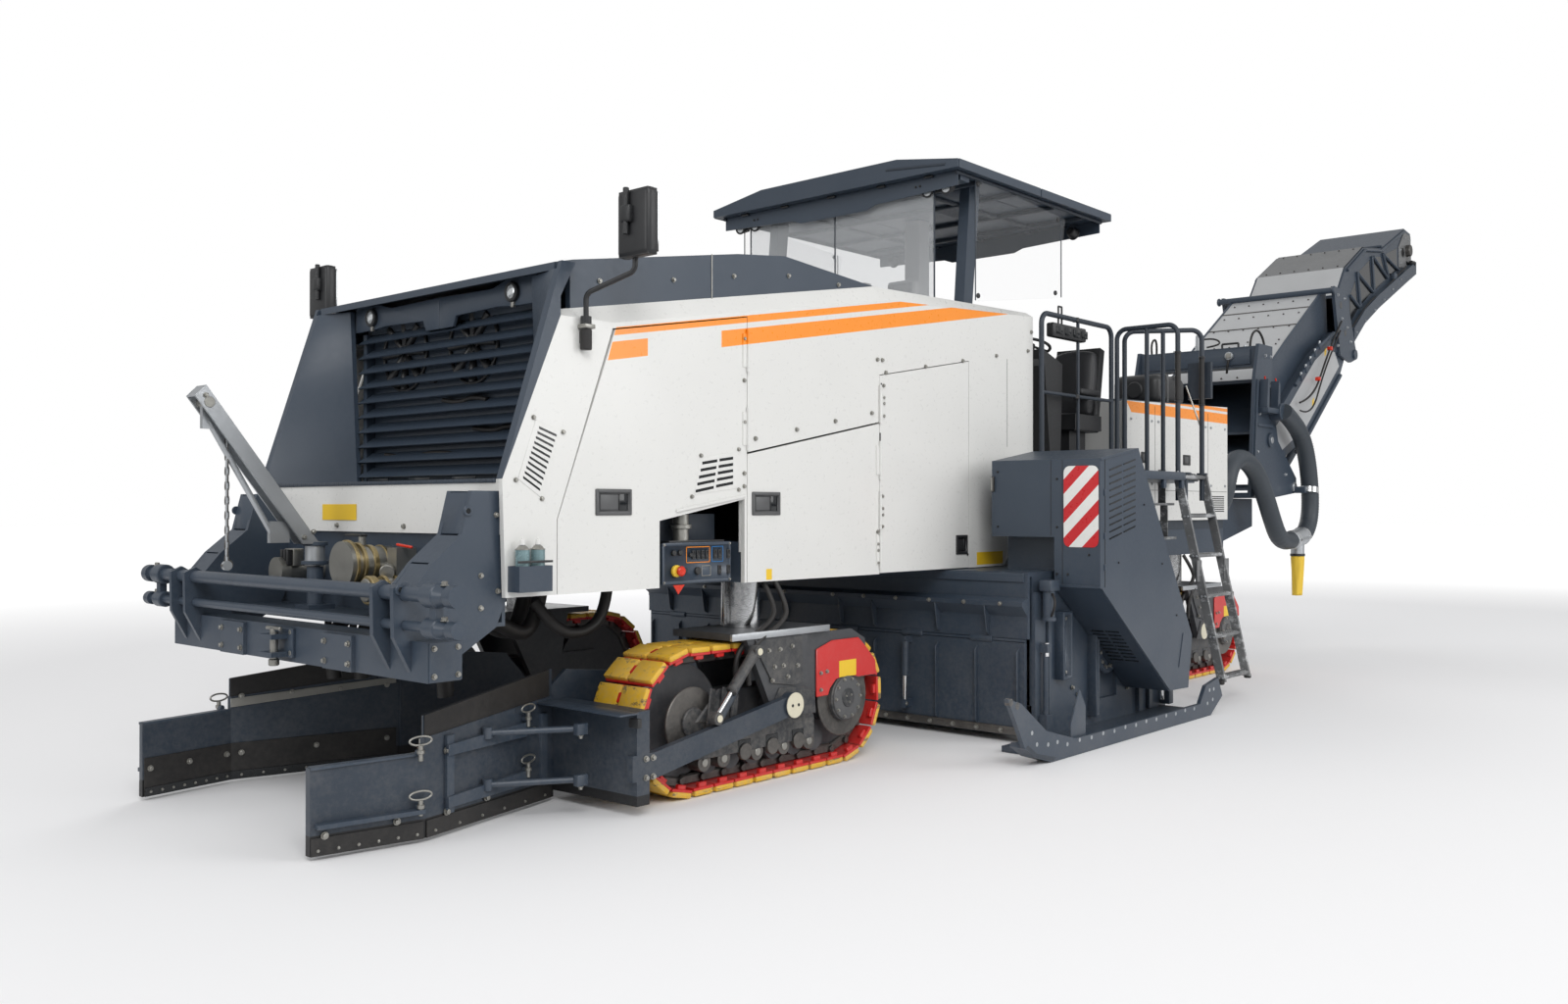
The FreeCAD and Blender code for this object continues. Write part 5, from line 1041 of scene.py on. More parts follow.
def bar_ends():
    """Rounded yokes and bolts at the ends of the push bars, plates and bolts on the lower beam."""
    made = []
    bar = -1.64
    for z, radius in ((1.235, 0.037), (1.085, 0.026)):
        several(
            made, rod,
            ("slate", (bar, -1.4, z), (bar, -1.5, z), radius + 0.022, 20, 0.006),
            ("slate", (bar, -1.495, z), (bar, -1.575, z), radius + 0.018, 20, 0.006, radius * 0.8),
            ("slate", (bar, -1.575, z), (bar, -1.635, z), radius * 0.8, 20, 0.01, radius * 0.7))
        made.append(bolts([(bar, -1.53, z + radius + 0.012)], UP, 0.014))
    for z in (0.86, 0.96):
        made.append(bolts([(-1.632, -y, z) for y in (0.455, 0.685)], AHEAD, 0.012))
    put(made, "slate", side_plate_at(rect(-1.606, 0.823, -1.425, 1.008), -1.348, -0.008, 0.003))
    made.append(bolts([(x, -1.356, z) for x in (-1.58, -1.45) for z in (0.85, 0.98)], LEFT, 0.011))
    for start, end in (
            ((-1.59, 1.258), (-1.498, 1.366)),
            ((-1.492, 1.372), (-1.334, 1.502)),
            ((-1.328, 1.51), (-1.278, 1.712))):
        put(made, "slate", sheet_metal([
            (start[0], -1.008, start[1]), (end[0], -1.008, end[1]), (end[0], -1.182, end[1]),
            (start[0], -1.182, start[1])], (0.006, 0, -0.006), 0.002))
    # Each lug gets a thin dark disc of painted shade for its bore.
    for x, z in ((-1.672, 1.252), (-1.3, 1.62)):
        several(
            made, rod,
            ("slate", (x, -1.208, z), (x, -1.222, z), 0.026, 20),
            ("screen", (x, -1.22, z), (x, -1.2235, z), 0.014, 16, 0.001))
    made.append(bolts(
        [(x, -1.2105, z) for x, z in ((-1.22, 1.3), (-1.22, 1.14), (-1.12, 1.22), (-1.13, 1.6))], LEFT,
        0.011))
    pair("front_frame_trim", "machine", made)


def hitch_and_valves():
    """The hitch pin, the water valve with its lever and clamps, the binder coupling and their hoses."""
    made = []
    pin = -1.67
    several(
        made, rod,
        ("zinc", (pin, 0, 0.835), (pin, 0, 1.0), 0.021, 20),
        ("zinc", (pin, -0.075, 0.998), (pin, 0.075, 0.998), 0.011, 14, 0.004),
        ("zinc", (pin, 0, 0.8), (pin, 0, 0.838), 0.028, 20, 0.006))
    for y, z in ((-0.09, 0.87), (-0.09, 0.98), (0.09, 0.87), (0.09, 0.98)):
        made.append(bolts([(-1.612, y, z)], AHEAD, 0.014))
    put(made, "slate", block((-1.628, -0.115, 0.845), (-1.61, 0.115, 1.0), 0.004))
    valve = at(-1.345, -0.15, 1.33)
    for start, end, radius in (
            (0.0, 0.02, 0.132), (0.055, 0.075, 0.118), (0.12, 0.15, 0.104), (0.2, 0.215, 0.102)):
        put(made, "brass", rod(valve + Vector((start, 0, 0)), valve + Vector((end, 0, 0)), radius, 36))
    # A dark disc of painted shade stands for the valve's open bore.
    put(made, "screen", rod(valve + Vector((-0.022, 0, 0)), valve + Vector((0.002, 0, 0)), 0.096, 32, 0.004))
    ring = [
        valve + Vector((0.076, 0.108 * math.cos(t * math.pi / 4), 0.108 * math.sin(t * math.pi / 4)))
        for t in range(8)]
    made.append(bolts(ring, AHEAD, 0.01))
    put(made, "zinc", rod(valve + Vector((0.1, 0, 0.1)), valve + Vector((0.1, 0, 0.15)), 0.02, 16))
    put(made, "plastic", block(
        valve + Vector((0.08, -0.02, 0.148)), valve + Vector((0.12, 0.15, 0.162)), 0.003))
    several(
        made, rod,
        ("zinc", valve + Vector((0.24, -0.02, -0.01)), valve + Vector((0.13, -0.21, -0.03)), 0.03, 18),
        ("zinc", valve + Vector((0.13, -0.21, -0.03)), valve + Vector((0.1, -0.25, -0.04)), 0.04, 18))
    for y, z in ((-0.13, 1.345), (-0.42, 1.425)):
        put(made, "stop_red", rod((-1.16, y - 0.085, z), (-1.16, y + 0.06, z + 0.012), 0.008, 10))
    cap = at(-1.365, -0.4, 1.2)
    several(
        made, rod,
        ("brass", cap, cap + Vector((0.045, 0, 0)), 0.078, 32, 0.006),
        ("zinc", cap + Vector((-0.012, 0, 0)), cap + Vector((0.003, 0, 0)), 0.062, 32, 0.005),
        ("zinc", cap + Vector((0.045, 0, 0)), cap + Vector((0.26, 0, 0.02)), 0.052, 28))
    for start in (0.09, 0.16):
        put(made, "brass", rod(
            cap + Vector((start, 0, 0.008)), cap + Vector((start + 0.02, 0, 0.01)), 0.068, 28))
    put(made, "zinc", block((-1.3, 0.5, 1.3), (-1.235, 0.61, 1.4), 0.006))
    for step in range(3):
        put(made, "plastic", block(
            (-1.33, 0.512 + 0.034 * step, 1.305), (-1.298, 0.538 + 0.034 * step, 1.395), 0.004))
    for y, sag in ((-0.28, 0.8), (0.24, 0.84), (0.52, 0.88)):
        put(made, "rubber", hose([
            (-1.04, y, 1.1), (-1.09, y, 0.95), (-1.06, y - 0.03, sag), (-0.9, y - 0.06, sag - 0.02),
            (-0.7, y - 0.05, sag + 0.16), (-0.52, y, 1.1), (-0.5, y, 1.2)], 0.022, 10))
    piece("nose_fittings", "machine", made)


def davit_chain():
    """The davit's bright flanges, clevis, guide and the chain with its hook."""
    y = 0.35
    made = []
    for side in (-1, 1):
        put(made, "galvanised", sheet_metal([
            (-1.35, y + side * 0.052, 1.432), (-1.25, y + side * 0.052, 1.432),
            (-1.898, y + side * 0.052, 2.292),
            (-1.957, y + side * 0.052, 2.232)], (0, side * 0.004, 0), 0.001))
    several(
        made, rod,
        ("slate", (-1.25, y, 1.312), (-1.25, y, 1.334), 0.075, 28),
        ("slate", (-1.25, y, 1.42), (-1.25, y, 1.442), 0.07, 28))
    made.append(bolts(
        [(-1.345, y - 0.057, 1.47), (-1.29, y - 0.057, 1.5), (-1.9, y - 0.057, 2.235)], LEFT, 0.011))
    put(made, "zinc", rod((-1.88, y - 0.06, 2.2), (-1.88, y + 0.06, 2.2), 0.03, 20))
    link = hose([
        Vector((0.011 * math.cos(a), 0, 0.021 * math.sin(a) + 0.008 * (1 if math.sin(a) > 0 else -1)))
        for a in [k * math.pi / 4 + 0.2 for k in range(8)]], 0.0042, 8, closed=True)
    dress(link, "steel_dark")
    count = 17
    spots = [
        Matrix.Translation(at(
            -1.76, y, 1.355 + 0.04 * step)) @ Matrix.Rotation(math.pi / 2 * (step % 2), 4, "Z")
        for step in range(count)]
    made.append(copies(link, spots))
    put(made, "steel_dark", hose([
        (-1.76, y, 1.352), (-1.735, y, 1.345), (-1.73, y, 1.318), (-1.752, y, 1.303), (-1.782, y, 1.312),
        (-1.786, y, 1.33)], 0.008, 8))
    piece("davit_fittings", "davit", made)


def nose_hoses():
    """Thick return hoses that loop from the nose over the front crawlers."""
    made = []
    for y, reach in ((-0.58, 0.0), (-0.44, 0.1)):
        put(made, "rubber", hose([
            (-1.0 + reach, y, 0.62), (-1.02 + reach, y, 0.8), (-0.95 + reach, y, 0.99), (-0.7, y, 1.02),
            (-0.5, y, 0.9), (-0.38, y + 0.02, 1.0), (-0.34, y + 0.02, 1.215)], 0.044, 14))
    put(made, "rubber", hose([
        (0.02, -0.72, 1.19), (-0.02, -0.74, 1.0), (-0.2, -0.74, 0.9), (-0.36, -0.7, 0.94),
        (-0.44, -0.62, 1.1)], 0.034, 12))
    pair("nose_hoses", "machine", made)


class RECYCLER_OT_front_frame(Step, bpy.types.Operator):
    """Push bar ends, hitch, valves, davit chain and hoses on the nose"""

    bl_idname = "recycler.front_frame"
    bl_label = "Front frame"
    work = (bar_ends, hitch_and_valves, davit_chain, nose_hoses)


BLADE_ROOT, BLADE_KINK, BLADE_TIP = (-0.45, 0.775), (-1.429, 1.025), (-1.974, 0.929)


def along_blade(x, z, out=0.0):
    """A point on the left blade's centre plane, pushed outwards (away from the machine's middle) by out."""
    first, last = (BLADE_KINK, BLADE_TIP) if x < BLADE_KINK[0] else (BLADE_ROOT, BLADE_KINK)
    share = (x - first[0]) / (last[0] - first[0])
    y = first[1] + (last[1] - first[1]) * share
    run = Vector((last[0] - first[0], -(last[1] - first[1]), 0)).normalized()
    outward = Vector((run.y, -run.x, 0))
    if outward.y > 0:
        outward = -outward
    return at(x, -y, z) + outward * out, outward


def blade_strip(x0, x1, low, high, out, thick, finish, bolt_rows=()):
    """A strip along the blade between two stations; low and high give its edges at each end."""
    start, outward = along_blade(x0, low[0], out)
    end, _ = along_blade(x1, low[1], out)
    strip = sheet_metal(
        [start, end, end + Vector((0, 0, high[1] - low[1])), start + Vector((0, 0, high[0] - low[0]))],
        outward * thick, 0.001)
    made = [dress(strip, finish)]
    for height, count, size in bolt_rows:
        first, _ = along_blade(x0 + (x1 - x0) * 0.06, height, out + thick)
        last, _ = along_blade(x0 + (x1 - x0) * 0.94, height, out + thick)
        made.append(bolts(line_of(first, last, count), outward * (1 if thick > 0 else -1), size))
    return made


def oval_handle(x, z):
    """A spring pin with its oval grip on the outside of a blade."""
    foot, outward = along_blade(x, z, 0.055)
    run = Vector((outward.y, -outward.x, 0))
    ring = [
        foot + Vector((0, 0, 0.045)) + run * (0.058 * math.cos(a)) + Vector((0, 0, 0.022 * math.sin(a)))
        for a in [k * math.pi / 6 for k in range(12)]]
    grip = dress(hose(ring, 0.0055, 8, closed=True), "zinc")
    pin = dress(rod(foot - Vector((0, 0, 0.055)), foot + Vector((0, 0, 0.024)), 0.012, 14), "zinc")
    collar = dress(rod(foot - Vector((0, 0, 0.02)), foot, 0.019, 14), "zinc")
    stay, _ = along_blade(x, z, 0.018)
    lug = dress(rod(stay - Vector((0, 0, 0.015)), foot - Vector((0, 0, 0.015)), 0.016, 12), "slate")
    return [grip, pin, collar, lug]


def blade_fittings():
    """Rubber aprons, wear strips, ribs, struts, pins and bolts of the front blades."""
    joint = 1.425
    made = []
    made += blade_strip(-0.47, -joint, (0.5, 0.5), (0.733, 0.619), 0.007, 0.005, "rubber")
    made += blade_strip(-0.47, -joint, (0.56, 0.5), (0.733, 0.619), -0.007, -0.005, "rubber")
    made += blade_strip(
        -0.47, -joint, (0.52, 0.448), (0.56, 0.5), -0.021, -0.006, "zinc", ((0.512, 4, 0.013),))
    for x0, x1 in ((-0.47, -joint), (-1.433, -1.968)):
        made += blade_strip(
            x0, x1, (0.02, 0.02), (0.105, 0.105), 0.021, 0.006, "rubber", ((0.045, 6, 0.006),))
        made += blade_strip(
            x0, x1, (0.02, 0.02), (0.235, 0.235), -0.021, -0.006, "rubber", ((0.175, 3, 0.013),))
        made += blade_strip(
            x0, x1, (0.02, 0.02), (0.07, 0.07), -0.027, -0.006, "screen", ((0.045, 8, 0.006),))
    made += blade_strip(-1.44, -1.95, (0.15, 0.15), (0.172, 0.172), 0.02, 0.05, "slate")
    made += blade_strip(-1.44, -1.968, (0.428, 0.42), (0.438, 0.434), -0.02, 0.052, "slate")
    for z in (0.4, 0.14):
        made += blade_strip(-0.7, -1.3, (z, z), (z + 0.075, z + 0.055), 0.02, 0.03, "slate")
    for x in (-1.25, -0.52):
        made += blade_strip(x, x - 0.05, (0.11, 0.11), (0.5, 0.5), 0.02, 0.02, "slate")
    for z in (0.195, 0.46):
        made += oval_handle(-1.46, z)
    for z in (0.234, 0.508):
        made += oval_handle(-0.702, z)
    for x, z in (
            (-1.906, 0.112), (-1.566, 0.125), (-1.293, 0.425), (-1.293, 0.12), (-1.003, 0.13), (-0.62, 0.42)):
        spot, outward = along_blade(x, z, 0.027)
        made.append(bolts([spot], outward, 0.014))
    for z in (0.202, 0.47):
        end, _ = along_blade(-1.02, z, 0.05)
        several(
            made, rod,
            ("slate", end, (-0.585, -1.243, z), 0.017, 16),
            ("slate", end - Vector((0, 0, 0.03)), end + Vector((0, 0, 0.03)), 0.026, 16))
        put(made, "slate", block((-0.65, -1.262, z - 0.03), (-0.578, -1.224, z + 0.03), 0.005))
        made.append(bolts([(-0.615, -1.243, z - 0.034)], (0, 0, -1), 0.012))
    put(made, "slate", block((-0.585, -1.522, 0.556), (-0.452, -0.745, 0.566), 0.003))
    made.append(bolts([(x, -1.4705, z) for x in (-0.36, -0.31) for z in (0.205, 0.305)], LEFT, 0.013))
    put(made, "plastic", block((-0.455, -1.512, 0.48), (-0.425, -1.44, 0.53), 0.004))
    pivot = at(0.833, -1.481, 0.453)
    put(made, "cream", rod(pivot, pivot + Vector((0, -0.008, 0)), 0.076, 40, 0.002))
    # The two dots on the pivot disc are painted shade in its holes.
    for dx in (-0.027, 0.027):
        put(made, "screen", rod(
            pivot + Vector((dx, -0.007, 0)), pivot + Vector((dx, -0.0095, 0)), 0.01, 16, 0.0005))
    top, foot = at(0.514, -1.455, 0.8), at(0.154, -1.48, 0.458)
    middle = top.lerp(foot, 0.6)
    several(
        made, rod, ("frame_black", top, middle, 0.032, 24),
        ("frame_black", middle, middle.lerp(foot, 0.04), 0.036, 24), ("chrome", middle, foot, 0.014, 20))
    for spot in (top, foot):
        several(
            made, rod,
            ("frame_black", spot + Vector((0, 0.03, 0)), spot + Vector((0, -0.035, 0)), 0.036, 24),
            ("cream", spot + Vector((0, -0.034, 0)), spot + Vector((0, -0.042, 0)), 0.021, 24))
    pair("blade_fittings", "{}_blade", made)


class RECYCLER_OT_blades(Step, bpy.types.Operator):
    """Rubber, struts, pins and bolts of the front blades"""

    bl_idname = "recycler.blades"
    bl_label = "Front blades"
    work = (blade_fittings,)


# ---------------------------------------------------------------- track frames

def track_frame(dx):
    """Guard, label, final drive, frame plates, roller brackets and hoses of one left track frame."""

    def spot(x, y, z):
        return at(x + dx, y, z)

    def plate(corners, y, thick, finish, edge=0.003):
        return dress(side_plate_at([(x + dx, z) for x, z in corners], y, -thick, edge), finish)

    made = []
    outer = -1.387
    made.append(plate([
        (1.137, 0.755), (1.29, 0.8), (1.56, 0.8), (1.64, 0.735), (1.738, 0.64), (1.748, 0.545), (1.56, 0.545),
        (1.5, 0.56), (1.42, 0.567), (1.33, 0.55), (1.27, 0.5), (1.25, 0.458),
        (1.137, 0.458)], outer, 0.012, "red", 0.004))
    made.append(plate(rect(1.358, 0.56, 1.531, 0.664), outer - 0.012, 0.0015, "label_yellow", 0.0008))
    made.append(bolts(
        [spot(x, outer - 0.012, z) for x, z in ((1.175, 0.605), (1.235, 0.61), (1.175, 0.5))], LEFT, 0.01))
    hub = spot(1.439, -1.345, 0.425)
    for radius, start, end, finish in (
            (0.245, 0.0, 0.018, "steel_dark"), (0.15, 0.015, 0.05, "frame_black"),
            (0.138, 0.045, 0.062, "handle_grey"), (0.06, 0.06, 0.068, "frame_black")):
        put(made, finish, rod(hub - Vector((0, start, 0)), hub - Vector((0, end, 0)), radius, 40, 0.005))
    ring = [
        hub + Vector((0.122 * math.cos(t * math.pi / 5), -0.062, 0.122 * math.sin(t * math.pi / 5)))
        for t in range(10)]
    made.append(bolts(ring, LEFT, 0.009))
    made.append(bolts(
        [hub + Vector((0.028 * math.cos(t), -0.068, 0.028 * math.sin(t))) for t in (0.6, 2.7, 4.8)], LEFT,
        0.006))
    idler = spot(0.109, -1.32, 0.425)
    several(
        made, rod,
        ("steel_dark", idler, idler - Vector((0, 0.02, 0)), 0.2, 36, 0.005),
        ("frame_black", idler, idler - Vector((0, 0.04, 0)), 0.085, 28, 0.005))
    made.append(plate([
        (0.0, 0.3), (0.3, 0.34), (0.6, 0.395), (1.12, 0.395), (1.16, 0.335), (1.16, 0.205), (0.3, 0.205),
        (0.02, 0.215)], -1.34, 0.018, "frame_black"))
    for x in (0.524, 0.764, 1.002):
        # A dark plate of painted shade fills the gap above each bottom roller.
        made.append(plate(rect(x - 0.052, 0.21, x + 0.052, 0.275), -1.358, 0.004, "screen", 0.001))
        put(made, "steel_dark", rod(spot(x, -1.34, 0.205), spot(x, -1.372, 0.205), 0.05, 24))
    for x in (0.2, 0.36, 0.645, 0.885, 1.12):
        several(
            made, rod,
            ("steel_dark", spot(x, -1.25, 0.185), spot(x, -1.35, 0.185), 0.052, 24),
            ("zinc", spot(x, -1.345, 0.185), spot(x, -1.356, 0.185), 0.024, 16))
    made.append(plate(
        [(0.545, 0.858), (0.97, 0.858), (0.975, 0.575), (0.9, 0.56), (0.7, 0.59), (0.6, 0.74)], -1.417, 0.01,
        "frame_black"))
    made.append(bolts([
        spot(x, -1.427, z)
        for x, z in (
            (0.66, 0.79), (0.76, 0.79), (0.71, 0.69), (0.79, 0.69), (0.69, 0.61), (0.83, 0.62), (0.87, 0.8),
            (0.92, 0.68))], LEFT, 0.011))
    made.append(plate(
        [(0.655, 0.39), (0.76, 0.56), (0.985, 0.545), (1.09, 0.505), (1.1, 0.37)], -1.417, 0.007,
        "frame_black"))
    put(made, "galvanised", block(spot(0.35, -1.425, 0.866), spot(1.235, -1.405, 0.906), 0.003))
    made.append(plate(
        [(0.1, 0.42), (0.3, 0.6), (0.47, 0.55), (0.45, 0.4)], -1.352, 0.02, "frame_black", 0.01))
    for x in (0.185, 0.285, 0.375):
        made.append(plate(
            [(x, 0.4), (x + 0.05, 0.4), (x + 0.075, 0.6), (x + 0.03, 0.61)], -1.372, 0.014, "frame_black",
            0.006))
    for y, start in ((-1.3, 0.86), (-1.345, 0.92)):
        put(made, "rubber", hose([
            spot(start, y + 0.1, 1.18), spot(start + 0.02, y, 1.02), spot(start - 0.12, y - 0.05, 0.93),
            spot(start - 0.34, y - 0.07, 0.86), spot(start - 0.44, y - 0.07, 0.74),
            spot(start - 0.4, y - 0.05, 0.6)], 0.017, 10))
    return made


def track_frames():
    """The left frame's fittings at both ends, mirrored to the right."""
    for end, dx in (("front", 0.0), ("rear", 6.85 - 0.774)):
        made = track_frame(dx)
        if end == "rear":
            pivot = at(0.833 + dx, -1.416, 0.453)
            put(made, "cream", rod(pivot, pivot + Vector((0, -0.012, 0)), 0.076, 36, 0.003))
        pair(f"{end}_frame_fittings", end + "_{}_crawler", made)


class RECYCLER_OT_track_frames(Step, bpy.types.Operator):
    """Guards, drives, plates, rollers and hoses of the track frames"""

    bl_idname = "recycler.track_frames"
    bl_label = "Track frames"
    work = (track_frames,)


# ---------------------------------------------------------------- milling unit

def outer_face(x, z, out=0.0):
    """A point on the left side housing's outer face, or proud of it."""
    return at(x, -2.32 - out, z)


def louvre(rows, corner, across, down, height, face):
    """Rows of dark slots in pairs on a face, flat plates of painted shade; across spans one row and down
    leads to the last row.
    """
    made = []
    corner, across, down, face = Vector(corner), Vector(across), Vector(down), Vector(face).normalized()
    tall = down.normalized() * height
    for row in range(rows):
        base = corner + down * (row / (rows - 1))
        for start, end in ((0.0, 0.46), (0.54, 1.0)):
            low, high = base + across * start, base + across * end
            made.append(sheet_metal([low, high, high + tall, low + tall], face * 0.0035, 0))
    return [dress(slot, "screen") for slot in made]


def side_housing_trim():
    """Folded seams, louvres, hinges and bolts of the side housings, and the warning boards."""
    made = louvre(11, outer_face(3.215, 1.905), (0.395, 0, 0.085), (0.0, 0, -0.48), 0.01, LEFT)
    made += louvre(9, at(3.52, -2.235, 0.746), (0, 0.225, 0), (0.31, 0, -0.2354), 0.013, (-0.605, 0, -0.797))
    seam = rect(3.145, 1.985, 3.151, 1.085)
    put(made, "plastic", sheet_metal([outer_face(x, z) for x, z in seam], (0, -0.002, 0), 0))
    for low in (1.2, 1.42, 1.72):
        put(made, "slate", block(outer_face(3.134, low), outer_face(3.156, low + 0.045, 0.008), 0.003))
    put(made, "slate", sheet_metal(
        [outer_face(x, z) for x, z in ((4.33, 0.42), (4.45, 0.46), (4.47, 0.66), (4.41, 0.68))],
        (0, -0.006, 0), 0.002))
    rim = [(3.085, 1.08), (3.115, 1.08), (4.185, 0.285), (4.165, 0.262)]
    put(made, "slate", sheet_metal([outer_face(x, z) for x, z in rim], (0, -0.008, 0), 0.003))
    top = [(3.085, 1.962), (3.66, 2.052), (3.657, 2.07), (3.08, 1.98)]
    put(made, "slate", sheet_metal([outer_face(x, z) for x, z in top], (0, -0.006, 0), 0.002))
    front = 3.08
    for y in (-1.934, -2.026):
        put(made, "plastic", sheet_metal([
            (front, y, 1.975), (front, y - 0.004, 1.975), (front, y - 0.004, 1.09 if y < -2 else 1.44),
            (front, y, 1.09 if y < -2 else 1.44)], (-0.0015, 0, 0), 0))
    spots = [
        (-1.985, 1.84), (-1.985, 1.5), (-1.985, 1.17), (-2.07, 1.17), (-2.235, 1.31), (-1.5, 1.9),
        (-1.5, 1.5)]
    made.append(bolts([(front, y, z) for y, z in spots], AHEAD, 0.007, "plastic"))
    put(made, "slate", sheet_metal([
        (front - 0.002, -1.965, 1.098), (front - 0.002, -2.32, 1.098), (front - 0.002, -2.32, 1.078),
        (front - 0.002, -1.965, 1.078)], (-0.008, 0, 0), 0.003))
    put(made, "steel_dark", block((front - 0.022, -1.475, 1.755), (front, -1.452, 1.865), 0.004))
    put(made, "zinc", rod((front - 0.024, -1.462, 1.76), (front - 0.024, -1.462, 1.86), 0.008, 10))
    made.append(bolts(
        [outer_face(x, z) for x, z in ((3.75, 1.66), (4.05, 1.22), (4.3, 0.82), (3.35, 1.25))], LEFT, 0.006,
        "plastic"))
    pair("side_housing_trim", "machine", made)
    edge = 0.045
    low, high = (-2.04, 1.362), (-2.308, 1.93)
    corners = []
    for (y, z), start in (
            ((low[0] - edge, low[1] + edge), 180),
            ((high[0] + edge, low[1] + edge), 270),
            ((high[0] + edge, high[1] - edge), 0),
            ((low[0] - edge, high[1] - edge), 90)):
        for step in range(5):
            turn = math.radians(start + step * 22.5)
            corners.append(at(front, y - math.cos(turn) * edge, z + math.sin(turn) * edge))
    board = dress(sheet_metal(corners, (-0.006, 0, 0), 0.0012), "warning_board")
    pair("warning_boards", "machine", [board])


def edge_plate_fittings():
    """Bolted flanges, the guide channel, the hub cover and the hook of the sliding edge plates and skis."""
    y = -1.956
    outer = -2.358
    spots = [(2.55 + 0.165 * step, 0.088 + 0.006 * (step % 2)) for step in range(13)]
    spots += [
        (2.1, 0.22), (2.16, 0.14), (2.3, 0.12), (4.82, 0.2), (4.9, 0.2), (4.88, 0.12), (2.42, 0.12),
        (4.78, 0.1)]
    made = [
        dress(rod((x, outer + 0.004, z), (x, outer - 0.0006, z), 0.014, 18, 0.0002), "galvanised")
        for x, z in spots]
    for x, z in ((1.85, 0.44), (1.925, 0.41)):
        put(made, "frame_black", rod((x, outer + 0.034, z), (x, outer - 0.0004, z), 0.024, 18, 0.0002))
    several(
        made, side_plate_at,
        (
            "slate_dark",
            [(2.02, 0.135), (2.14, 0.06), (2.36, 0.004), (2.4, 0.024), (2.16, 0.082), (2.05, 0.15)], -2.3575,
            -0.001, 0),
        ("slate", [(2.66, 0.04), (2.86, 0.04), (2.86, 0.3), (2.78, 0.42), (2.66, 0.2)], -2.325, 0.012, 0.002))
    for x0, x1, low, high in ((3.1, 3.235, 0.42, 0.9), (3.58, 3.64, 0.1, 0.8)):
        put(made, "slate", dish(block((x0, y - 0.07, low), (x1, y + 0.002, high), 0.006), LEFT, 0.018, 0.03))
        made.append(bolts([((x0 + x1) / 2, y - 0.04, z) for z in (low + 0.05, high - 0.05)], LEFT, 0.012))
    put(made, "slate", side_plate_at(rect(2.98, 0.09, 3.02, 1.04), y, -0.022, 0.004))
    for x in (4.36, 4.54):
        put(made, "slate", side_plate_at(rect(x, 0.05, x + 0.06, 0.8), y, -0.03, 0.004))
    made.append(bolts([
        (x, y - 0.004, z)
        for x, z in (
            (3.3, 0.62), (3.34, 0.34), (3.42, 0.28), (3.4, 0.2), (4.2, 0.7), (4.2, 0.25), (4.45, 0.3),
            (3.48, 0.16))], LEFT, 0.013))
    put(made, "slate", block((4.78, -2.04, 0.06), (4.86, -1.96, 0.82), 0.006))
    for x, low, high in ((4.6, 0.12, 0.62), (2.92, 0.6, 0.7)):
        rod_y = -2.06 if x > 4 else -1.992
        put(made, "chrome", rod((x, rod_y, low), (x, rod_y, high), 0.018, 20))
    put(made, "slate", dish(
        rod((3.85, -1.95, 0.56), (3.85, -1.985, 0.56), 0.165, 48, 0.008), LEFT, 0.03, 0.022))
    ring = [
        at(3.85 + 0.12 * math.cos(t * math.pi / 5), -1.975, 0.56 + 0.12 * math.sin(t * math.pi / 5))
        for t in range(10)]
    made.append(bolts(ring, LEFT, 0.014))
    pair("edge_plate_trim", "{}_edge_plate", made)
    fixed = []
    several(
        fixed, rod,
        ("slate", (2.92, -2.01, 0.86), (2.92, -2.01, 1.085), 0.043, 24, 0.006),
        ("slate", (2.92, -2.012, 0.85), (2.92, -2.012, 0.878), 0.049, 24),
        ("slate", (4.6, -2.06, 0.665), (4.6, -2.06, 1.05), 0.036, 24, 0.006))
    put(fixed, "slate", block((2.86, -2.06, 1.06), (2.99, -1.968, 1.135), 0.006))
    put(fixed, "rubber", hose(
        [(2.9, -2.05, 1.04), (2.86, -2.1, 1.0), (2.86, -2.08, 0.92), (2.89, -2.05, 0.89)], 0.009, 8))
    pair("edge_plate_guides", "machine", fixed)


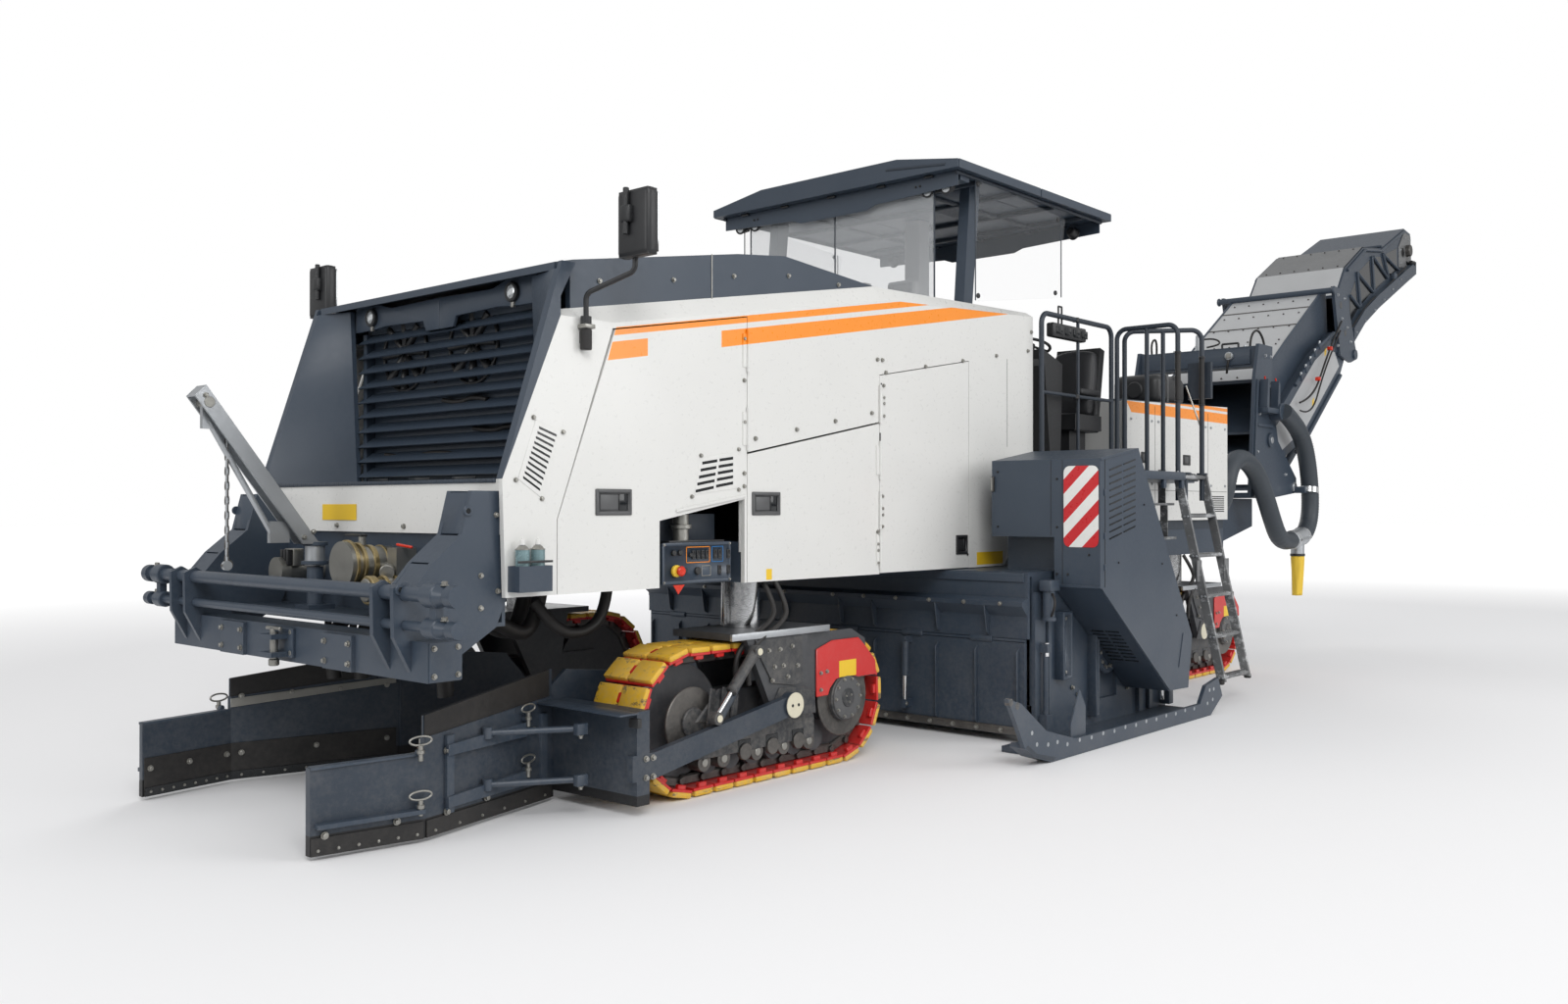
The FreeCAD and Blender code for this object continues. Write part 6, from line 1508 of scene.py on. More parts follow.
def drum_housing_trim():
    """Gussets, bolted flanges and hinge barrels on the front and rear walls of the drum housing."""
    rim_x = 2.778
    made = []
    for y in (-1.62, -1.2, -0.62, -0.3):
        put(made, "slate", sheet_metal(
            [(rim_x, y, 0.985), (rim_x, y, 0.74), (2.742, y, 0.76), (2.706, y, 0.955)], (0, 0.01, 0), 0.002))
    made.append(bolts([(2.705, -y, 0.97) for y in (0.25, 0.55, 0.85, 1.15, 1.45, 1.75)], AHEAD, 0.012))
    for y in (-0.35, -0.95, -1.55):
        several(
            made, rod,
            ("slate", (2.79, y - 0.09, 0.712), (2.79, y + 0.09, 0.712), 0.026, 16),
            ("slate", (4.965, y - 0.09, 1.12), (4.965, y + 0.09, 1.12), 0.024, 16))
    put(made, "slate", sheet_metal(
        [(rim_x, -0.02, 1.18), (rim_x, -1.9, 1.18), (rim_x, -1.9, 1.12), (rim_x, -0.02, 1.12)],
        (-0.012, 0, 0), 0.003))
    put(made, "slate", block((4.975, -1.86, 1.14), (4.992, -0.02, 1.175), 0.003))
    made.append(bolts([(4.992, -y, 1.157) for y in (0.2, 0.5, 0.8, 1.1, 1.4, 1.7)], BACK, 0.012))
    pair("drum_housing_trim", "machine", made)
    flap = []
    for y in (-1.86, -1.52, -1.18, -0.62, -0.28):
        put(flap, "slate", sheet_metal(
            [(2.781, y, 0.66), (2.781, y, 0.1), (2.75, y, 0.13), (2.744, y, 0.63)], (0, 0.01, 0), 0.002))
    put(flap, "steel_dark", block((2.762, -1.895, 0.055), (2.782, -0.005, 0.11), 0.003))
    flap.append(bolts([(2.762, -0.12 - 0.2 * step, 0.082) for step in range(9)], AHEAD, 0.013))
    several(
        flap, rod,
        ("slate", (2.715, -0.93, 0.4), (2.719, -0.93, 0.655), 0.027, 20, 0.004),
        ("chrome", (2.711, -0.93, 0.2), (2.7145, -0.93, 0.4), 0.0178, 20, 0.001),
        ("zinc", (2.71, -0.955, 0.193), (2.71, -0.905, 0.193), 0.014, 14))
    pair("flap_ribs", "flap", flap)
    scraper = []
    put(scraper, "steel_dark", block((4.978, -1.885, 0.045), (4.996, -0.005, 0.115), 0.003))
    scraper.append(bolts([(4.996, -0.12 - 0.2 * step, 0.08) for step in range(9)], BACK, 0.013))
    for y in (-1.55, -0.95, -0.35):
        put(scraper, "slate", block((4.978, y - 0.012, 0.16), (5.02, y + 0.012, 1.03), 0.003))
    pair("scraper_ribs", "scraper", scraper)


def cutting_tools():
    """Conical tools in stepped holders, set in a helix on the drum."""
    half_length, turns_per_tool, drum_radius = 1.84, 0.38, 0.4
    axis = at(3.85, 0, 0.56)
    holder = block(Vector((-0.036, -0.028, -0.012)), Vector((0.036, 0.028, 0.082)), 0.008)
    collar = rod(Vector((-0.01, 0, 0.055)), Vector((-0.05, 0, 0.095)), 0.024, 16, 0.003)
    cone = rod(Vector((-0.046, 0, 0.091)), Vector((-0.078, 0, 0.123)), 0.017, 14, 0.002, 0.008)
    tip = rod(Vector((-0.076, 0, 0.121)), Vector((-0.084, 0, 0.129)), 0.008, 10, 0.001, 0.002)
    dress(holder, "steel_dark")
    dress(collar, "steel_dark")
    dress(cone, "carbide")
    dress(tip, "zinc")
    tool = together([holder, collar, cone, tip])
    count = 66
    places = []
    for index in range(count):
        share = (index + 0.5) / count
        y = (2 * share - 1) * half_length + 0.014
        turn = Matrix.Rotation(math.radians(360 * turns_per_tool * index + 21), 4, "Y")
        places.append(
            Matrix.Translation(axis + Vector((0, y, 0))) @ turn @ Matrix.Translation((0, 0, drum_radius)))
    tools = copies(tool, places)
    piece("cutting_tools", "rotor", [tools])


class RECYCLER_OT_side_housings(Step, bpy.types.Operator):
    """Seams, louvres and warning boards of the side housings, and the sliding edge plates' fittings"""

    bl_idname = "recycler.side_housings"
    bl_label = "Side housings"
    work = (side_housing_trim, edge_plate_fittings)


class RECYCLER_OT_milling_unit(Step, bpy.types.Operator):
    """Ribs and hinges of the drum housing, flap and scraper, and the cutting tools"""

    bl_idname = "recycler.milling_unit"
    bl_label = "Milling unit"
    work = (drum_housing_trim, cutting_tools)


# ---------------------------------------------------------------- platform and canopy

def lamp_head(point, direction, radius=0.055):
    """A round work lamp: housing, sunk lens and bracket, facing the direction."""
    point, direction = Vector(point), Vector(direction).normalized()
    shell = rod(point - direction * 0.075, point, radius * 0.72, 28, 0.01, radius)
    rim = dish(
        rod(point - direction * 0.006, point + direction * 0.012, radius + 0.004, 28, 0.004), direction,
        0.008, 0.01)
    glass = rod(point - direction * 0.004, point + direction * 0.006, radius - 0.008, 28, 0.003)
    return [dress(shell, "plastic"), dress(rim, "plastic"), dress(glass, "lens")]


def canopy_trim():
    """The roof's folded rim, front and rear bands, ribs, clips, lamps and mast fittings."""
    rim_y = 1.261
    made = []
    for x, out in ((3.02, -1), (5.225, 1)):
        thick = Vector((0.012 * out, 0, 0))
        band = [
            (-1.2, 4.15), (1.2, 4.15), (1.2, 4.042), (0.43, 4.012), (0.34, 3.98), (-0.34, 3.98),
            (-0.43, 4.012), (-1.2, 4.042)]
        put(made, "slate", sheet_metal([(x, y, z) for y, z in band], thick, 0.003))
        made.append(bolts(
            [(x + 0.012 * out, y, 4.085) for y in (-0.86, -0.82, 0.82, 0.86)], (out, 0, 0), 0.007, "plastic"))
        for y in (-0.95, -0.5, 0.0, 0.5, 0.95):
            put(made, "slate_dark", block((x - 0.03, y - 0.028, 4.13), (x + 0.034, y + 0.028, 4.158), 0.005))
            put(made, "plastic", rod(
                (x + 0.03 * out, y - 0.04, 4.14), (x + 0.03 * out, y + 0.04, 4.14), 0.01, 12))
    for side in (-1, 1):
        for x0, x1 in ((2.935, 4.11), (4.125, 5.315)):
            put(made, "slate", sheet_metal([
                (x0, side * rim_y, 4.146), (x0, side * rim_y, 4.212), (x1, side * rim_y, 4.212),
                (x1, side * rim_y, 4.146)], (0, side * 0.004, 0), 0.001))
        put(made, "slate_dark", rod((2.99, side * 1.195, 4.138), (5.26, side * 1.195, 4.138), 0.016, 12))
    for x in (3.35, 3.85, 4.45, 4.95):
        put(made, "slate_dark", block((x, -1.17, 4.118), (x + 0.045, 1.17, 4.152), 0.008))
    for y in (-0.62, 0.62):
        several(
            made, block,
            ("slate_dark", (3.1, y - 0.03, 4.126), (5.15, y + 0.03, 4.151), 0.006),
            ("slate", (3.5, y - 0.3, 4.143), (4.35, y + 0.3, 4.151), 0.004))
    put(made, "slate_dark", rod((2.925, -0.6, 4.235), (2.925, -1.15, 4.185), 0.012, 12))
    put(made, "slate_dark", block((3.95, -0.34, 4.292), (4.35, 0.34, 4.299), 0.003))
    piece("canopy_frame", "machine", made)
    lamps = []
    for y in (-0.98, 0.98):
        bracket = [at(3.09, y - 0.13, 4.075), at(3.13, y, 4.03), at(3.09, y + 0.13, 4.075)]
        put(lamps, "plastic", hose(bracket, 0.012, 8))
        for shift in (-0.085, 0.085):
            lamps += lamp_head(at(3.055, y + shift, 4.055), (-1, 0, -0.15), 0.05)
        lamps += lamp_head(at(5.17, y, 4.055), (1, 0, -0.2), 0.05)
    piece("canopy_lamps", "machine", lamps)
    mast = []
    several(
        mast, block,
        ("mast_grey", (4.096, -0.079, 1.95), (4.254, 0.079, 4.14), 0.012, 3),
        ("mast_grey", (3.86, -0.2, 3.26), (3.96, 0.1, 3.58), 0.03, 3),
        ("handle_grey", (3.845, -0.175, 3.29), (3.862, 0.075, 3.55), 0.008, 2))
    put(mast, "mast_grey", rod((3.92, -0.05, 3.42), (4.15, 0.0, 3.42), 0.022, 16))
    put(mast, "mast_grey", hose(
        [(3.98, 0.16, 3.22), (3.88, 0.3, 3.24), (3.84, 0.36, 3.34), (3.88, 0.4, 3.5), (3.98, 0.32, 3.56)],
        0.017, 10))
    put(mast, "mast_grey", block((3.82, 0.3, 3.5), (3.92, 0.46, 3.6), 0.012, 2))
    several(
        mast, rod,
        ("mast_grey", (3.8, 0.36, 3.53), (3.8, 0.52, 3.52), 0.026, 16),
        ("mast_grey", (4.05, 0.1, 3.22), (4.0, 0.3, 3.22), 0.016, 12))
    piece("mast_fittings", "machine", mast)
    glass = []
    for y in (-0.951, 0.02, 0.951):
        put(glass, "slate_dark", block((3.058, y - 0.004, 3.205), (3.072, y + 0.004, 4.15), 0.002))
    for side in (-1, 1):
        for x, low, high in ((3.25, 3.21, 4.14), (4.555, 3.395, 4.06)):
            put(glass, "slate_dark", rod((x, side * 1.199, low), (x, side * 1.199, high), 0.005, 8, 0.001))
        for x, z in ((3.29, 4.1), (4.5, 4.035), (3.29, 3.25), (4.46, 3.42)):
            put(glass, "plastic", rod((x, side * 1.19, z), (x, side * 1.206, z), 0.02, 18))
    piece("window_edges", "machine", glass)


def cushion(low, high, crown):
    """A padded block: subdivided, crowned away from its seat and pulled in along a piping seam."""
    low, high = Vector(low), Vector(high)
    deselect()
    bpy.ops.mesh.primitive_cube_add(size=1, location=(low + high) / 2)
    bpy.context.object.scale = [abs(c) for c in high - low]
    obj = settle()
    bpy.ops.object.mode_set(mode="EDIT")
    bpy.ops.mesh.select_all(action="SELECT")
    bpy.ops.mesh.subdivide(number_cuts=9)
    bpy.ops.object.mode_set(mode="OBJECT")
    middle = (low + high) / 2
    half = (high - low) / 2
    for vertex in obj.data.vertices:
        u, v, w = ((vertex.co[axis] - middle[axis]) / half[axis] for axis in range(3))
        swell = (1 - u ** 4) * (1 - v ** 4)
        round_off = 1 - 0.1 * (u * u * v * v) - 0.05 * w * w * max(u * u, v * v)
        vertex.co.x = middle.x + (vertex.co.x - middle.x) * round_off
        vertex.co.y = middle.y + (vertex.co.y - middle.y) * round_off
        if w > 0:
            channel = 0.35 * crown * math.exp(-((abs(v) - 0.45) / 0.05) ** 2)
            vertex.co.z += w * (crown * swell - channel * (1 - u ** 4)) - crown
    smooth = obj.modifiers.new("round", "SUBSURF")
    smooth.levels = smooth.render_levels = 1
    pick(obj)
    bpy.ops.object.modifier_apply(modifier="round")
    bpy.ops.object.shade_smooth()
    return dress(obj, "seat_vinyl")


def seats():
    """Two driver's seats: cushion, back, arm rests, shell and pedestal."""
    for name, side in SIDES:
        near, far = 0.79, 1.25
        middle = side * (near + far) / 2
        y0, y1 = sorted((side * near, side * far))
        seat = cushion(at(4.7, y0, 2.3), at(5.16, y1, 2.452), 0.03)
        piece(f"{name}_seat_cushion", "machine", [seat])
        back = cushion(at(5.1, y0 + 0.02, 2.4), at(5.1 + 0.615, y1 - 0.02, 2.53), 0.028)
        back.data.transform(
            Matrix.Translation(at(5.1, 0, 2.4)) @ Matrix.Rotation(
                math.radians(-80), 4, "Y") @ Matrix.Translation(-at(5.1, 0, 2.4)))
        piece(f"{name}_seat_back", "machine", [back])
        made = []
        for edge in (-0.205, 0.205):
            put(made, "seat_vinyl", block(
                (4.8, middle + edge - 0.032, 2.6), (5.14, middle + edge + 0.032, 2.652), 0.018, 3))
            put(made, "plastic", rod((5.1, middle + edge, 2.44), (5.1, middle + edge, 2.61), 0.016, 12))
        for step in range(5):
            low = 1.945 + 0.072 * step
            put(made, "rubber", block(
                (4.775 + 0.006 * step, middle - 0.135 + 0.006 * step, low),
                (5.025 - 0.006 * step, middle + 0.135 - 0.006 * step, low + 0.058), 0.014, 2))
        put(made, "plastic", block((4.715, y0 + 0.015, 2.288), (5.145, y1 - 0.015, 2.318), 0.01))
        piece(f"{name}_seat_frame", "machine", made)


def consoles():
    """Steering wheels, keypads and joysticks, the display bar with its screens, plate and whip."""
    wheel_x, wheel_radius = 4.345, 0.165
    made = []
    for side in (-1, 1):
        middle = side * 1.02
        hub = at(wheel_x, middle, 2.905)
        tilt = Vector((0.3, 0, 1)).normalized()
        place = facing(hub + tilt * 0.085, tilt)
        ring = [
            place @ Vector((
                wheel_radius * math.cos(t * math.pi / 6), wheel_radius * math.sin(t * math.pi / 6), 0))
            for t in range(12)]
        put(made, "plastic", hose(ring, 0.013, 10, 4, True))
        for turn in range(3):
            angle = turn * 2 * math.pi / 3
            put(made, "plastic", rod(
                place.translation, place @ Vector((0.16 * math.cos(angle), 0.16 * math.sin(angle), 0)), 0.011,
                10))
        put(made, "plastic", rod(hub, hub + tilt * 0.1, 0.034, 20))
        several(
            made, block,
            ("handle_grey", (4.215, middle - wheel_radius, 2.795), (4.3, middle + wheel_radius, 2.885), 0.01),
            ("handle_grey", (4.45, middle - 0.13, 2.55), (4.49, middle + 0.13, 2.74), 0.006))
        for row in range(3):
            for col in range(4):
                spot = at(4.487, middle - 0.09 + 0.06 * col, 2.595 + 0.048 * row)
                put(
                    made, "stop_red" if (row, col) == (2, 3) else "plastic",
                    rod(spot, spot + Vector((0.012, 0, 0)), 0.013, 12, 0.003))
        stick = at(4.43, middle + side * -0.1, 2.84)
        several(
            made, rod,
            ("plastic", stick, stick + Vector((0.01, 0, 0.1)), 0.012, 12),
            (
                "plastic", stick + Vector((0.01, 0, 0.09)), stick + Vector((0.016, 0, 0.155)), 0.024, 18,
                0.008, 0.02))
        put(made, "plastic", dish(
            block((4.262, side * 0.76 - 0.14, 2.7), (4.3, side * 0.76 + 0.14, 2.905), 0.01, 2), BACK, 0.014,
            0.006))
        put(made, "screen", block(
            (4.29, side * 0.76 - 0.12, 2.722), (4.297, side * 0.76 + 0.12, 2.884), 0.002))
    put(made, "plastic", block((4.296, -1.004, 2.686), (4.394, 1.004, 2.774), 0.016, 3))
    y = -1.29
    put(made, "plastic", block((4.17, y - 0.055, 3.02), (4.72, y + 0.015, 3.135), 0.014, 2))
    for x in (4.22, 4.36, 4.5, 4.64):
        put(made, "screen", block((x, y - 0.062, 3.045), (x + 0.09, y - 0.052, 3.11), 0.004))
    frame = [at(wheel_x, y, 3.13), at(wheel_x, y, 3.285), at(4.4, y, 3.285), at(4.4, y, 3.13)]
    put(made, "plastic", bar_of(frame, 0.008))
    put(made, "plastic", rod((4.06, -0.42, 2.75), (4.06, -0.42, 3.4), 0.006, 10, 0.001, 0.002))
    piece("operator_controls", "machine", made)


def bar_of(points, radius):
    """Straight round bars joined end to end."""
    made = [rod(start, end, radius, 12, 0.001) for start, end in zip(points, points[1:])]
    return together(made)


def rail_trim():
    """Base plates, clamps, grips and end caps of the handrails, step plates and the ladder's treads."""
    rung_start, rung_end, deck_z, foot_z, foot_y, top_y = 5.375, 5.865, 1.93, 0.2, 2.2, 1.815
    made = []
    for x in (4.04, 5.23):
        put(made, "slate_dark", rod((x, -1.31, deck_z), (x, -1.31, 1.944), 0.052, 20))
        made.append(bolts(
            [(x + dx, -1.31 + dy, 1.944) for dx, dy in ((0.035, 0), (-0.035, 0), (0, 0.035), (0, -0.035))],
            UP, 0.008, "galvanised"))
    for x in (rung_start, rung_end, 5.52):
        for y in (-1.29, -1.85):
            several(
                made, rod,
                ("slate_dark", (x, y, 1.926), (x, y, 1.942), 0.046, 20),
                ("slate_dark", (x, y, 1.7), (x, y, deck_z), 0.0215, 16))
    for x, z in ((4.6, 3.2), (4.6, 2.56)):
        put(made, "plastic", rod((x, -1.31, z - 0.018), (x, -1.31, z + 0.018), 0.028, 16))
    for x in (rung_start, rung_end):
        put(made, "rubber", rod((x, -1.85, 2.55), (x, -1.85, 2.95), 0.024, 18, 0.004))
        for z in (2.54, 2.96):
            put(made, "plastic", rod((x, -1.85, z - 0.008), (x, -1.85, z + 0.008), 0.028, 18))
    put(made, "zinc", rod((5.88, -1.85, 2.3), (5.88, -1.7, 2.72), 0.008, 10))
    face = at(5.908, -1.812, 2.757)
    put(made, "plastic", dish(
        block((5.918, -1.905, 2.6), (5.958, -1.7, 2.915), 0.018, 3), AHEAD, 0.014, 0.01))
    put(made, "mirror_glass", block((5.925, -1.89, 2.616), (5.931, -1.716, 2.899), 0.002))
    put(made, "plastic", rod(face + Vector((0.03, 0, 0)), face + Vector((0.06, 0, 0)), 0.03, 16))
    pair("rail_trim", "machine", made)
    steps = []
    for x0, x1, y0, y1, z in (
            (4.06, 5.29, 1.34, 1.93, 1.934), (5.32, 5.87, 1.29, 1.79, 1.934),
            (5.625, 6.49, 1.275, 1.485, 1.934)):
        put(steps, "chequer", block((x0, -y1, z - 0.006), (x1, -y0, z + 0.004), 0.002))
        spots = [at(x, -y, z + 0.004) for x in (x0 + 0.03, x1 - 0.03) for y in (y0 + 0.03, y1 - 0.03)]
        steps.append(bolts(spots, UP, 0.008, "galvanised"))
    put(steps, "slate", block((4.02, -1.948, 1.872), (5.3, -1.952, 1.935), 0.002))
    for x in (4.1, 4.5, 4.9, 5.24):
        put(steps, "slate", block((x, -1.945, 1.8), (x + 0.05, -1.915, 1.875), 0.004))
    for index in range(2):
        z = 1.66 - 0.3 * index
        y = 1.5 + 0.02 * index
        put(steps, "speckled", block((5.34, -y - 0.1, z), (5.86, -y + 0.06, z + 0.022), 0.004))
        for x in (5.345, 5.845):
            put(steps, "speckled", block((x, -y - 0.02, z), (x + 0.012, -y + 0.05, z + 0.32), 0.003))
    pair("deck_plates", "machine", steps)
    treads = []
    rise = (deck_z - foot_z - 0.06) / 5
    for index in range(6):
        z = 0.23 + rise * index
        y = foot_y + (top_y - foot_y) / (deck_z - foot_z) * (z - foot_z)
        put(treads, "speckled", block(
            (rung_start, -y - 0.066, z - 0.006), (rung_end, -y + 0.012, z + 0.016), 0.004))
        teeth = block((5.4, -y - 0.06, z + 0.014), (5.418, -y + 0.004, z + 0.024), 0.002, 1)
        places = [Matrix.Translation((0.0405 * step, 0, 0)) for step in range(11)]
        put(treads, "speckled", copies(teeth, places))
        treads.append(bolts([(5.342, -y - 0.025, z), (5.342, -y - 0.055, z)], AHEAD, 0.008, "galvanised"))
        treads.append(bolts([(5.898, -y - 0.025, z)], BACK, 0.008, "galvanised"))
    for x in (5.336, 5.904):
        put(treads, "rubber", rod((x, -2.235, 0.178), (x, -2.235, 0.215), 0.03, 16, 0.006))
        put(treads, "speckled", side_plate_at(rect(x - 0.045, 1.02, x + 0.045, 1.2), -2.045, -0.012))
    pair("ladder_treads", "machine", treads)


class RECYCLER_OT_canopy(Step, bpy.types.Operator):
    """Rim, bands, ribs, lamps, mast fittings and window edges of the roof"""

    bl_idname = "recycler.canopy"
    bl_label = "Canopy"
    work = (canopy_trim,)


class RECYCLER_OT_platform(Step, bpy.types.Operator):
    """Seats, consoles, rails, deck plates and ladders"""

    bl_idname = "recycler.platform"
    bl_label = "Operators' platform"
    work = (seats, consoles, rail_trim)


# ---------------------------------------------------------------- rear hood and conveyor

def plate_on(y, corners, thick, finish, edge=0.003):
    """A finished plate in a plane along the machine, proud of the left side by its thickness."""
    return dress(side_plate_at(corners, -y, -thick, edge), finish)


def rear_hood_trim():
    """The dark top, seams, pulls and filter cover of the rear hood."""
    made = []
    seam = HALF
    for x in (6.19, 7.384):
        made.append(plate_on(seam, rect(x, 1.56, x + 0.005, 2.58), 0.001, "plastic", 0))
    made.append(plate_on(seam, rect(5.63, 1.8, 7.85, 1.804), 0.001, "plastic", 0))
    made.append(bolts(
        [(x, -seam, z) for x in (5.7, 6.12, 6.26, 7.32, 7.45, 7.8) for z in (1.86, 2.44)], LEFT, 0.01,
        "galvanised"))
    for x in (5.9, 6.8):
        several(
            made, block,
            ("plastic", (x, -seam - 0.008, 2.05), (x + 0.16, -seam + 0.002, 2.15), 0.006, 3),
            ("handle_grey", (x + 0.02, -seam - 0.013, 2.07), (x + 0.1, -seam - 0.004, 2.13), 0.005, 2))
    # Rows of dark slots of painted shade for a vent.
    for row in range(8):
        z = 1.6 + 0.021 * row
        made.append(plate_on(seam, rect(7.46, z, 7.78, z + 0.01), 0.002, "screen", 0))
    pair("rear_hood_trim", "machine", made)
    top = []
    put(top, "slate_dark", sheet_metal(
        [(5.64, -1.15, 2.602), (7.44, -1.15, 2.658), (7.44, 1.15, 2.658), (5.64, 1.15, 2.602)], (0, 0, 0.022),
        0.008, 2))
    for y0, y1 in ((-1.02, -0.52), (0.52, 1.02)):
        put(top, "plastic", block((6.78, y0, 2.65), (7.42, y1, 2.955), 0.085, 6))
        put(top, "plastic", rod((6.86, (y0 + y1) / 2, 2.8), (6.765, (y0 + y1) / 2, 2.8), 0.085, 32, 0.012))
        for x in (6.98, 7.2):
            put(top, "handle_grey", block((x, y0 - 0.004, 2.66), (x + 0.035, y1 + 0.004, 2.961), 0.082, 6))
    for y in (0.3, -0.3):
        put(top, "galvanised", hose(
            [(5.8, y, 2.61), (5.8, y, 2.7), (6.1, y, 2.72), (6.1, y, 2.62)], 0.013, 10))
    piece("rear_hood_top", "machine", top)
    back = []
    several(
        back, block,
        ("slate_dark", (7.862, -1.18, 1.58), (7.88, -0.62, 2.56), 0.004),
        ("slate_dark", (7.862, 0.62, 1.58), (7.88, 1.18, 2.56), 0.004))
    for side in (-1, 1):
        for row in range(14):
            z = 1.68 + 0.058 * row
            put(back, "slate", block(
                (7.876, side * 0.9 - 0.24, z), (7.892, side * 0.9 + 0.24, z + 0.03), 0.004, 1))
        put(back, "stop_red", rod((7.9, side * 0.48, 1.3), (8.02, side * 0.48, 1.3), 0.05, 24, 0.006))
        several(
            back, block,
            ("plastic", (7.865, side * 0.66 - 0.09, 1.22), (7.9, side * 0.66 + 0.09, 1.38), 0.008),
            ("stop_red", (7.895, side * 0.66 - 0.07, 1.24), (7.906, side * 0.66 + 0.07, 1.36), 0.004))
    piece("rear_wall_trim", "machine", back)


def slew_fittings():
    """Valve, pull, light cylinder, stays, bolts and hoses on the slewing frame."""
    pin_x, mast_x = 10.35, 10.16
    made = []
    out = 0.768
    made.append(bolts([
        (x, -out, z)
        for x, z in (
            (9.85, 1.88), (9.95, 2.3), (10.02, 2.75), (10.2, 3.45), (10.38, 3.45), (10.38, 3.1),
            (10.85, 2.05), (11.12, 1.87))], LEFT, 0.016, "galvanised"))
    several(
        made, rod,
        ("slate", (pin_x, -out + 0.004, 2.45), (pin_x, -out - 0.026, 2.45), 0.085, 32, 0.005),
        ("galvanised", (pin_x, -out - 0.02, 2.45), (pin_x, -out - 0.036, 2.45), 0.04, 24, 0.005),
        ("galvanised", (11.14, -out + 0.004, 1.9), (11.14, -out - 0.022, 1.9), 0.062, 28, 0.005))
    made.append(plate_on(out, [(9.8, 1.775), (9.93, 3.15), (9.97, 3.15), (9.86, 1.775)], 0.02, "slate"))
    made.append(plate_on(out, rect(9.95, 2.6, 10.42, 2.64), 0.02, "slate"))
    put(made, "slate", block((9.98, -0.89, 2.76), (10.4, -0.768, 2.82), 0.006))
    for x in (10.02, 10.36):
        made.append(plate_on(
            0.775, [(x - 0.03, 2.8), (x + 0.04, 2.8), (x + 0.05, 3.12), (x + 0.01, 3.16)], 0.1, "slate",
            0.004))
        several(
            made, rod,
            ("galvanised", (x + 0.03, -0.86, 3.12), (x + 0.03, -0.79, 3.12), 0.02, 16),
            ("stop_red", (x + 0.03, -0.83, 3.12), (x + 0.01, -0.83, 3.19), 0.01, 12))
    pair("slew_frame_trim", "conveyor_slewing", made)
    front = []
    put(front, "slate", block((10.015, -0.66, 3.345), (10.045, 0.66, 3.535), 0.006))
    valve = at(10.015, -0.42, 3.455)
    several(
        front, rod,
        ("galvanised", valve, valve + Vector((-0.05, 0, 0)), 0.048, 28, 0.005),
        ("zinc", valve + Vector((-0.045, 0, 0)), valve + Vector((-0.068, 0, 0)), 0.03, 20, 0.004))
    front.append(bolts(
        [valve + Vector((-0.05, 0.034 * math.cos(t), 0.034 * math.sin(t))) for t in (0.8, 2.4, 4.0, 5.5)],
        AHEAD, 0.006))
    put(front, "rubber", hose([
        valve + Vector((-0.03, 0, -0.03)), valve + Vector((-0.06, 0.01, -0.12)),
        valve + Vector((0.0, 0.04, -0.2))], 0.014, 10))
    handle = [
        at(10.17, -0.46, 3.56), at(10.17, -0.46, 3.625), at(10.17, -0.26, 3.625), at(10.17, -0.26, 3.56)]
    put(front, "plastic", bar_of(handle, 0.013))
    several(
        front, rod,
        ("galvanised", (mast_x, 0.02, 3.56), (mast_x, 0.02, 3.76), 0.05, 28, 0.006),
        ("zinc", (mast_x, 0.02, 3.76), (mast_x, 0.02, 3.785), 0.03, 20, 0.005))
    loop = [
        at(mast_x, 0.04, 3.7), at(10.22, -0.1, 3.72), at(10.24, -0.2, 3.68), at(10.18, -0.22, 3.62),
        at(10.14, -0.08, 3.6)]
    put(front, "rubber", hose(loop, 0.011, 8))
    for y in (-0.62, 0.62):
        line = [
            at(10.12, y, 3.54), at(10.1, y * 1.02, 3.7), at(10.3, y * 1.05, 3.8), at(10.42, y * 1.12, 3.6),
            at(10.4, y * 1.16, 3.2)]
        put(front, "rubber", hose(line, 0.014, 8))
    for x, y in ((10.06, 0.3), (10.28, 0.3), (10.06, -0.58), (10.28, -0.58)):
        front.append(bolts([(x, y, 3.561)], UP, 0.014, "galvanised"))
    piece("slew_beam_fittings", "conveyor_slewing", front)


def sloped(line, half, lift, thick, finish):
    """Sheets across the machine along a line of (station, height) points, lifted off it."""
    made = []
    for (x0, z0), (x1, z1) in zip(line, line[1:]):
        up = Vector((z0 - z1, 0, x1 - x0)).normalized()
        base = up * lift
        put(made, finish, sheet_metal([
            at(x0, -half, z0) + base, at(x1, -half, z1) + base, at(x1, half, z1) + base,
            at(x0, half, z0) + base], up * thick, 0.0015))
    return made


def rivets(line, half, count, lift, along):
    """Rows of dome rivets across a sloping cover."""
    made = []
    (x0, z0), (x1, z1) = line
    up = Vector((z0 - z1, 0, x1 - x0)).normalized()
    spots = []
    for share in along:
        spots += line_of(
            at(x0 + (x1 - x0) * share, -half, z0 + (z1 - z0) * share) + up * lift,
            at(x0 + (x1 - x0) * share, half, z0 + (z1 - z0) * share) + up * lift, count)
    made.append(bolts(spots, up, 0.01, "steel_dark"))
    return made


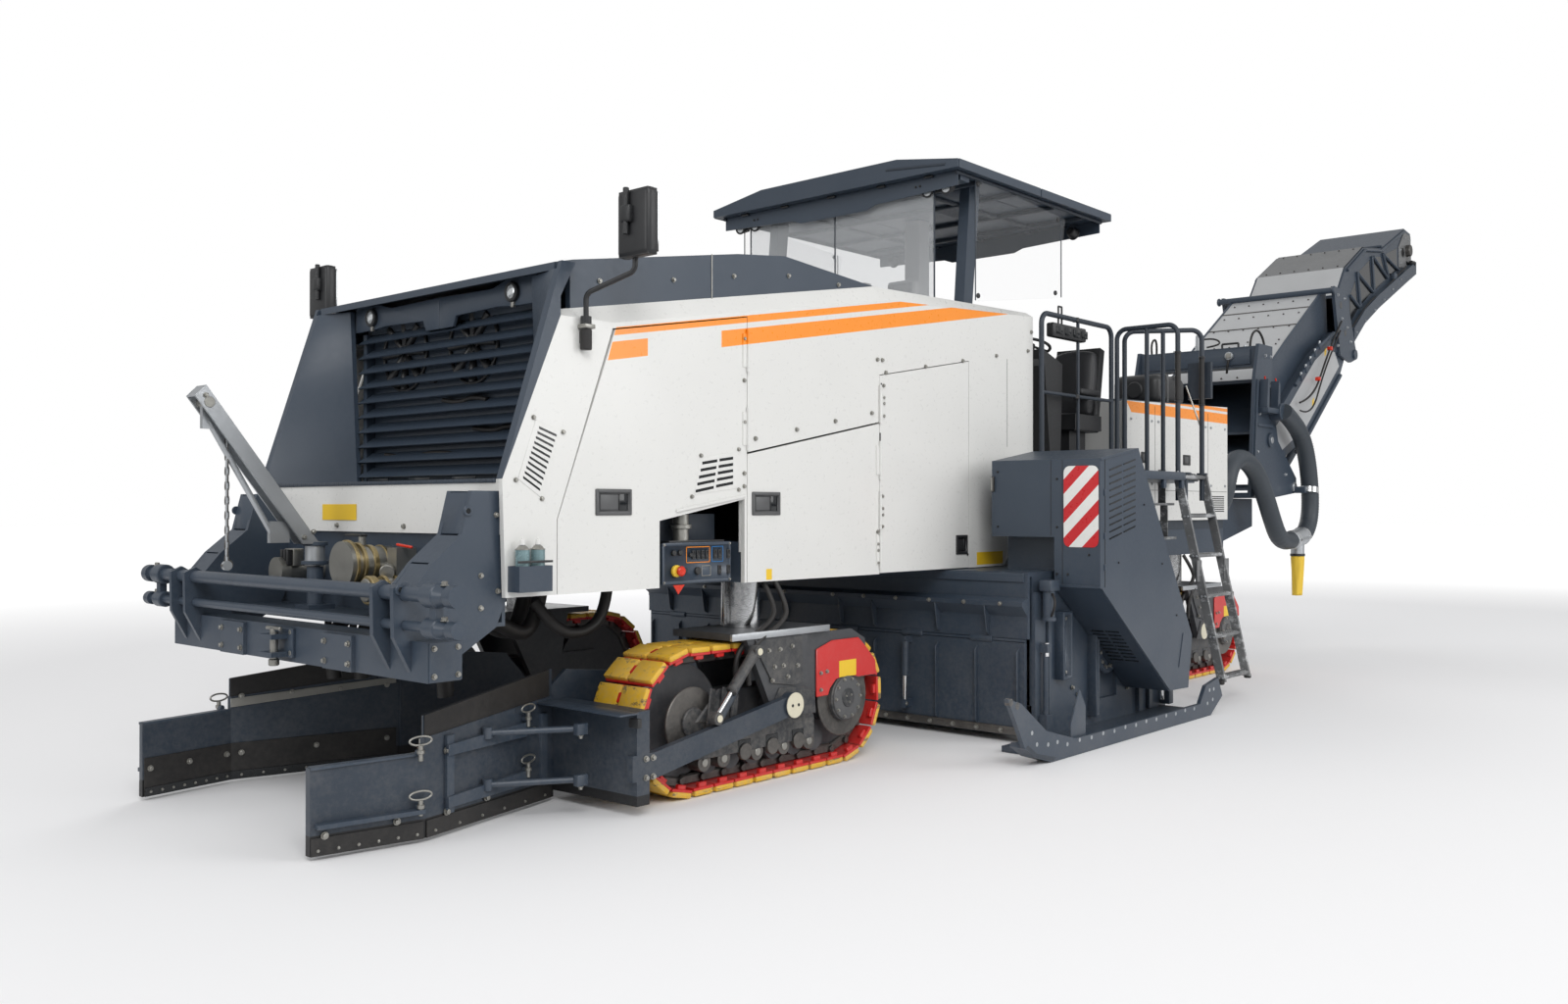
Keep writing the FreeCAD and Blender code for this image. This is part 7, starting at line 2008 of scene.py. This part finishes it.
def boom_fittings():
    """Covers, side panels, rims, clips, rollers and hoses of the lower conveyor."""
    top = ((10.485, 3.205), (11.33, 3.742), (12.7, 4.562), (12.825, 4.562))
    made = sloped(top, 0.592, 0.002, 0.006, "belt_cover")
    for part, along in (((top[0], top[1]), (0.06, 0.5, 0.94)), ((top[1], top[2]), (0.04, 0.3, 0.56, 0.82))):
        made += rivets(part, 0.5, 6, 0.008, along)
    (x0, z0), (x1, z1) = top[1:3]
    for share in (0.32, 0.66):
        x, z = x0 + (x1 - x0) * share, z0 + (z1 - z0) * share
        put(made, "steel_dark", rod((x, -0.585, z + 0.01), (x, 0.585, z + 0.01), 0.01, 10))
    for side in (-1, 1):
        for (x0, z0), (x1, z1) in zip(top, top[1:]):
            put(made, "slate", rod((x0, side * 0.598, z0 + 0.004), (x1, side * 0.598, z1 + 0.004), 0.018, 12))
    put(made, "slate", rod((10.5, -0.59, 3.19), (10.5, 0.59, 3.19), 0.024, 14))
    piece("boom_covers", "conveyor_lower", made)
    panel = [
        (10.34, 2.44), (10.95, 2.8), (12.05, 3.56), (12.7, 3.85), (12.98, 3.56), (11.72, 2.68), (10.48, 2.2)]
    made = [plate_on(0.72, panel, 0.004, "belt_cover", 0.001)]
    for x, z in ((12.4, 3.64), (11.93, 2.95)):
        made.append(plate_on(
            0.724, [(x, z), (x + 0.075, z + 0.045), (x + 0.075, z + 0.125), (x, z + 0.08)], 0.001,
            "label_yellow", 0))
    for start, end in (
            ((11.3, 3.18), (12.06, 3.7)),
            ((12.06, 3.7), (12.73, 3.985)),
            ((12.75, 3.985), (13.32, 3.855)),
            ((11.32, 2.345), (11.76, 2.58)),
            ((11.76, 2.58), (13.0, 3.44))):
        put(made, "slate", rod((start[0], -0.732, start[1]), (end[0], -0.732, end[1]), 0.026, 12))
    for step in range(5):
        x = 11.42 + 0.17 * step
        z = 3.27 + 0.116 * step
        put(made, "slate", block((x, -0.775, z - 0.03), (x + 0.03, -0.735, z + 0.06), 0.006))
        put(made, "galvanised", rod((x + 0.015, -0.755, z + 0.04), (x + 0.015, -0.755, z + 0.085), 0.016, 14))
    several(
        made, rod,
        ("slate", (12.6, -0.765, 4.54), (12.6, -0.8, 4.54), 0.055, 28, 0.01),
        ("slate", (13.48, -0.765, 3.76), (13.48, -0.792, 3.76), 0.07, 28, 0.006))
    made.append(bolts([
        (x, -0.768, z)
        for x, z in ((12.78, 3.82), (12.95, 4.2), (13.05, 4.48), (12.78, 4.5), (13.3, 3.92), (13.16, 4.1))
    ], LEFT, 0.016, "galvanised"))
    # Dark discs of painted shade for the holes in the side plate.
    for x, z, radius in ((12.92, 4.38, 0.05), (13.1, 4.02, 0.045), (12.84, 4.02, 0.035)):
        made.append(plate_on(
            0.768,
            [
                (x + radius * math.cos(t * math.pi / 8), z + radius * math.sin(t * math.pi / 8))
                for t in range(16)],
            0.0015, "screen", 0))
    several(
        made, hose,
        (
            "rubber",
            [
                (11.3, -0.79, 2.96), (11.7, -0.82, 3.05), (12.2, -0.8, 3.55), (12.6, -0.8, 3.95),
                (12.85, -0.8, 4.15)],
            0.013, 8),
        (
            "rubber",
            [
                (11.28, -0.8, 2.86), (11.6, -0.83, 2.8), (12.1, -0.8, 3.35), (12.5, -0.8, 3.75),
                (12.8, -0.8, 4.02)],
            0.011, 8))
    for x, z in ((12.36, 3.735), (11.9, 3.3)):
        put(made, "stop_red", block((x, -0.83, z - 0.02), (x + 0.05, -0.77, z + 0.03), 0.006))
    pair("boom_sides", "conveyor_lower", made)
    under = []
    for x, z in ((11.05, 2.535), (11.7, 2.765), (12.2, 3.08), (12.72, 3.42)):
        put(under, "steel_dark", rod((x, -0.64, z), (x, 0.64, z), 0.042, 20, 0.006))
        for side in (-1, 1):
            put(under, "slate", block(
                (x - 0.03, side * 0.665 - 0.012, z - 0.04), (x + 0.03, side * 0.665 + 0.012, z + 0.09),
                0.004))
    piece("belt_rollers", "conveyor_lower", under)


def head_fittings():
    """Covers, truss sides whose openings are flat dark plates of painted shade, drum cheeks, belt cleats and
    lamps of the upper conveyor.
    """
    drum_x, drum_z = 16.42, 5.66
    top = ((13.195, 4.566), (13.56, 4.996), (14.37, 5.406), (15.12, 5.506), (16.29, 5.99))
    made = sloped(top[:2], 0.6, 0.002, 0.006, "belt_cover")
    made += sloped(top[1:3], 0.6, 0.002, 0.006, "cover_grey")
    made += sloped(top[2:4], 0.6, 0.002, 0.006, "slate_dark")
    made += rivets((top[1], top[2]), 0.5, 6, 0.008, (0.08, 0.92))
    made += rivets((top[2], top[3]), 0.5, 5, 0.008, (0.5,))
    several(
        made, rod,
        ("slate", (13.2, -0.6, 4.56), (13.2, 0.6, 4.56), 0.016, 12),
        ("slate", (15.2, -0.63, 5.548), (15.2, 0.63, 5.548), 0.022, 14))
    piece("head_covers", "conveyor_upper", made)
    face = 0.63
    made = []
    # The truss openings are flat dark plates of painted shade, not holes.
    for holes in (
            ((13.74, 4.24), (14.1, 4.5), (13.96, 4.86), (13.72, 4.62)),
            ((14.2, 4.55), (14.72, 4.8), (14.62, 5.26), (14.05, 4.98)),
            ((14.84, 4.84), (15.42, 5.1), (15.14, 5.38), (14.74, 5.32)),
            ((15.52, 5.14), (15.96, 5.3), (15.9, 5.62), (15.26, 5.42))):
        made.append(plate_on(face, list(holes), 0.002, "screen", 0))
    for start, end in (
            ((13.72, 4.62), (14.1, 4.5)), ((14.05, 4.98), (14.72, 4.8)), ((14.74, 5.32), (15.42, 5.1)),
            ((15.26, 5.42), (15.96, 5.3)), ((13.6, 4.96), (14.38, 5.36)), ((14.38, 5.36), (15.12, 5.46)),
            ((15.12, 5.46), (16.28, 5.94)), ((14.15, 4.52), (14.02, 5.0)), ((14.78, 4.82), (14.68, 5.32)),
            ((15.47, 5.12), (15.2, 5.44))):
        put(made, "slate", rod(
            (start[0], -face - 0.012, start[1]), (end[0], -face - 0.012, end[1]), 0.022, 12))
    made.append(plate_on(
        face, [(16.02, 5.34), (16.66, 5.44), (16.62, 5.92), (16.28, 5.93), (16.0, 5.66)], 0.012,
        "cover_grey"))
    # Dark discs of painted shade for the holes in the drum cheek.
    for x, z in ((16.2, 5.6), (16.45, 5.5)):
        ring = [
            (x + 0.075 * math.cos(t * math.pi / 8), z + 0.075 * math.sin(t * math.pi / 8)) for t in range(16)]
        made.append(plate_on(face + 0.012, ring, 0.001, "screen", 0))
    made.append(bolts([
        (x, -face - 0.012, z)
        for x, z in ((16.08, 5.42), (16.58, 5.52), (16.56, 5.85), (16.3, 5.84), (16.07, 5.62))
    ], LEFT, 0.013, "galvanised"))
    put(made, "steel_dark", rod((drum_x, -face, drum_z), (drum_x, -0.705, drum_z), 0.09, 32, 0.008))
    made += lamp_head(at(16.55, -0.69, 5.47), (1, -0.1, -0.25), 0.045)
    put(made, "slate", block((15.6, -0.7, 5.06), (15.72, -0.635, 5.2), 0.01))
    put(made, "rubber", hose(
        [(13.6, -0.68, 4.12), (14.2, -0.7, 4.55), (15.1, -0.68, 4.86), (16.2, -0.69, 5.38)], 0.012, 8))
    made.append(bolts(
        [(13.72 + 0.42 * step, -0.72, 4.1 + 0.205 * step) for step in range(6)], LEFT, 0.012, "galvanised"))
    pair("head_sides", "conveyor_upper", made)
    lining = []
    put(lining, "belt_rubber", rod((drum_x, -0.6, drum_z), (drum_x, 0.6, drum_z), 0.217, 40, 0.01))
    for turn in range(8):
        angle = turn * math.pi / 4
        offset = Vector((0.222 * math.cos(angle), 0, 0.222 * math.sin(angle)))
        put(lining, "belt_rubber", rod(
            at(drum_x, -0.56, drum_z) + offset, at(drum_x, 0.56, drum_z) + offset, 0.012, 8))
    piece("drum_lagging", "conveyor_upper", lining)


def ribbed(points, radius, pitch=0.034):
    """A corrugated hose along a smooth line: its radius swells and shrinks once in every pitch."""
    guide = hose(points, 0.0, 4, 4)
    path = [vertex.co.copy() for vertex in guide.data.vertices]
    bpy.data.objects.remove(guide)
    line = [path[0]]
    for point in path[1:]:
        while (point - line[-1]).length > pitch / 2:
            line.append(line[-1] + (point - line[-1]).normalized() * pitch / 2)
    curve = bpy.data.curves.new("ribbed", "CURVE")
    curve.dimensions = "3D"
    spline = curve.splines.new("POLY")
    spline.points.add(len(line) - 1)
    for index, (spot, point) in enumerate(zip(spline.points, line)):
        spot.co = (*point, 1)
        spot.radius = 1.0 if index % 2 else 0.955
    curve.bevel_depth = radius
    curve.bevel_resolution = 5
    curve.use_fill_caps = True
    obj = bpy.data.objects.new("ribbed", curve)
    bpy.context.scene.collection.objects.link(obj)
    pick(obj)
    bpy.ops.object.convert(target="MESH")
    bpy.ops.object.shade_smooth_by_angle(angle=math.radians(50))
    return dress(bpy.context.object, "duct_grey")


def ducts():
    """The two corrugated extraction ducts, their clamps and joint, and the yellow outlet bag."""
    elbow_x, pipe = 10.88, 0.105
    y = -0.905
    first = ribbed([
        (8.7, -0.56, 1.56), (8.7, -0.76, 1.56), (8.68, y, 1.7), (8.74, y, 2.08), (9.05, y, 2.23),
        (9.5, y, 2.12), (9.86, y, 1.76), (10.12, y, 1.4), (10.33, y, 1.215), (10.66, y, 1.25)], pipe)
    piece("machine_duct_hose", None, [first])
    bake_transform(first)
    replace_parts(first, "machine_duct")
    made = [ribbed([
        (10.43, y, 2.79), (10.7, y, 2.7), (11.02, y, 2.56), (11.23, y, 2.25), (11.33, y, 1.85),
        (11.33, y, 1.56), (11.22, y, 1.37), (11.06, y, 1.3)], pipe)]
    put(made, "galvanised", rod((10.66, y, 1.25), (11.06, y, 1.302), 0.107, 36, 0.006))
    for x, z in ((10.69, 1.254), (10.995, 1.294)):
        put(made, "chrome", rod((x, y, z), (x + 0.022, y, z + 0.003), 0.114, 36))
        put(made, "chrome", block((x - 0.004, y - 0.13, z - 0.014), (x + 0.026, y - 0.1, z + 0.014), 0.004))
    put(made, "galvanised", rod((elbow_x, y, 1.075), (elbow_x, y, 1.26), 0.078, 32, 0.005))
    put(made, "slate", block((11.11, y - 0.012, 1.825), (11.225, -0.768, 1.905), 0.006))
    several(
        made, rod,
        ("chrome", (11.275, y, 1.83), (11.285, y, 1.9), 0.113, 36),
        ("slate", (10.415, y, 2.79), (10.415, -0.768, 2.79), 0.1, 32, 0.006),
        ("plastic", (elbow_x, y, 1.052), (elbow_x, y, 1.082), 0.086, 32))
    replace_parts(piece("conveyor_duct_hose", "conveyor_slewing", made), "conveyor_duct")
    deselect()
    bpy.ops.mesh.primitive_cylinder_add(
        vertices=48, radius=0.082, depth=0.5, location=at(elbow_x, y, 0.825), end_fill_type="NOTHING")
    bag = settle()
    bpy.ops.object.mode_set(mode="EDIT")
    bpy.ops.mesh.select_all(action="SELECT")
    bpy.ops.mesh.subdivide(number_cuts=1)
    bpy.ops.mesh.select_all(action="SELECT")
    bpy.ops.mesh.bisect(plane_co=at(elbow_x, y, 0.7), plane_no=UP)
    bpy.ops.object.mode_set(mode="OBJECT")
    cuts = bag.modifiers.new("rings", "SUBSURF")
    cuts.subdivision_type = "SIMPLE"
    cuts.levels = cuts.render_levels = 2
    pick(bag)
    bpy.ops.object.modifier_apply(modifier="rings")
    axis = at(elbow_x, y, 0)
    for vertex in bag.data.vertices:
        arm = vertex.co - axis
        angle = math.atan2(arm.y, arm.x)
        drop = (1.075 - vertex.co.z) / 0.5
        flat = 1 - 0.3 * drop * abs(math.sin(angle)) - 0.06 * drop
        fold = 1 + 0.075 * min(1.0, 1.6 * drop) * math.sin(
            5 * angle + 3.2 * drop) + 0.03 * math.sin(9 * angle - 5 * drop) * drop
        pull = 1 - 0.1 * math.exp(-((drop - 0.03) / 0.03) ** 2)
        vertex.co.x = axis.x + arm.x * flat * fold * pull - 0.012 * drop
        vertex.co.y = axis.y + arm.y * flat * fold * pull
    cloth = bag.modifiers.new("cloth", "SOLIDIFY")
    cloth.thickness = 0.0025
    bpy.ops.object.modifier_apply(modifier="cloth")
    bpy.ops.object.shade_smooth()
    piece("outlet_sleeve", "conveyor_slewing", [dress(bag, "duct_yellow")])


def ram_fittings():
    """Glands, end caps, pin heads and hoses of the luffing rams."""
    foot, head = Vector((11.14, 0, 1.9)), Vector((13.13, 0, 3.21))

    def along(share, y, lift=0.0):
        spot = foot.lerp(head, share)
        return at(spot.x - lift * 0.55, y, spot.z + lift * 0.835)

    made = []
    for y in (-0.5, 0.5):
        several(
            made, rod,
            ("steel_dark", along(0.575, y), along(0.604, y), 0.064, 32, 0.005),
            ("slate", along(0.04, y), along(0.06, y), 0.06, 32, 0.005),
            ("zinc", along(0.09, y, 0.05), along(0.09, y, 0.085), 0.016, 14),
            ("zinc", along(0.55, y, 0.05), along(0.55, y, 0.085), 0.016, 14),
            ("zinc", along(0.1, y, 0.082), along(0.55, y, 0.082), 0.009, 12))
    piece("ram_glands", "ram_barrels", made)
    collars = [
        dress(rod(along(0.935, y), along(0.951, y), 0.04, 24, 0.004), "steel_dark") for y in (-0.5, 0.5)]
    piece("ram_collars", "ram_rods", collars)


class RECYCLER_OT_rear_hood(Step, bpy.types.Operator):
    """Dark top, seams, pulls, filter covers and rear wall of the rear hood"""

    bl_idname = "recycler.rear_hood"
    bl_label = "Rear hood"
    work = (rear_hood_trim,)


class RECYCLER_OT_conveyor(Step, bpy.types.Operator):
    """Fittings of the slewing frame, both conveyor sections and the rams"""

    bl_idname = "recycler.conveyor"
    bl_label = "Conveyor"
    work = (slew_fittings, boom_fittings, head_fittings, ram_fittings)


class RECYCLER_OT_ducts(Step, bpy.types.Operator):
    """Corrugated extraction ducts and the outlet bag"""

    bl_idname = "recycler.ducts"
    bl_label = "Extraction ducts"
    work = (ducts,)


# ---------------------------------------------------------------- stage

def stage_scene():
    """A pale floor, soft studio light and the camera beside the front left corner."""
    scene = bpy.context.scene
    settings = scene.recycler_stage
    deselect()
    bpy.ops.mesh.primitive_plane_add(size=240, location=(0, 0, -0.002))
    floor = bpy.context.object
    floor.name = "studio_floor"
    material, wires, shader = new_material("floor_pale")
    away = wires.node("ShaderNodeVectorMath", operation="LENGTH")
    wires.link(wires.node("ShaderNodeTexCoord").outputs["Object"], away.inputs[0])
    far = wires.range(away.outputs["Value"], 11.0, 19.0)
    wires.link(wires.blend(far, rgb((0.88, 0.88, 0.89)), rgb((0, 0, 0))), shader.inputs["Base Color"])
    seen = wires.calc("MULTIPLY", far, wires.node("ShaderNodeLightPath").outputs["Is Camera Ray"])
    wires.link(wires.blend(seen, rgb((0, 0, 0)), rgb((1, 1, 1))), shader.inputs["Emission Color"])
    shader.inputs["Emission Strength"].default_value = 1.0
    shader.inputs["Roughness"].default_value = 0.9
    floor.data.materials.append(material)
    world = bpy.data.worlds.new("studio")
    scene.world = world
    world.use_nodes = True
    wires = Wires(world.node_tree)
    sky = world.node_tree.nodes["Background"]
    seen = wires.node("ShaderNodeLightPath")
    plain = wires.calc("MAXIMUM", seen.outputs["Is Camera Ray"], seen.outputs["Is Transmission Ray"])
    sky.inputs["Color"].default_value = (1, 1, 1, 1)
    wires.link(wires.range(plain, 0.0, 1.0, settings.sky, 1.0), sky.inputs["Strength"])

    def lamp(name, place, aim, size, power):
        light = bpy.data.lights.new(name, "AREA")
        light.size = size
        light.energy = power
        obj = bpy.data.objects.new(name, light)
        scene.collection.objects.link(obj)
        obj.location = place
        obj.rotation_euler = (Vector(aim) - Vector(place)).to_track_quat("-Z", "Y").to_euler()

    lamp("key", (-16, -14, 13), (0, 0, 1.5), 9, settings.key)
    lamp("side", (4, -20, 9), (0, 0, 1.5), 12, settings.side)
    lamp("front", (-24, 2, 7), (-8, 0, 1.5), 8, settings.front)
    lamp("back", (10, 16, 12), (0, 0, 2), 12, settings.back)
    lens = bpy.data.cameras.new("camera")
    lens.lens = settings.lens
    lens.sensor_width = 36
    lens.clip_end = 500
    camera = bpy.data.objects.new("camera", lens)
    scene.collection.objects.link(camera)
    camera.location = at(-4.942, -6.486, 1.631)
    yaw, pitch = math.radians(41.4), math.radians(0.3)
    aim = Vector((math.cos(yaw) * math.cos(pitch), math.sin(yaw) * math.cos(pitch), math.sin(pitch)))
    camera.rotation_euler = aim.to_track_quat("-Z", "Y").to_euler()
    scene.camera = camera
    scene.view_settings.view_transform = "Standard"


class RECYCLER_OT_stage(Step, bpy.types.Operator):
    """Floor, lamps, world and camera"""

    bl_idname = "recycler.stage"
    bl_label = "Stage"
    work = (stage_scene,)


class RECYCLER_OT_finishes(bpy.types.Operator):
    """Materials of the machine's own parts"""

    bl_idname = "recycler.finishes"
    bl_label = "Finishes"

    def execute(self, context):
        fill_finishes()
        for name, finish in NODE_FINISH.items():
            dress(NODES[name], finish)
        return {"FINISHED"}


# ---------------------------------------------------------------- settings

class RecyclerColours(bpy.types.PropertyGroup):
    """Colours of the machine's paint"""

    slate: bpy.props.FloatVectorProperty(
        name="Slate", description="Dark paint of frames and hood", default=SLATE, subtype="COLOR")
    white: bpy.props.FloatVectorProperty(
        name="White", description="Light paint of panels and doors", default=WHITE, subtype="COLOR")
    stripe: bpy.props.FloatVectorProperty(
        name="Stripe", description="Bands along the hood", default=ORANGE, subtype="COLOR")


class RecyclerStage(bpy.types.PropertyGroup):
    """Light and lens of the studio"""

    lens: bpy.props.FloatProperty(
        name="Lens", description="Focal length of the camera", default=29.22, subtype="DISTANCE_CAMERA")
    sky: bpy.props.FloatProperty(
        name="Sky", description="Strength of the studio's surrounding light", default=0.55)
    key: bpy.props.FloatProperty(
        name="Key", description="Power of the lamp ahead of the left side", default=1750, subtype="POWER")
    side: bpy.props.FloatProperty(
        name="Side", description="Power of the wide lamp on the left", default=1450, subtype="POWER")
    front: bpy.props.FloatProperty(
        name="Front", description="Power of the lamp ahead", default=700, subtype="POWER")
    back: bpy.props.FloatProperty(
        name="Back", description="Power of the lamp behind", default=1500, subtype="POWER")


class RECYCLER_PT_panel(bpy.types.Panel):
    """Settings and steps of the cold recycler"""

    bl_idname = "RECYCLER_PT_panel"
    bl_label = "Cold recycler"
    bl_space_type = "VIEW_3D"
    bl_region_type = "UI"
    bl_category = "Recycler"

    def draw(self, context):
        for group in (context.scene.recycler_colours, context.scene.recycler_stage):
            for key in group.bl_rna.properties.keys():
                if key not in ("rna_type", "name"):
                    self.layout.prop(group, key)
        for step in STEPS:
            self.layout.operator(step.bl_idname)


STEPS = (
    RECYCLER_OT_finishes, RECYCLER_OT_crawler_tracks, RECYCLER_OT_hood_flanks, RECYCLER_OT_hood_front,
    RECYCLER_OT_side_fittings, RECYCLER_OT_front_frame, RECYCLER_OT_blades, RECYCLER_OT_track_frames,
    RECYCLER_OT_side_housings, RECYCLER_OT_milling_unit, RECYCLER_OT_canopy, RECYCLER_OT_platform,
    RECYCLER_OT_rear_hood, RECYCLER_OT_conveyor, RECYCLER_OT_ducts, RECYCLER_OT_stage)
CLASSES = (RecyclerColours, RecyclerStage) + STEPS + (RECYCLER_PT_panel,)


def register():
    for kind in CLASSES:
        bpy.utils.register_class(kind)
    bpy.types.Scene.recycler_colours = bpy.props.PointerProperty(type=RecyclerColours)
    bpy.types.Scene.recycler_stage = bpy.props.PointerProperty(type=RecyclerStage)


def unregister():
    del bpy.types.Scene.recycler_stage
    del bpy.types.Scene.recycler_colours
    for kind in reversed(CLASSES):
        bpy.utils.unregister_class(kind)


def main():
    register()
    for step in STEPS:
        category, name = step.bl_idname.split(".")
        getattr(getattr(bpy.ops, category), name)()
    deselect()


if __name__ == "__main__":
    main()
